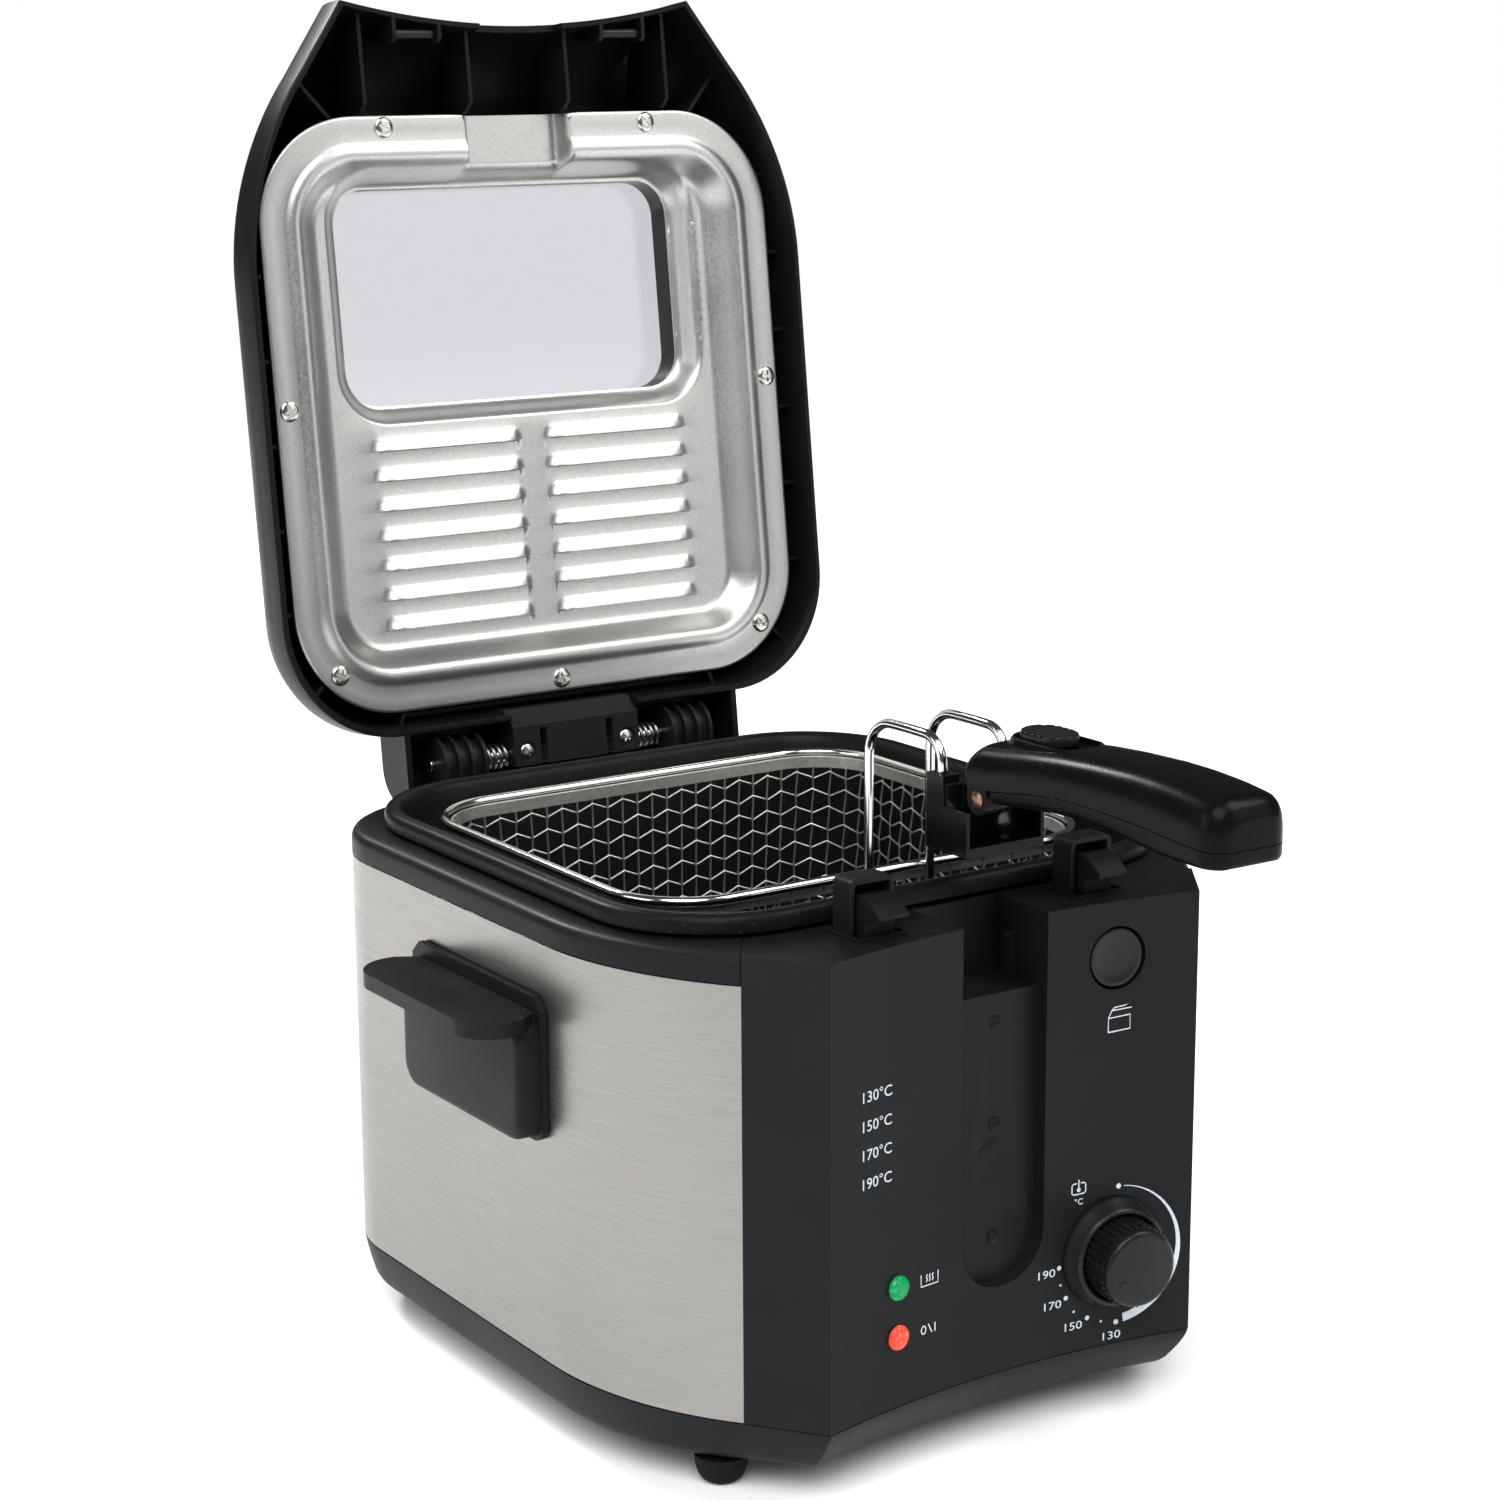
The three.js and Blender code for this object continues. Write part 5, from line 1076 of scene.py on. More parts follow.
    def _feet(self) -> None:
        """Four rounded rubber feet."""
        high = self.foot_height
        profile = [(0, 0), (4.6, 0.0), (5.6, 0.3), (6.9, 1.3), (7.9, 2.8), (8.7, 4.9), (9.1, 7.2), (9.2, high - SEAM),
                   (3, high - SEAM), (3, high + 5), (0, high + 5)]
        for side, across in SIDES:
            for y, end in zip(self.foot_y, ("front", "back")):
                make(Form().turned(profile, 36), f"rubber_foot_{end}_{across}", Body.HOUSING, Finishes.rubber,
                     [f"foot_{end}_{across}"], place=put_at((side * self.foot_x, y, 0)))


# ----- the lid
SCREW_HEAD = 4.05  # radius of the liner's screw heads


def depth_inside(x: float, y: float, half_x: float, half_y: float, radius: float) -> float:
    """Distance from a point to a rounded rectangle's edge.

    Args:
        x, y: The point, from the rectangle's middle.
        half_x, half_y: Half sizes.
        radius: Corner radius.

    Returns:
        The distance, positive inside.
    """
    ax, ay = abs(x) - half_x + radius, abs(y) - half_y + radius
    return radius - hypot(max(ax, 0), max(ay, 0)) - min(max(ax, ay), 0)


def along(profile: Sequence[Flat], where: float) -> float:
    """The height of a profile of (distance, height) points at a distance.

    Args:
        profile: Points of (distance, height).
        where: The distance.

    Returns:
        The height there.
    """
    if where <= profile[0][0]:
        return profile[0][1]
    for (a, low), (b, high) in zip(profile, profile[1:]):
        if where <= b:
            return low + (high - low) * (where - a) / (b - a)
    return profile[-1][1]


def cross_screw(radius: float) -> Form:
    """A pan-head screw that faces down, with a cross recess.

    Args:
        radius: Radius of the head.

    Returns:
        The head, its seat at z = 0.
    """
    k = radius / SCREW_HEAD
    profile = [(0, -1.1), (1.6, -1.07), (2.9, -0.92), (3.7, -0.6), (SCREW_HEAD, -0.1), (SCREW_HEAD, 0.0), (0, 0.0)]
    head = Form().turned([(r * k, z) for r, z in profile], 28)
    return head.cut(*(Form().box((-a * k, a * k), (-b * k, b * k), (-3, -0.45))
                      for a, b in ((2.3, 0.42), (0.42, 2.3))))


@dataclass
class Liner:
    """The stamped liner: beaded edge, hoop trough, window pocket and two columns of louvres."""

    cy: float = 15.9
    half: float = 114.4
    radius: float = 42.0
    flange: float = 197.3
    panel: float = 205.3
    rim: float = 214.0
    sheet: float = 0.8
    trough_half: float = 22.0
    trough_length: float = 27.0
    window_y: float = -30.0
    window_x_half: float = 76.0
    window_y_half: float = 42.0
    window_radius: float = 14.0
    pocket: float = 8.0
    rows: int = 7
    pitch: float = 11.6
    first: float = 26.5
    inner: float = 4.6
    outer: float = 72.7
    rise: float = 2.5

    def build(self) -> None:
        """Builds the sheet and its screws."""
        make(self._sheet(), "lid_liner_sheet", Body.LID, Finishes.liner, ["lid_liner"], crease=48)
        self._screws()

    def window(self, grow: float = 0.0, steps: int = 12, rounder: Optional[float] = None) -> Outline:
        """The window's outline, grown on all sides.

        Args:
            grow: How far.
            steps: Chords in each corner.
            rounder: How much the corner radius grows; the same by default.

        Returns:
            The outline.
        """
        radius = self.window_radius + (grow if rounder is None else rounder)
        return round_rect(self.window_x_half + grow, self.window_y_half + grow, radius, self.window_y, steps)

    def _edge_profile(self) -> list[Flat]:
        """Height of the sheet by distance from its edge.

        Returns:
            Points of (distance, height).
        """
        low, high = self.flange, self.panel
        return [(0.0, low + 0.5), (0.5, low + 0.1), (1.2, low), (9.6, low), (10.8, low - 0.25), (12.0, low - 0.9),
                (13.2, low - 1.35), (14.6, low - 1.5), (16.0, low - 1.25), (17.2, low - 0.5), (18.6, low + 0.9),
                (20.6, low + 3.2), (22.8, low + 5.6), (24.6, low + 7.1), (26.4, low + 7.8), (28.4, high), (400, high)]

    def height(self, x: float, y: float) -> float:
        """Height of the sheet's visible side at a place.

        Args:
            x, y: The place.

        Returns:
            The height.
        """
        inset = depth_inside(x, y - self.cy, self.half, self.half, self.radius)
        z = along(self._edge_profile(), inset)
        end = self.cy - self.half + self.trough_length
        share = eased((self.trough_half + 1.8 - abs(x)) / 3.6) * eased((end + 2 - y) / 4)
        z += (self.panel - z) * share
        out = -depth_inside(x, y - self.window_y, self.window_x_half, self.window_y_half, self.window_radius)
        z += (self.rim - z) * eased((self.pocket - out) / self.pocket)
        return z - self._louvre(x, y)

    def _louvre(self, x: float, y: float) -> float:
        """How far a louvre stands out at a place.

        Args:
            x, y: The place.

        Returns:
            The distance.
        """
        row = round((y - self.first) / self.pitch)
        if not 0 <= row < self.rows:
            return 0.0
        down = y - self.first - row * self.pitch
        if not -3.2 < down < 2.95:
            return 0.0
        middle = (self.inner + self.outer) / 2
        left = (self.outer - self.inner) / 2 - abs(abs(x) - middle)
        ends = min(eased(left / 6.5) * 1.25, 1.0)
        climb = min((down + 3.2) / 5.6, 1.0)
        return self.rise * ends * climb * (1.0 if down < 2.75 else max(0.0, (2.95 - down) / 0.2))

    def _sheet(self) -> Form:
        """The pressed sheet as one skin with a back.

        Returns:
            The sheet.
        """
        spots: list[Flat] = []
        edges: list[tuple[int, int]] = []

        def lay(places: Outline, joins: int) -> None:
            """Adds points to the sheet.

            Args:
                places: The points.
                joins: How many of them the mesh has to tie to the next one.
            """
            start, count = len(spots), len(places)
            spots.extend(places)
            edges.extend((start + i, start + (i + 1) % count) for i in range(joins))

        insets = [0, 0.5, 1.2, 5, 9.6, 10.4, 11.2, 12, 12.8, 13.6, 14.6, 15.6, 16.4, 17.2, 17.9, 18.6, 19.6, 20.6,
                  21.7, 22.8, 23.7, 24.6, 25.5, 26.4, 27.4, 28.4]
        for inset in insets:
            edge = round_rect(self.half - inset, self.half - inset, self.radius - inset, self.cy, 20)
            places = self._dense(edge)
            lay(places, 0 if inset else len(places))
        places = self._dense(self.window(0.0, 14))
        lay(places, len(places))
        for grow in (0.7, 1.5, 2.5, 3.5, 4.5, 5.5, 6.5, 7.3, 8.0):
            spots.extend(p for p in self._dense(self.window(grow, 14))
                         if p[1] > self.window_y - self.window_y_half + 0.1 or grow < 4)
        front = self.cy - self.half
        for reach in (20.2, 20.8, 21.5, 22.3, 23.1, 23.8):
            for side in (-1, 1):
                lay([(side * reach, front + 0.6 + k * 1.4) for k in range(21)], 20)
        for d in (-2, -1, 0, 1, 2):
            lay([(k * 2.24, front + self.trough_length + d) for k in range(-9, 10)], 18)
        across = (0, 1.1, 2.3, 3.4, 4.6, *(4.6 + 5.9 * k for k in range(1, 10)), 63.5, 64.7, 65.8, 66.9, 68.1)
        columns = sorted({round(s * (self.inner + d), 3) for s in (-1, 1) for d in across})
        lines = [self.first + row * self.pitch + d for row in range(self.rows)
                 for d in (-3.2, -2.2, -1.2, -0.2, 0.8, 1.8, 2.4, 2.72, 2.97)]
        spots.extend((x, y) for y in lines for x in columns)
        solved = delaunay_2d_cdt([Vector(p) for p in spots], edges, [], 0, 1e-4)
        made = Form()
        made.points = [(v.x, v.y, self.height(v.x, v.y)) for v in solved[0]]
        for face in solved[2]:
            cx = sum(solved[0][i].x for i in face) / 3
            cy = sum(solved[0][i].y for i in face) / 3
            if self._solid_at(cx, cy):
                made.faces.append(list(face))
        return self._backed(made)

    def _dense(self, outline: Outline, longest: float = 4.0) -> Outline:
        """The outline with points added on its long straights.

        Args:
            outline: The closed outline.
            longest: Longest step that stays.

        Returns:
            The denser outline.
        """
        dense: Outline = []
        for a, b in zip(outline, outline[1:] + outline[:1]):
            steps = max(1, ceil(hypot(b[0] - a[0], b[1] - a[1]) / longest))
            dense.extend((a[0] + (b[0] - a[0]) * i / steps, a[1] + (b[1] - a[1]) * i / steps) for i in range(steps))
        return dense

    def _solid_at(self, x: float, y: float) -> bool:
        """Whether there is sheet at a place: not in the window or a louvre's mouth.

        Args:
            x, y: The place.

        Returns:
            True where there is sheet.
        """
        if depth_inside(x, y - self.cy, self.half, self.half, self.radius) < 0:
            return False
        if depth_inside(x, y - self.window_y, self.window_x_half, self.window_y_half, self.window_radius) > 0:
            return False
        row = round((y - self.first) / self.pitch)
        down = y - self.first - row * self.pitch
        mouth = self.inner + 3.2 < abs(x) < self.outer - 3.2 and 2.72 < down < 2.97
        return not (mouth and 0 <= row < self.rows)

    def _backed(self, skin: Form) -> Form:
        """The skin given its sheet thickness on the far side.

        Args:
            skin: The visible side.

        Returns:
            The solid sheet.
        """
        count = len(skin.points)
        made = Form()
        made.points = skin.points + [(x, y, z + self.sheet) for x, y, z in skin.points]
        made.faces = [list(f) for f in skin.faces] + [[i + count for i in reversed(f)] for f in skin.faces]
        edges = dict.fromkeys((a, b) for f in skin.faces for a, b in zip(f, f[1:] + f[:1]))
        made.faces.extend([b, a, a + count, b + count] for a, b in edges if (b, a) not in edges)
        return made

    def _screws(self) -> None:
        """Cross-head screws round the flange."""
        crossed = cross_screw(SCREW_HEAD)
        pairs = ((59.1, -94.0), (109.0, 11.1), (97.6, 113.1))
        spots = [(s * x, y) for x, y in pairs for s in (-1, 1)] + [(0.0, 125.2)]
        for number, (x, y) in enumerate(spots, 1):
            make(crossed, f"liner_screw_{number}", Body.LID, Finishes.screw, edge=0.12, crease=40,
                 place=put_at((x, y, self.flange), 23 * number))


@dataclass
class Lid:
    """The lid: domed shell with ribs, catch bars, window and filter."""

    rim: float = 188.3
    roof: float = 228.3
    roof_inset: float = 40.0
    straight: float = 11.0
    wall: float = 2.5
    overhang: float = 0.8
    nose: float = 3.0
    hood_radius: float = 13.8
    hood_half: float = 77.0
    filter_half: float = 66.0
    filter_y: Flat = (27.0, 89.0)
    glass: float = 2.5
    bar_y: float = -128.6
    bar_z: float = 192.6
    holder_off: float = 9.7
    liner: Liner = field(default_factory=Liner)

    def build(self) -> None:
        """Builds the lid."""
        self._shell()
        self._window()
        self._bars()
        self._filter()
        self.liner.build()

    def _level(self, inset: float, z: float) -> Loop:
        """The lid's outline drawn in, at a height."""
        ring = PLAN.drawn_in(-self.overhang, -self.nose)
        return [(x * (1 - inset / PLAN.half_width), y * (1 - inset / PLAN.half_depth), z) for x, y in ring]

    def _vault(self, foot: Outline, inset: float, top: float, steps: int) -> Form:
        """A dome on the lid's outline: straight to begin with, then a quarter turn to the roof.

        Args:
            foot: Inset and height of the rings below the turn.
            inset: How far the turn draws the outline in.
            top: Height of the roof.
            steps: Rings of the turn.

        Returns:
            The solid dome.
        """
        first, start = foot[-1]
        turns = [radians(90 * k / steps) for k in range(1, steps + 1)]
        rings = foot + [(first + inset * (1 - cos(t)), start + (top - start) * sin(t)) for t in turns]
        return Form().loft([self._level(*ring) for ring in rings])

    def _shell(self) -> None:
        """The domed shell with everything moulded on it."""
        rim, start, wall = self.rim, self.rim + self.straight, self.wall
        dome = self._vault([(0.7, rim), (0.15, rim + 0.5), (0, rim + 1.4), (0, start - 4), (0, start)],
                           self.roof_inset, self.roof, 12)
        shell = dome.cut(self._vault([(wall - 0.4, rim - 1), (wall, rim + 2), (wall + 0.6, start)],
                                     self.roof_inset - wall, self.roof - wall, 8))
        shell = shell.cut(Form().prism(self.liner.window(3.2, rounder=3), 214, 240),
                          Form().box((-self.filter_half, self.filter_half), self.filter_y, (214, 240)))
        shell = shell.fused(*self._ribs(dome)).fused(*self._hood())
        handle_notch = Form().box((-18.4, 18.4), (-160, -122), (rim - 2, 194.0))
        block_room = Form().box((-29.3, 29.3), (134.2, 170), (rim - 1, 203.4))
        make(shell.cut(handle_notch, block_room), "lid_dome", Body.LID, Finishes.lid, ["lid_shell"], edge=0.4,
             crease=33)

    def _ribs(self, dome: Form) -> list[Form]:
        """Gussets between the skirt and the liner's edge, and the catch bars' holders.

        Args:
            dome: The outer shape that trims them.

        Returns:
            The ribs.
        """
        line, roof, front = self.liner, self.roof + 4, self.liner.cy - self.liner.half
        low = line.flange + 1.4
        clear = Form().prism(round_rect(line.half + 0.6, line.half + 0.6, line.radius, line.cy), 180, 240)
        blade = [(-145, low - 5), (front - 4.5, low - 5), (front - 0.6, low - 0.2), (front - 0.6, roof), (-145, roof)]
        blades = [Form().bar_x(blade, s * x - 0.8, s * x + 0.8) for s in (-1, 1) for x in (22.0, 68.0)]
        sides = [Form().box((s * 100, s * 130), (y - 0.7, y + 0.7), (low, roof)) for s in (-1, 1)
                 for y in (-72, -40, -8, 24, 56, 88)]
        slants = [Form().box((-30, 30), (-0.7, 0.7), (low, roof)).placed(put_at((s * x, y, 0), -s * turn))
                  for s in (-1, 1) for x, y, turn in ((88, -106, 49), (101, 113, -44), (70, 128, -70))]
        trimmed = [rib.common(dome).cut(clear) for rib in (*blades, *sides, *slants)]
        y, z = self.bar_y, self.bar_z
        shape = [(-138, z - 4.2), (y + 1.5, z - 4.2), (y + 3.4, z - 2.4), (y + 3.4, z + 3.4), (y - 1, z + 22),
                 (-138, z + 22)]
        places = [s * PLAN.control_x + end * self.holder_off for s in (-1, 1) for end in (-1, 1)]
        return trimmed + [Form().bar_x(shape, x - 0.8, x + 0.8).common(dome) for x in places]

    def _hood(self) -> list[Form]:
        """The curved cover over the hinge with its side walls.

        Returns:
            The cover and its walls.
        """
        y, z = HINGE
        r, w = self.hood_radius, self.hood_half
        back = PLAN.half_depth - 6
        cover = [(back, z + r - 2), *arc(y, z, r - 2, 90, -8, 20), *arc(y, z, r, -8, 90, 22), (back, z + r)]
        wall = [(back + 4, self.rim + 0.3), (y + 6, self.rim + 0.3), *arc(y, z, r - 0.3, -30, 90, 16),
                (back + 4, z + r - 0.3)]
        walls = [Form().bar_x(wall, s * w, s * (w - self.wall)) for s in (-1, 1)]
        return [Form().bar_x(cover, -w, w), *walls]

    def _window(self) -> None:
        """The pane and the dark frame that seats it."""
        win = self.liner
        seat, high = win.rim + win.sheet + SEAM, self.roof - self.glass - SEAM
        outer, inner = win.window(2.6), win.window()
        loops = [at_height(outer, seat), at_height(inner, seat), at_height(inner, high), at_height(outer, high)]
        make(Form().loft(loops, closed=True), "window_seal", Body.LID, Finishes.satin, ["window_frame"], edge=0.4,
             crease=40)
        pane = Form().prism(win.window(2.8, rounder=2.6), self.roof - self.glass, self.roof)
        make(pane, "window_pane", Body.LID, Finishes.glass, ["window_glass"], edge=0.35, crease=40)

    def _bars(self) -> None:
        """The two bars that the latches hook over."""
        for side, name in SIDES:
            x = side * PLAN.control_x
            rod = Form().rod((x - 8.6, self.bar_y, self.bar_z), (x + 8.6, self.bar_y, self.bar_z), 2.0, 20)
            make(rod, f"catch_rod_{name}", Body.LID, Finishes.satin, [f"catch_bar_{name}"], edge=0.3)

    def _filter(self) -> None:
        """The slotted filter cover on the lid's outside and the felt under it."""
        g, half, roof = 0.4, self.filter_half, self.roof
        low, high = self.filter_y
        plate = Form().box((-half + g, half - g), (low + g, high - g), (roof - self.wall, roof))
        slots = [Form().prism(self._slot(s * (half / 2 - 1), low + 11 + 8 * k, half / 2 - 7), 220, 235)
                 for s in (-1, 1) for k in range(6)]
        tab = Form().prism(stadium(5, 9, 0), roof - 2, roof - 0.2).placed(put_at((0, high - 5.2, 0), 90))
        make(plate.cut(*slots).fused(tab), "filter_grille", Body.LID, Finishes.satin, ["filter_cover"], edge=0.4,
             crease=40)
        mat = Form().box((-half + 2, half - 2), (low + 2, high - 2),
                         (self.liner.panel + 1.1, roof - self.wall - SEAM))
        make(mat, "filter_felt", Body.LID, Finishes.felt, ["filter_mat"], edge=1.2, segments=3)

    @staticmethod
    def _slot(cx: float, cy: float, half: float) -> Outline:
        """A slot with round ends along X."""
        return [(cx + y, cy - x) for x, y in stadium(1.6, half, 0, 6)]


# ----- the basket
def evenly(outline: Outline, count: int) -> Outline:
    """Equally spaced points round a closed outline.

    Args:
        outline: The closed outline.
        count: Number of points.

    Returns:
        The points, starting at the outline's first.
    """
    ring = [Vector(p) for p in outline] + [Vector(outline[0])]
    lengths = [(b - a).length for a, b in zip(ring, ring[1:])]
    step, spots, k, done = sum(lengths) / count, [], 0, 0.0
    for i in range(count):
        target = i * step
        while done + lengths[k] < target:
            done += lengths[k]
            k += 1
        spots.append(tuple(ring[k].lerp(ring[k + 1], (target - done) / max(lengths[k], 1e-6))))
    return spots


@dataclass
class Basket:
    """The wire basket, its two hoops and the bracket that carries the handle."""

    cy: float = 18.5
    half_x: float = 96.0
    half_y: float = 84.8
    radius: float = 30.0
    rim_z: float = 192.0
    rim_wire: float = 1.8
    depth: float = 89.0
    taper: float = 4.2
    bend: float = 9.0
    strand: float = 0.42
    slant: float = 1.5
    pitch: float = 7.0
    crimp: float = 0.4
    hem: float = 5.5
    hoop_x: float = 13.0
    hoop_wire: float = 1.65
    hoop_top: float = 249.5
    hoop_y: float = -111.0
    back_corner: float = 13.0
    front_corner: float = 9.0
    bracket_half: float = 16.2
    bracket_y: Flat = (-128.5, -106.7)
    bracket_z: Flat = (211.0, 236.5)
    column: float = 6.8
    block_top: float = 226.3
    scoop: float = 15.0
    tongue_half: float = 8.6
    pivot: Flat = (-132.5, 231.7)
    lug: float = 4.7
    pin: float = 2.2

    def build(self) -> None:
        """Builds the basket from the rim down, then what hangs on it."""
        self._rim()
        self._mesh()
        self._hoops()
        self._bracket()

    def _outline(self, inset: float) -> Outline:
        """The basket's outline drawn in."""
        return round_rect(self.half_x - inset, self.half_y - inset, self.radius - inset, self.cy, 14)

    def _rim(self) -> None:
        """The thick rim wire."""
        path = at_height(self._outline(0), self.rim_z)
        make(Form().tube(path, self.rim_wire, 16, closed=True), "basket_rim_wire", Body.BASKET, Finishes.wire,
             ["basket_rim"], crease=60)

    def _mesh(self) -> None:
        """Woven wire net: crimped uprights and rounds, a floor grid and a hem folded at the rim."""
        gap = self.rim_wire + 0.7
        low = self.rim_z - self.depth + self.strand
        wall_top, wall_low = self.rim_z - 1.4, low + self.bend
        length = 4 * (self.half_x + self.half_y - 2 * self.radius) + 2 * pi * self.radius
        count, rows = 2 * round(length / self.pitch / 2), round((wall_top - wall_low) / self.pitch)
        levels = [(gap + self.taper * k / rows, wall_top + (wall_low - wall_top) * k / rows) for k in range(rows + 1)]
        for turn in (30, 60, 90):
            t = radians(turn)
            levels.append((gap + self.taper + self.bend * (1 - cos(t)), wall_low - self.bend * sin(t)))
        rings = [[evenly(self._outline(inset + side * self.crimp), count) for side in (-1, 1)] for inset, _ in levels]
        net = Form()
        for i in range(count):
            path = [(*rings[k][(i + k) % 2][i], z) for k, (_, z) in enumerate(levels)]
            net.tube(path, self.strand, 6)
        for k, (_, z) in enumerate(levels[1:-1], 1):
            slant = self.slant * (1 if k % 2 else -1) if k < rows else 0
            ring = [(*rings[k][(i + k + 1) % 2][i], z + (slant if i % 2 else -slant)) for i in range(count)]
            net.tube(ring, self.strand, 6, closed=True)
        self._floor_grid(net, gap + self.taper + self.bend, low)
        sheet = [(gap - 0.2, wall_top + 0.6), (gap - 0.2, self.rim_z - self.hem),
                 (gap + 0.9, self.rim_z - self.hem), (gap + 0.9, wall_top + 0.6)]
        hem = Form().loft([at_height(self._outline(inset), z) for inset, z in sheet], closed=True)
        make(net, "basket_net", Body.BASKET, Finishes.net, ["basket_mesh"], crease=70)
        make(hem, "basket_hem", Body.BASKET, Finishes.hem, edge=0.2)

    def _floor_grid(self, net: Form, inset: float, low: float) -> None:
        """Wires of the floor, woven the same way as the wall.

        Args:
            net: Form that takes the wires.
            inset: Distance of the floor's edge from the rim.
            low: Height of the floor.
        """
        radius = self.radius - inset
        for across in (True, False):
            reach, other = (self.half_x, self.half_y) if across else (self.half_y, self.half_x)
            reach, other = reach - inset, other - inset
            lines = int(2 * other / self.pitch)
            for i in range(lines + 1):
                place = (i - lines / 2) * self.pitch
                over = max(abs(place) - (other - radius), 0)
                half = reach - radius + sqrt(max(radius ** 2 - over ** 2, 0))
                steps = int(2 * half / self.pitch)
                path = []
                for k in range(steps + 1):
                    run = (k / steps * 2 - 1) * half
                    z = low + self.crimp * (1 if (i + k + across) % 2 else -1) + self.crimp
                    path.append((run, self.cy + place, z) if across else (place, self.cy + run, z))
                net.tube(path, self.strand, 6)

    def _hoops(self) -> None:
        """Two hoops that climb outside the net and drop into the bracket."""
        rim, drop, bend, dip = self.rim_z, self.hoop_y, self.back_corner, self.front_corner
        r, top = self.hoop_wire, self.hoop_top - self.hoop_wire
        front = self.cy - self.half_y
        leg, foot = front - self.rim_wire - r - SEAM, front + self.rim_wire + self.taper - r - SEAM
        low = rim - self.depth + 12
        line = [(foot, low), (foot - 1.6, low + 31), (foot - 3.2, low + 58), (leg, rim - 6),
                (leg, rim + 6), (leg, rim + 24), (leg, top - bend - 4),
                *arc(leg - bend, top - bend, bend, 0, 90, 8),
                *arc(drop + dip, top - dip, dip, 90, 180, 8),
                (drop, top - dip - 4), (drop, self.bracket_z[1] - 8)]
        for side, name in SIDES:
            path = smooth_line([(side * self.hoop_x, y, z) for y, z in line], 3)
            make(Form().tube(path, r, 16), f"hoop_wire_{name}", Body.BASKET, Finishes.wire,
                 [f"basket_hoop_{name}"], crease=60)

    def _bracket(self) -> None:
        """Moulded bracket: two columns with sockets, a scooped block and the tongue of the pivot."""
        half, (y0, y1), (z0, z1) = self.bracket_half, self.bracket_y, self.bracket_z
        front = self.hoop_y - self.hoop_wire - 3
        columns = [Form().box((s * half, s * (half - self.column)), (front, y1), (z0, z1)) for s in (-1, 1)]
        web = Form().box((-half + 1, half - 1), (front - 1, front + 6), (z0 + 1, z1 - 3))
        block = Form().box((-half, half), (y0, self.hoop_y), (z0, self.block_top))
        hollow = [(y0 - 1, self.block_top + 3), *arc(y0 - 1, self.block_top + 3, self.scoop, -90, 0, 20)]
        block = block.cut(Form().bar_x(hollow, -half + 1.4, half - 1.4))
        (py, pz), back = self.pivot, self.hoop_y - 3
        tongue = Form().bar_x([(back, self.block_top - 6), (py + 5, pz - 4.4), *arc(py, pz, self.lug, -60, -300, 28),
                               (back, z1 - 3)], -self.tongue_half, self.tongue_half)
        bore = Form().rod((-30, py, pz), (30, py, pz), self.pin + SEAM, 32)
        sockets = [Form().rod((s * self.hoop_x, self.hoop_y, z1 - 8.3), (s * self.hoop_x, self.hoop_y, z1 + 2),
                              self.hoop_wire + SEAM, 24) for s in (-1, 1)]
        groove = Form().box((12.8, half + 1), (-112.6, -107.4), (z0 - 1, 225.5))
        whole = columns[0].fused(columns[1], web, block, tongue).cut(*sockets, groove, bore)
        make(whole, "basket_bracket_block", Body.BASKET, Finishes.gloss, ["basket_bracket"], edge=0.5, segments=3,
             crease=30)


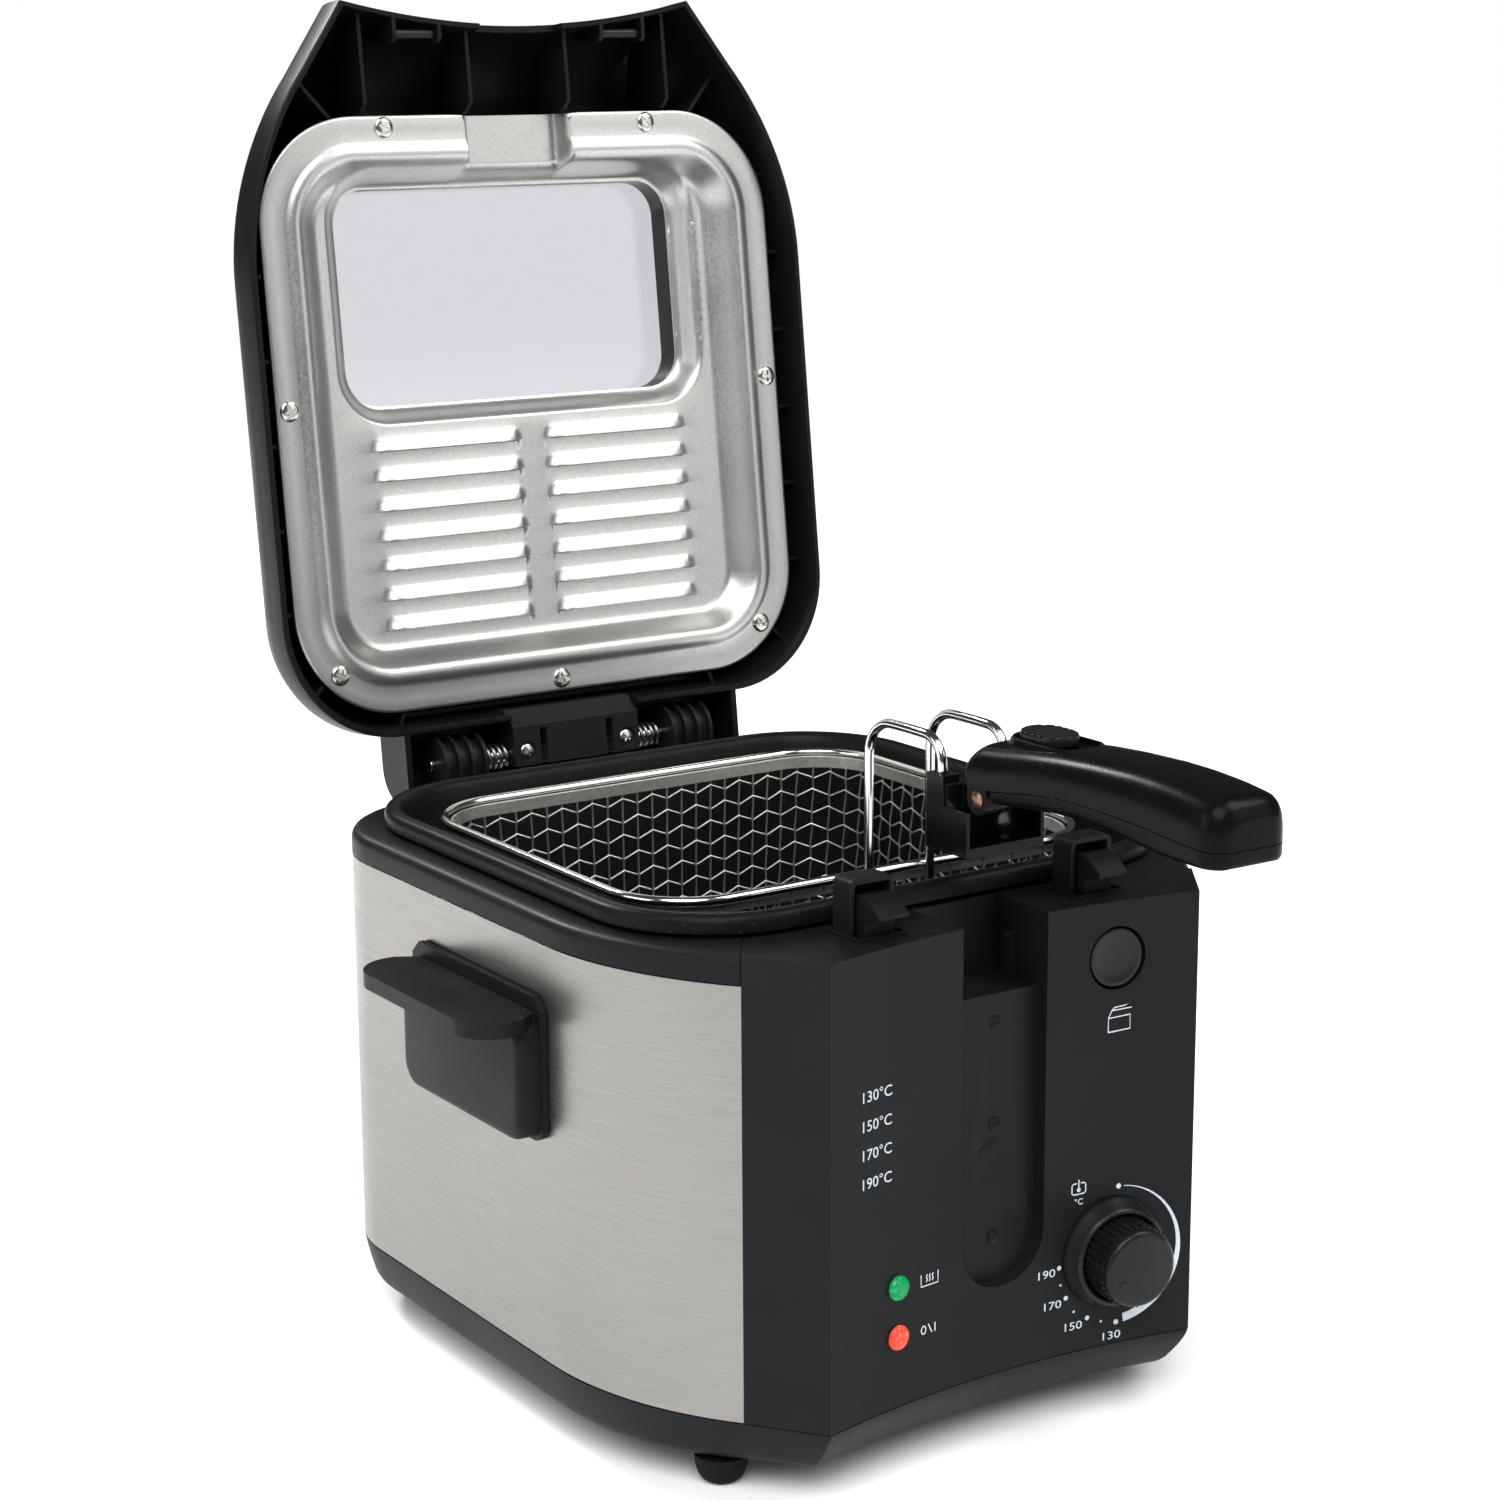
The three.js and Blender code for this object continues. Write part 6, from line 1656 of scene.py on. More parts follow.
@dataclass
class Handle:
    """The folding grip: a bowed upper shell, a lower cover, its rivet and the ribbed slide."""

    half: float = 16.0
    back: float = -125.0
    end: float = -246.0
    under: float = 231.6
    seam: tuple[Flat, ...] = ((0, 237.0), (8, 237.5), (19, 238.3), (32, 239.4), (49, 240.2), (66, 240.4),
                              (76, 239.9), (86, 238.9), (97, 237.2), (106, 236.0), (121, 235.6))
    bow: float = 3.5
    crown: tuple[Flat, ...] = ((0, 251.8), (6, 253.0), (16, 254.4), (28, 255.3), (41, 255.6), (60, 255.1),
                               (76, 254.1), (90, 252.7), (100, 251.4), (110, 250.1), (121, 249.0))
    peak: float = -182.0
    reach: float = 50.0
    end_radius: float = 8.0
    end_round: float = 6.0
    back_round: float = 7.0
    deck: float = 252.0
    collar: Flat = (-154.6, 15.6)  # middle and half length
    slide_half: float = 7.8
    slide_length: float = 21.2
    slide_back: float = -139.6
    slide_top: float = 256.0
    ridges: int = 6
    ridge_pitch: float = 3.2
    basket: Basket = field(default_factory=Basket)

    def build(self) -> None:
        """Builds the grip."""
        self._upper()
        self._lower()
        self._pin()
        self._slide()

    def _bowed(self, y: float, height: float) -> float:
        """Rise of the bow at y."""
        share = min(max((y - self.peak) / self.reach, -1), 1)
        return height * cos(share * pi / 2) ** 2

    @staticmethod
    def _off(radius: float, distance: float) -> float:
        """How much a rounding takes off at a distance from its end."""
        inside = min(max(distance, 0.0), radius)
        return radius - sqrt(inside * (2 * radius - inside))

    def _stations(self) -> list[float]:
        """Places along the grip, dense in its rounded ends.

        Returns:
            Values of y, from the pivot to the end.
        """
        turn = [1 - cos(radians(a)) for a in range(0, 91, 9)]
        first, last = self.back - self.back_round, self.end + self.end_radius
        middle = [first + (last - first) * i / 30 for i in range(1, 30)]
        return ([self.back - s * self.back_round for s in turn] + middle
                + [self.end + s * self.end_radius for s in reversed(turn)])

    def _half_at(self, y: float) -> float:
        """Half width of the grip at y."""
        return self.half - self._off(self.end_radius, y - self.end) - self._off(2.5, self.back - y)

    def _upper(self) -> None:
        """The upper shell with the slide's raised collar, the lugs and the room for the tongue."""
        loops: list[Loop] = []
        for y in self._stations():
            half, low = self._half_at(y), along(self.seam, y - self.end) + SEAM / 2
            crown = (along(self.crown, y - self.end) - self._off(self.end_round, y - self.end)
                     - self._off(self.back_round, self.back - y))
            turns = [(cos(radians(a)), sin(radians(a))) for a in range(0, 181, 6)]
            loops.append([(half * copysign(abs(c) ** (2 / 3.6), c), y, low + (crown - low) * s ** (2 / 3.4))
                          for c, s in turns])
        shell = Form().loft(loops)
        cy, long = self.collar
        collar = Form().loft([at_height(stadium(self.slide_half + m, long + m, cy, 16), z)
                              for m, z in ((3.4, 246), (3.0, 251.4), (2.4, 253.0), (1.9, 253.6))])
        track = Form().prism(stadium(self.slide_half + 0.8, long + 0.8, cy, 16), self.deck, self.deck + 9)
        slot = Form().box((-2.6, 2.6), (self.slide_back - 3, self.slide_back - 27), (self.under + 9, self.deck + 2))
        (py, pz), pin = self.basket.pivot, self.basket.pin + SEAM
        lugs = [Form().bar_x([*arc(py, pz, 5, 180, 360, 24), (py + 5, pz + 10), (py - 5, pz + 10)],
                             s * 9.1, s * 15.4) for s in (-1, 1)]
        room = Form().box((-9.1, 9.1), (py - 6.6, self.back + 2), (200, pz + 9.2))
        bore = Form().rod((-30, py, pz), (30, py, pz), pin, 32)
        whole = shell.fused(collar, *lugs).cut(track, slot, room, bore)
        make(whole, "grip_upper_shell", Body.HANDLE, Finishes.grip, ["handle_upper"], edge=0.35, crease=34)

    def _lower(self) -> None:
        """The lower cover, from in front of the lugs to the end."""
        stop = self.basket.pivot[0] - 8
        places = [stop, *(y for y in self._stations() if y < stop - 0.5)]
        loops: list[Loop] = []
        for y in places:
            half, high = self._half_at(y), along(self.seam, y - self.end) - SEAM / 2
            low = self.under + self._bowed(y, self.bow) + self._off(2.0, y - self.end)
            edge = arc(half - 2.2, low + 2.2, 2.2, 0, -90, 6)
            right = [(half, high), *edge]
            loops.append([(x, y, z) for x, z in right + [(-x, z) for x, z in reversed(right)]])
        make(Form().loft(loops), "grip_lower_cover", Body.HANDLE, Finishes.grip, ["handle_lower"], edge=0.3,
             crease=40)

    def _pin(self) -> None:
        """The pivot: a rivet with a low domed head at each side."""
        (y, z), r = self.basket.pivot, self.basket.pin
        dome = [(0, 16.3), (1.2, 16.2), (2.2, 15.95), (2.9, 15.5), (2.9, 15.3)]
        profile = [*dome, (r, 15.3), (r, -15.3), *((a, -b) for a, b in reversed(dome))]
        make(Form().turned(profile, 40), "pivot_rivet", Body.HANDLE, Finishes.rivet, ["handle_pin"], crease=50,
             place=put_at((0, y, z), 90, "Y"))

    def _slide(self) -> None:
        """The ribbed slide on its deck, with the stem and keeper below."""
        deck, top = self.deck, self.slide_top
        cy = self.slide_back - self.slide_length / 2
        cap = Form().loft([at_height(stadium(self.slide_half - m, self.slide_length / 2 - m, cy, 16), z)
                           for m, z in ((0.3, deck + SEAM), (0.0, deck + 0.8), (0.0, top - 1.2),
                                        (0.35, top - 0.35), (1.0, top))])
        offsets = [(i - (self.ridges - 1) / 2) * self.ridge_pitch for i in range(self.ridges)]
        grooves = [Form().bar_x([(cy + o - 1.0, top + 1), (cy + o - 0.55, top - 1.2),
                                 (cy + o + 0.55, top - 1.2), (cy + o + 1.0, top + 1)], -9, 9)
                   for o in offsets]
        stem = Form().box((-2, 2), (cy - 6, cy + 4), (deck - 6.5, deck + 1))
        keeper = Form().box((-5.2, 5.2), (cy - 7, cy + 5), (deck - 7.7, deck - 5.8))
        make(cap.cut(*grooves).fused(stem, keeper), "ribbed_slide", Body.SLIDER, Finishes.satin, ["handle_slider"],
             edge=0.15, crease=34)


# ----- controls and fittings
def coil(start: Place, end: Place, radius: float, wire: float, turns: int) -> Form:
    """A coil spring between two places.

    Args:
        start, end: Ends of the coil's axis.
        radius: Radius of the coil.
        wire: Radius of the wire.
        turns: Number of turns.

    Returns:
        The spring.
    """
    first, last = Vector(start), Vector(end)
    along = (last - first).normalized()
    side = along.orthogonal().normalized()
    third = along.cross(side)
    steps = turns * 20
    path = []
    for i in range(steps + 1):
        t = 2 * pi * i / 20
        path.append(tuple(first.lerp(last, i / steps) + (side * cos(t) + third * sin(t)) * radius))
    return Form().tube(path, wire, 8)


@dataclass
class Controls:
    """Temperature knob, lamps and release button on the hollow front face."""

    knob_z: float = 62.5
    knob_radius: float = 14.7
    ribs: int = 36
    rib_depth: float = 0.75
    skirt_gap: float = 2.2
    face: float = 19.5
    face_radius: float = 13.8
    bezel: float = 20.0
    bezel_off: float = 1.1
    bezel_height: float = 6.5
    lamp_z: Flat = (70.6, 53.1)
    lamp_radius: float = 4.3
    button_z: float = 168.0
    button_radius: float = 10.3
    stem_y: float = -121.5  # where the stem meets the tie bar

    def build(self) -> None:
        """Builds the controls."""
        self._bezel()
        self._knob()
        self._lamps()
        self._button()

    def _bezel(self) -> None:
        """The cone-sided ring that the knob stands in."""
        inner, low, top = self.knob_radius + 1, self.bezel_off, self.bezel_off + self.bezel_height
        profile = [(inner, low), (self.bezel, low), (self.bezel - 0.1, low + 0.8), (self.bezel - 0.7, low + 1.6),
                   (self.bezel - 2.3, top - 1.2), (self.bezel - 2.8, top - 0.3), (self.bezel - 3.5, top),
                   (inner + 0.5, top), (inner, top - 0.4)]
        make(Form().turned(profile, 96), "knob_ring", Body.HOUSING, Finishes.satin, ["knob_bezel"],
             place=PLAN.on_face(1, self.knob_z), crease=40)

    def _knob(self) -> None:
        """The ribbed knob with its hollow pointer mark and shaft."""
        top, flat = self.face, self.face_radius
        outline: Outline = []
        for i in range(self.ribs * 4):
            turn = 2 * pi * i / (self.ribs * 4)
            r = self.knob_radius - (self.rib_depth if i % 4 in (2, 3) else 0)
            outline.append((r * cos(turn), r * sin(turn)))
        grip = Form().prism(outline, self.skirt_gap, top - 3)
        neck = self.knob_radius - self.rib_depth - 0.2
        crown = Form().turned([(0, top - 3.6), (neck, top - 3.6), (neck, top - 1.9),
                               (flat - 0.35, top - 0.9), (flat - 1.1, top - 0.2),
                               (flat - 2.2, top), (0, top + 0.3)], 96)
        mark = Matrix.Rotation(radians(206), 4, "Z") @ Matrix.Translation((8.6, 0, top + 0.4))
        mark = mark @ Matrix.Diagonal((1.9, 0.75, 0.8, 1.0))
        pointer = Form().turned([(0, -1.2), (0.8, -1.0), (1.4, -0.5), (1.5, 1), (0, 1)], 32).placed(mark)
        shaft = Form().turned([(0, -12.0), (3.4, -12.0), (3.4, self.skirt_gap + 1), (0, self.skirt_gap + 1)], 32)
        make(grip.fused(crown, shaft).cut(pointer), "dial_knob", Body.KNOB, Finishes.satin, ["temperature_knob"],
             place=PLAN.on_face(1, self.knob_z), edge=0.12, crease=34)

    def _lamps(self) -> None:
        """Two faceted lenses on the left tower."""
        r = self.lamp_radius
        profile = [(0, -6), (r - 1.1, -6), (r - 1.1, 0.3), (r, 0.3), (r, 0.9), (r * 0.93, 1.5), (r * 0.78, 2.0),
                   (r * 0.55, 2.35), (r * 0.3, 2.55), (0, 2.6)]
        for z, node, finish in zip(self.lamp_z, ("lamp_green", "lamp_red"), (Finishes.green, Finishes.red)):
            make(Form().turned(profile, 48), f"{node}_lens", Body.HOUSING, finish, [node],
                 place=PLAN.on_face(-1, z), crease=50)

    def _button(self) -> None:
        """The round release button, slightly dished, with its stem cut square at the latches."""
        r = self.button_radius
        cap = [(0, -4.4), (r, -4.4), (r, -0.9), (r - 0.25, -0.5), (r - 0.7, -0.4), (r - 1.6, -0.42),
               (r - 2.2, -0.62), (r * 0.4, -0.95), (0, -1.0)]
        button = Form().turned(cap, 96).placed(PLAN.on_face(1, self.button_z))
        reach = abs(PLAN.front_at(PLAN.control_x) - self.stem_y)
        stem = Form().turned([(0, -reach + 0.6), (2.5, -reach + 0.6), (2.5, -3), (0, -3)], 24)
        stem = stem.placed(PLAN.on_face(1, self.button_z))
        whole = button.fused(stem).cut(Form().box((0, 123), (self.stem_y - SEAM, 0), (0, 188)))
        make(whole, "round_release_button", Body.BUTTON, Finishes.satin, ["release_button"], crease=34)


@dataclass
class Latches:
    """Hooks, hoods, tie bar and springs that hold the lid shut."""

    x: float = 46.0
    hood_half: float = 8.9
    hood_y: Flat = (-117.6, -107.5)
    hood_top: float = 207.3
    hood_round: float = 2.5
    wall: float = 2.0
    top: float = 188.0
    hook_half: float = 6.0
    tip: Flat = (-129.4, 197.2)
    hook_top: float = 202.3
    post: Flat = (-121.5, -116.2)
    link_z: float = 150.0
    link_half: float = 4.0
    spring_y: Flat = (-115.1, -104.5)
    squeezed: float = 0.66

    def build(self) -> None:
        """Builds both latches and what ties them together."""
        for side, name in SIDES:
            self._hood(side, name)
            self._hook(side, name)
            x, z = side * self.x, self.link_z
            front, back = self.spring_y
            spring = make(coil((x, front, z), (x, back, z), 3.6, 0.6, 4), f"latch_coil_{name}", Body.HOUSING,
                          Finishes.spring, [f"latch_spring_{name}"], crease=60)
            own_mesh(spring)
        reach = self.x + self.hook_half
        bar = Form().box((-reach, reach), (self.post[0] + 0.4, self.post[1]),
                         (self.link_z - self.link_half, self.link_z + self.link_half))
        make(bar, "latch_tie_bar", Body.LATCH, Finishes.housing, ["latch_link"], edge=0.4)

    def _hood(self, side: int, name: str) -> None:
        """The arched hood over a hook, open to the front.

        Args:
            side: -1 for left, 1 for right.
            name: The same in words.
        """
        half, r, top, low = self.hood_half, self.hood_round, self.hood_top, self.top - 4
        arch = [*arc(half - r, top - r, r, 0, 90, 10), *arc(-half + r, top - r, r, 90, 180, 10), (-half, low),
                (half, low)]
        y0, y1 = self.hood_y
        room = Form().box((-half + self.wall, half - self.wall), (y0 - 1, y1 - 1.4), (low - 1, top - self.wall))
        hood = Form().bar_y(arch, y0, y1).cut(room).placed(put_at((side * self.x, 0, 0)))
        make(hood, f"latch_arch_{name}", Body.HOUSING, Finishes.housing, [f"latch_hood_{name}"], edge=0.5,
             segments=3, crease=34)

    def _hook(self, side: int, name: str) -> None:
        """A hook with a slightly hollow sloping nose.

        Args:
            side: -1 for left, 1 for right.
            name: The same in words.
        """
        (front, back), (ty, tz), top = self.post, self.tip, self.hook_top
        foot = self.link_z + self.link_half + SEAM
        start = (front + 0.4, top - 0.4)
        nose = [start]
        for i in range(1, 9):
            t = i / 8
            sag = 0.9 * sin(pi * t)
            nose.append((start[0] + (ty - start[0]) * t + 0.2 * sag, start[1] + (tz - start[1]) * t + sag))
        outline = [(back, foot), (back, top - 1), (back - 0.3, top - 0.3), (back - 1, top), (front + 1.2, top), *nose,
                   (ty + 0.3, tz - 1.4), (front, tz - 3.4), (front, foot)]
        x = side * self.x
        make(Form().bar_x(outline, x - self.hook_half, x + self.hook_half), f"latch_nose_{name}", Body.LATCH,
             Finishes.hook, [f"latch_hook_{name}"], edge=0.3, crease=34)


@dataclass
class SideHandle:
    """A carrying handle: back plate, deep lip under a flat shelf."""

    cy: float = 6.3
    half: float = 45.4
    plate: float = 2.5
    low: float = 109.0
    high: float = 160.0
    shelf_top: float = 154.4
    shelf_reach: float = 28.0
    shelf_round: float = 15.0
    shelf_thick: float = 5.6
    sheet: float = 3.8
    grip_cy: float = 3.6
    grip_half: float = 42.3
    grip_reach: float = 11.0
    grip_round: float = 8.0

    def build(self) -> None:
        """Builds the right handle and its mirror image."""
        shape = self._shape()
        for side, name in reversed(SIDES):
            put = Matrix.Diagonal((side, 1, 1, 1))
            make(shape, f"carry_handle_{name}", Body.HOUSING, Finishes.housing, [f"side_handle_{name}"], edge=0.6,
                 segments=3, crease=32, place=put)

    def _shape(self) -> Form:
        """The right handle.

        Returns:
            The solid.
        """
        wall, y0, y1 = 123.3, self.cy - self.half, self.cy + self.half
        low, top = self.low, self.shelf_top
        outline = [*arc(y0 + 6, low + 6, 6, 180, 270, 8), *arc(y1 - 6, low + 6, 6, 270, 360, 8), (y1, top + 1),
                   (y1 - 5, self.high), (y0 + 5, self.high), (y0, top + 1)]
        plate = Form().bar_x(outline, wall, wall + self.plate)
        face, tall = wall + self.grip_reach, (top - low) / 2 - 0.6
        mid = low + tall + 0.2

        rings = ((0.6, wall + 1), (0.6, face - 3.2), (0.8, face - 2.2), (1.4, face - 1.0), (2.3, face - 0.3),
                 (3.4, face))
        grip = Form().loft([[(x, self.grip_cy + y, mid + z) for y, z in
                             round_rect(self.grip_half - inset, tall - inset, self.grip_round, 0, 10)]
                            for inset, x in rings])
        reach, r = wall + self.shelf_reach, self.shelf_round
        half_plan = [(wall, y0 + 4.5), (wall + 3, y0 + 4.5), (wall + 6, y0 + 2.5), (wall + 10, y0 + 0.2),
                     *arc(reach - r, y0 + r, r, -84, 0, 14)]
        plan = half_plan + [(x, 2 * self.cy - y) for x, y in reversed(half_plan)]
        shelf = Form().prism(plan, top - self.shelf_thick, top)
        sheet, below = top - self.sheet, top - self.shelf_thick - 1
        room = Form().prism(moved_in(plan, 2.2), below, top)
        under = Form().bar_y([(wall - 1, sheet), (face + 0.4, sheet), (reach, sheet + 1.2), (reach, below),
                              (wall - 1, below)], y0 + 3, y1 - 3).common(room)
        return plate.fused(shelf.cut(under), grip)


@dataclass
class Hinge:
    """Ribbed knuckles, pin, springs and the screwed block on the lid."""

    knuckle: Flat = (43.0, 62.0)
    radius: float = 11.2
    rib_depth: float = 2.6
    rib: float = 1.6
    ribs: int = 4
    seat_top: float = 183.9
    seat_back: float = 146.2
    pin: float = 2.5
    block_half: float = 29.0
    block_y: Flat = (134.8, 157.0)
    block_z: Flat = (188.6, 202.8)
    chamfer: float = 6.2
    slot_x: float = 15.3
    slot: float = 1.4
    screw_x: float = 23.0
    screw_y: float = 151.5

    def build(self) -> None:
        """Builds the hinge."""
        y, z = HINGE
        for side, name in reversed(SIDES):
            make(self._knuckle(), f"ribbed_knuckle_{name}", Body.HOUSING, Finishes.housing, [f"hinge_knuckle_{name}"],
                 edge=0.3, crease=32, place=Matrix.Diagonal((side, 1, 1, 1)))
            spring = coil((side * 31, y, z), (side * 41, y, z), 4.4, 0.8, 4)
            make(spring, f"hinge_coil_{name}", Body.HOUSING, Finishes.spring, [f"hinge_spring_{name}"], crease=60)
        reach = self.knuckle[1] + 2
        make(Form().rod((-reach, y, z), (reach, y, z), self.pin, 32), "hinge_rod", Body.HOUSING,
             Finishes.screw, ["hinge_pin"], edge=0.4)
        self._block()

    def _side(self, radius: float, front: float) -> Outline:
        """A knuckle's outline in (y, z).

        Args:
            radius: Radius about the pin.
            front: y of its front.

        Returns:
            The outline.
        """
        (y, z), back = HINGE, self.seat_back
        return [*arc(y, z, radius, -60, 180, 28), (front, z - 5), (front, self.seat_top),
                (back, self.seat_top), (back, z - 6.5)]

    def _knuckle(self) -> Form:
        """A core with four deep ribs, bored for the pin.

        Returns:
            The right knuckle.
        """
        (x0, x1), (y, z) = self.knuckle, HINGE
        core = Form().bar_x(self._side(self.radius - self.rib_depth, 143.9), x0, x1)
        pitch = (x1 - x0 - self.rib) / (self.ribs - 1)
        ribs = [Form().bar_x(self._side(self.radius, y - self.radius), x0 + i * pitch, x0 + i * pitch + self.rib)
                for i in range(self.ribs)]
        return core.fused(*ribs).cut(Form().rod((0, y, z), (80, y, z), self.pin + SEAM, 32))

    def _block(self) -> None:
        """The block under the lid's hinge cover, with two slots and two cross-head screws."""
        (front, back), (low, top), (y, z), c = self.block_y, self.block_z, HINGE, self.chamfer
        outline = [(back, low), (front + c, low), (front, low + c + 0.8), (front, top), (back, top)]
        block = Form().bar_x(outline, -self.block_half, self.block_half)
        slots = [Form().box((s * self.slot_x - self.slot, s * self.slot_x + self.slot), (front + c + 2, back + 1),
                            (low - 1, top - 1.8)) for s in (-1, 1)]
        bore = Form().rod((-80, y, z), (80, y, z), self.pin + SEAM, 32)
        wells = [Form().rod((s * self.screw_x, self.screw_y, low - 1), (s * self.screw_x, self.screw_y, low + 0.9),
                            3.9, 32) for s in (-1, 1)]
        make(block.cut(*slots, *wells, bore), "hinge_clamp_block", Body.LID, Finishes.base, ["hinge_block"],
             edge=0.4, crease=30)
        for s, name in SIDES:
            make(cross_screw(3.3), f"hinge_screw_{name}", Body.LID, Finishes.screw,
                 crease=40, place=put_at((s * self.screw_x, self.screw_y, low + 0.9), 31 * s))


@dataclass
class Prints:
    """Pad-printed marks on the front face: temperatures, the dial's scale and small signs."""

    dial: Flat = (47.8, 60.6)
    dial_radius: float = 25.0
    proud: float = 0.06
    film: float = 0.04
    line: float = 0.42

    def build(self) -> None:
        """Prints the list on the left tower and the scale on the right one."""
        marks = Form()
        for heat, z in ((130, 138.2), (150, 128.3), (170, 118.5), (190, 108.6)):
            marks.with_form(self._text(f"{heat}°C", (-62.2, z), (13.2, 3.9)))
        for number, x, z in ((190, 15.9, 57.6), (170, 18.6, 45.7), (150, 27.4, 36.3), (130, 43.2, 29.8)):
            marks.with_form(self._text(str(number), (x, z), (7.1, 2.9)))
        for x, z, radius in ((24.6, 60.3, 0.85), (27.6, 48.7, 0.85), (36.6, 39.6, 0.85), (48.4, 35.8, 0.95),
                             (25.3, 53.9, 0.45), (31.0, 43.0, 0.45), (42.3, 37.2, 0.45), (48.4, 85.9, 0.95)):
            marks.with_form(self._laid(arc(x, z, radius, 0, 345, 23)))
        marks.with_form(self._swelling())
        self._signs(marks)
        make(marks, "printed_scales", Body.HOUSING, Finishes.ink, crease=60)

    def _spot(self, x: float, z: float, lift: float) -> Place:
        """A place on the front face, lifted off it."""
        return (x, PLAN.front_at(x) - lift, z)

    def _laid(self, outline: Outline) -> Form:
        """A flat mark laid on the face."""
        lifts = (self.film, self.proud + self.film)
        return Form().loft([[self._spot(x, z, lift) for x, z in outline] for lift in lifts])

    def _stroke(self, marks: Form, points: Outline) -> None:
        """Adds a drawn line through the points."""
        half = self.line / 2
        marks.with_form(self._laid(moved_in(points, -half) + moved_in(points, half)[::-1]))

    def _text(self, words: str, corner: Flat, size: Flat) -> Form:
        """Figures fitted between a lower left corner and a size.

        Args:
            words: What is printed.
            corner: x and z of the lower left corner.
            size: Width and height.

        Returns:
            The mark.
        """
        curve = bpy.data.curves.new("figures", "FONT")
        curve.body, curve.extrude, curve.resolution_u = words, 0.5, 3
        holder = shown("figures", curve)
        solved = holder.evaluated_get(bpy.context.evaluated_depsgraph_get())
        drawn = solved.to_mesh()
        spots = [tuple(v.co) for v in drawn.vertices]
        made = Form()
        made.faces = [list(f.vertices) for f in drawn.polygons]
        solved.to_mesh_clear()
        bpy.data.objects.remove(holder)
        bpy.data.curves.remove(curve)
        left, low = min(p[0] for p in spots), min(p[1] for p in spots)
        wide, tall = max(p[0] for p in spots) - left, max(p[1] for p in spots) - low
        made.points = [self._spot(corner[0] + (x - left) / wide * size[0], corner[1] + (y - low) / tall * size[1],
                                  self.film + self.proud * (0.5 + z)) for x, y, z in spots]
        return made

    def _swelling(self) -> Form:
        """The band that widens clockwise from the off dot to the lowest setting.

        Returns:
            The band.
        """
        (cx, cz), r = self.dial, self.dial_radius
        steps = 40
        outer, inner = [], []
        for i in range(steps + 1):
            t = i / steps
            turn = radians(84 - 166 * t)
            width = 0.25 + 2.9 * min(t * 1.15, 1.0) ** 1.3
            outer.append((cx + (r + 0.4) * cos(turn), cz + (r + 0.4) * sin(turn)))
            inner.append((cx + (r + 0.4 - width) * cos(turn), cz + (r + 0.4 - width) * sin(turn)))
        made = Form()
        for k in range(steps):
            made.with_form(self._laid([outer[k], outer[k + 1], inner[k + 1], inner[k]]))
        return made

    def _signs(self, marks: Form) -> None:
        """Small signs, each a corner and the strokes drawn from it.

        Args:
            marks: Form that takes the strokes.
        """
        oval = [(1.1 + a, 1.6 + 1.4 * b) for a, b in arc(0, 0, 1, 90, 450, 16)]
        heat = [[(left, 1.2), (left + 0.4, 2.1), (left, 3.0), (left + 0.4, 3.9)] for left in (2.4, 3.7, 5.0)]
        box = [[(0, 0), (0, 5.0), (8.6, 5.4), (8.6, 0.4), (0, 0), (0, 0.3)],
               [(0, 5.0), (1.3, 7.6), (9.2, 7.9), (8.2, 9.0), (2.4, 8.6), (1.3, 7.6)]]
        pan = [[(0, 4.2), (0, 0), (7.6, 0), (7.6, 4.2)], *heat]
        power = [oval, [(3.2, 3.2), (4.8, 0)], [(6.2, 0), (6.2, 3.2)]]
        tank = [(2.0, 3.9), (0.6, 3.9), (0, 3.3), (0, 0.6), (0.6, 0), (5.0, 0), (5.6, 0.6), (5.6, 3.3), (5.0, 3.9),
                (3.6, 3.9)]
        for (x, z), sign in (((42.9, 142.0), box), ((-35.4, 67.8), pan), ((-35.2, 50.6), power),
                             ((29.4, 85.8), [tank, [(2.8, 1.6), (2.8, 5.2)]])):
            for stroke in sign:
                self._stroke(marks, [(x + a, z + b) for a, b in stroke])
        marks.with_form(self._laid(arc(32.2, 87.3, 0.75, 0, 340, 17)), self._text("°C", (30.6, 81.9), (3.4, 2.3)))


PARTS = [Housing(), Prints(), Lid(), Basket(), Handle(), Controls(), Latches(), SideHandle(), Hinge()]


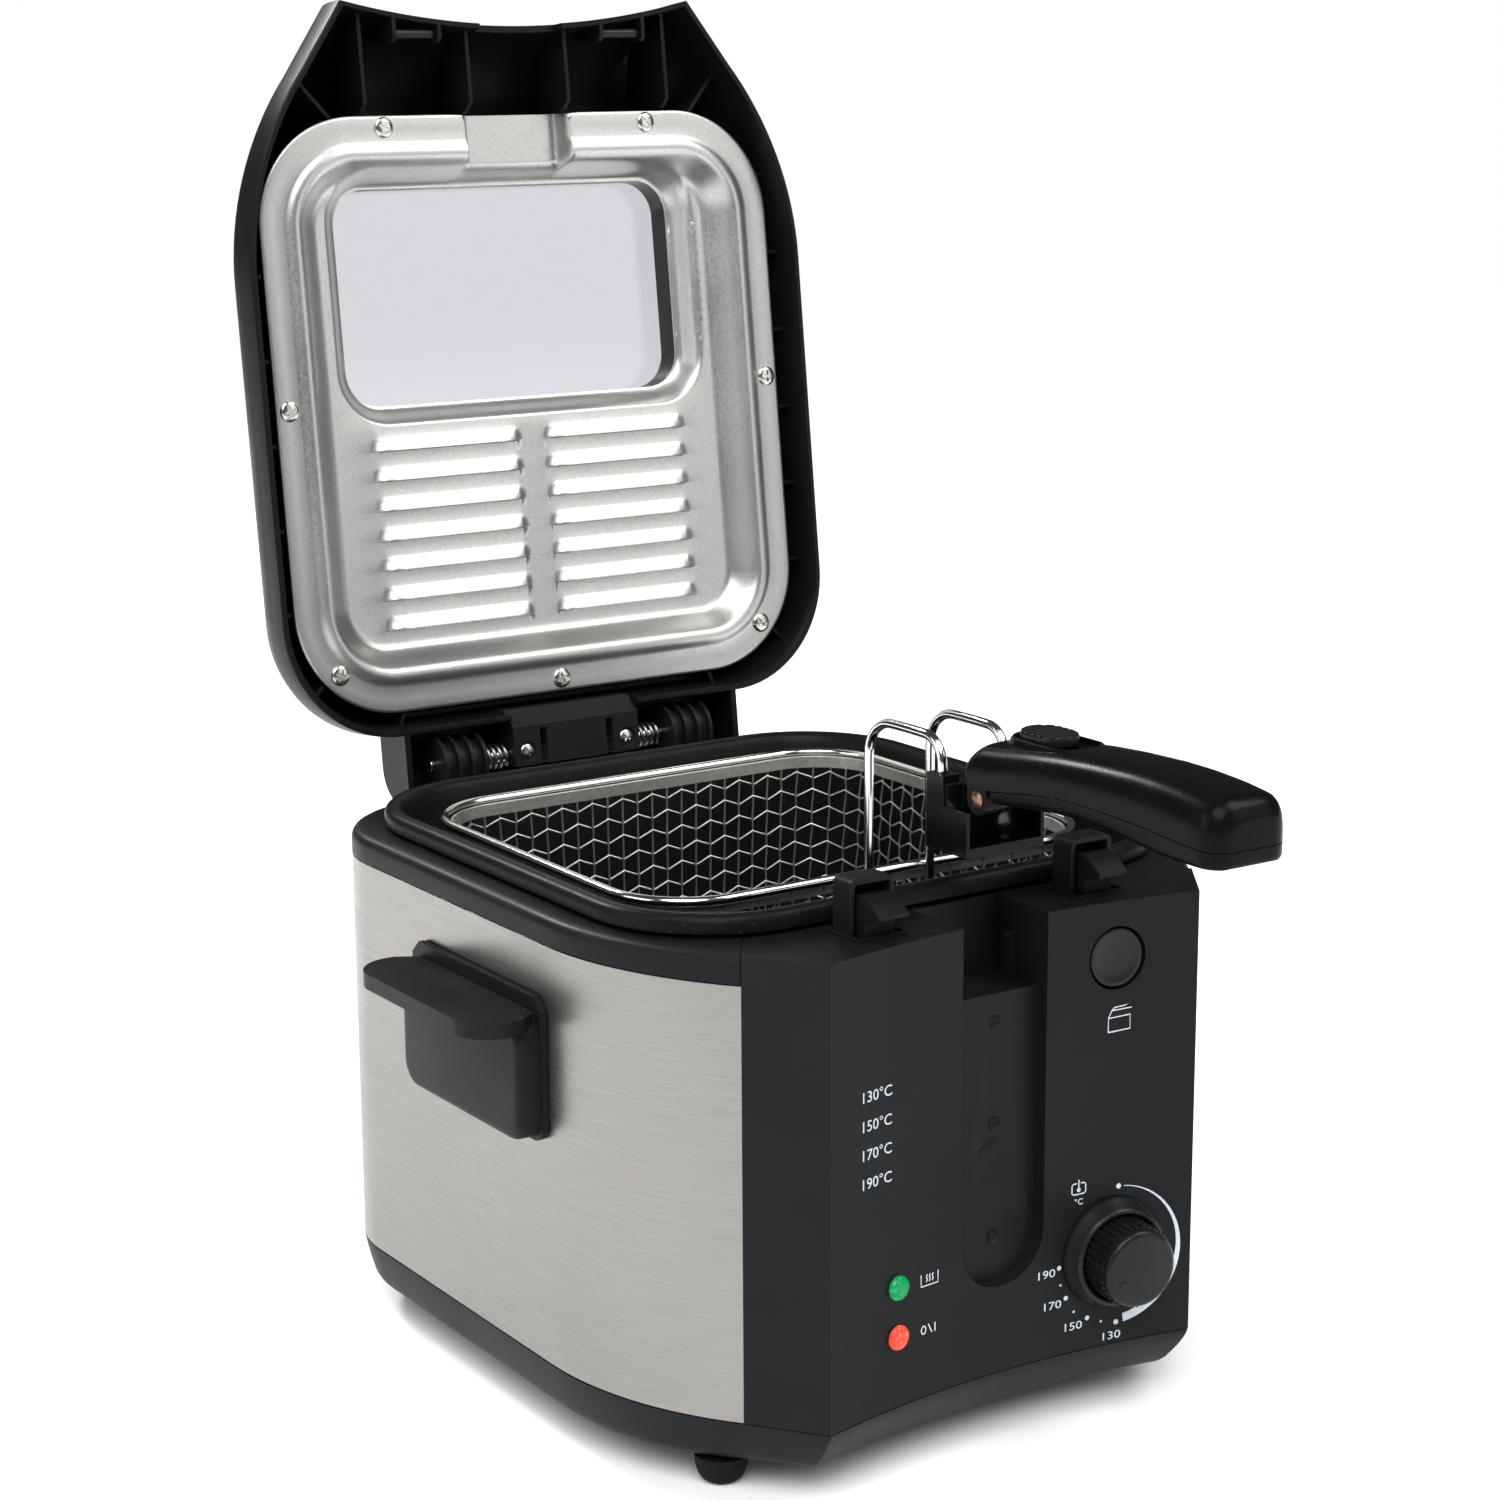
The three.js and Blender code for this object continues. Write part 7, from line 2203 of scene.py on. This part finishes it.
# ----- stage
@dataclass
class Studio:
    """A plain pale floor, soft light and the camera."""

    eye: Place = (-0.62246, -0.89057, 0.47003)
    azimuth: float = -33.85
    elevation: float = 12.717
    roll: float = -0.331
    lens: float = 74.888
    dim: float = 0.44  # the world on matt surfaces
    gloss_dim: float = 0.06  # the world in plastic's reflections
    sun: float = 2.65
    sun_spread: float = 45.0
    sun_aim: Place = (0.5, 0.75, -1.1)
    middle: Place = (0.0, 0.0, 0.2)  # what the lamps aim at

    def build(self) -> None:
        """Builds the stage."""
        self._camera()
        self._world()
        self._floor()
        self._sun()
        self._lamp("top", (0.8, -0.75, 1.5), 0.8, 12.0)
        self._lamp("front", (1.4, -2.0, 1.0), 1.3, 7.0)
        self._lamp("left", (-1.8, 0.2, 0.8), 1.2, 10.0)
        self._lamp("back", (-0.37, 1.83, 1.68), 0.5, 40.0)
        view = bpy.context.scene.view_settings
        view.view_transform = "Standard"

    def _camera(self) -> None:
        """The camera, at eye level with the handle, left of the front."""
        data = bpy.data.cameras.new("camera")
        data.lens, data.sensor_width = self.lens, 36.0
        data.clip_start, data.clip_end = 0.05, 50.0
        turn, lift, roll = (radians(a) for a in (self.azimuth, self.elevation, self.roll))
        back = Vector((sin(turn) * cos(lift), -cos(turn) * cos(lift), sin(lift)))
        right = Vector((cos(turn), sin(turn), 0.0))
        up = back.cross(right)
        across = right * cos(roll) + up * sin(roll)
        upward = up * cos(roll) - right * sin(roll)
        made = shown("camera", data)
        made.matrix_world = Matrix.Translation(self.eye) @ Matrix((across, upward, back)).transposed().to_4x4()
        bpy.context.scene.camera = made

    def _world(self) -> None:
        """A dim even light that looks white to the eye and through glass, and dimmer still in glossy reflections."""
        world = bpy.data.worlds.new("studio")
        world.use_nodes = True
        bpy.context.scene.world = world
        tree = world.node_tree
        tree.nodes.clear()
        path = add(tree, "LightPath")
        seen = add(tree, "Math", {0: path.outputs["Is Camera Ray"], 1: path.outputs["Is Transmission Ray"]},
                   operation="MAXIMUM")
        dim = add(tree, "MapRange", {"Value": path.outputs["Is Glossy Ray"], "To Min": self.dim,
                                     "To Max": self.gloss_dim})
        level = add(tree, "Math", {0: seen.outputs[0], 1: dim.outputs[0]}, operation="MAXIMUM")
        back = add(tree, "Background", {"Color": (1, 1, 1, 1), "Strength": level.outputs[0]})
        add(tree, "OutputWorld", {"Surface": back.outputs[0]})

    def _floor(self) -> None:
        """The floor: pale, matt, white where nothing shades it."""
        made = shown("floor", Form().box((-4000, 4000), (-4000, 4000), (-20, 0)).mesh("floor", MM))
        made.data.materials.append(Finishes.floor.material())

    def _sun(self) -> None:
        """A broad soft light from high on the left, the same over the whole floor."""
        data = bpy.data.lights.new("key", "SUN")
        data.energy, data.angle = self.sun, radians(self.sun_spread)
        shown("key", data).rotation_euler = Vector(self.sun_aim).to_track_quat("-Z", "Y").to_euler()

    def _lamp(self, name: str, place: Place, size: float, power: float) -> None:
        """A soft square lamp aimed at the middle of the fryer.

        Args:
            name: Name of the lamp.
            place: Where it hangs, in metres.
            size: Side of the square, in metres.
            power: Watts.
        """
        data = bpy.data.lights.new(name, "AREA")
        data.shape, data.size, data.energy = "SQUARE", size, power
        made = shown(name, data)
        made.location = place
        made.rotation_euler = (Vector(self.middle) - Vector(place)).to_track_quat("-Z", "Y").to_euler()


def main() -> None:
    """Builds the stage, then the fryer piece by piece."""
    logging.basicConfig(level=logging.INFO, format="%(name)s: %(message)s")
    Studio().build()
    for part in PARTS:
        LOG.info("building %s", type(part).__name__)
        part.build()


if __name__ == "__main__":
    main()
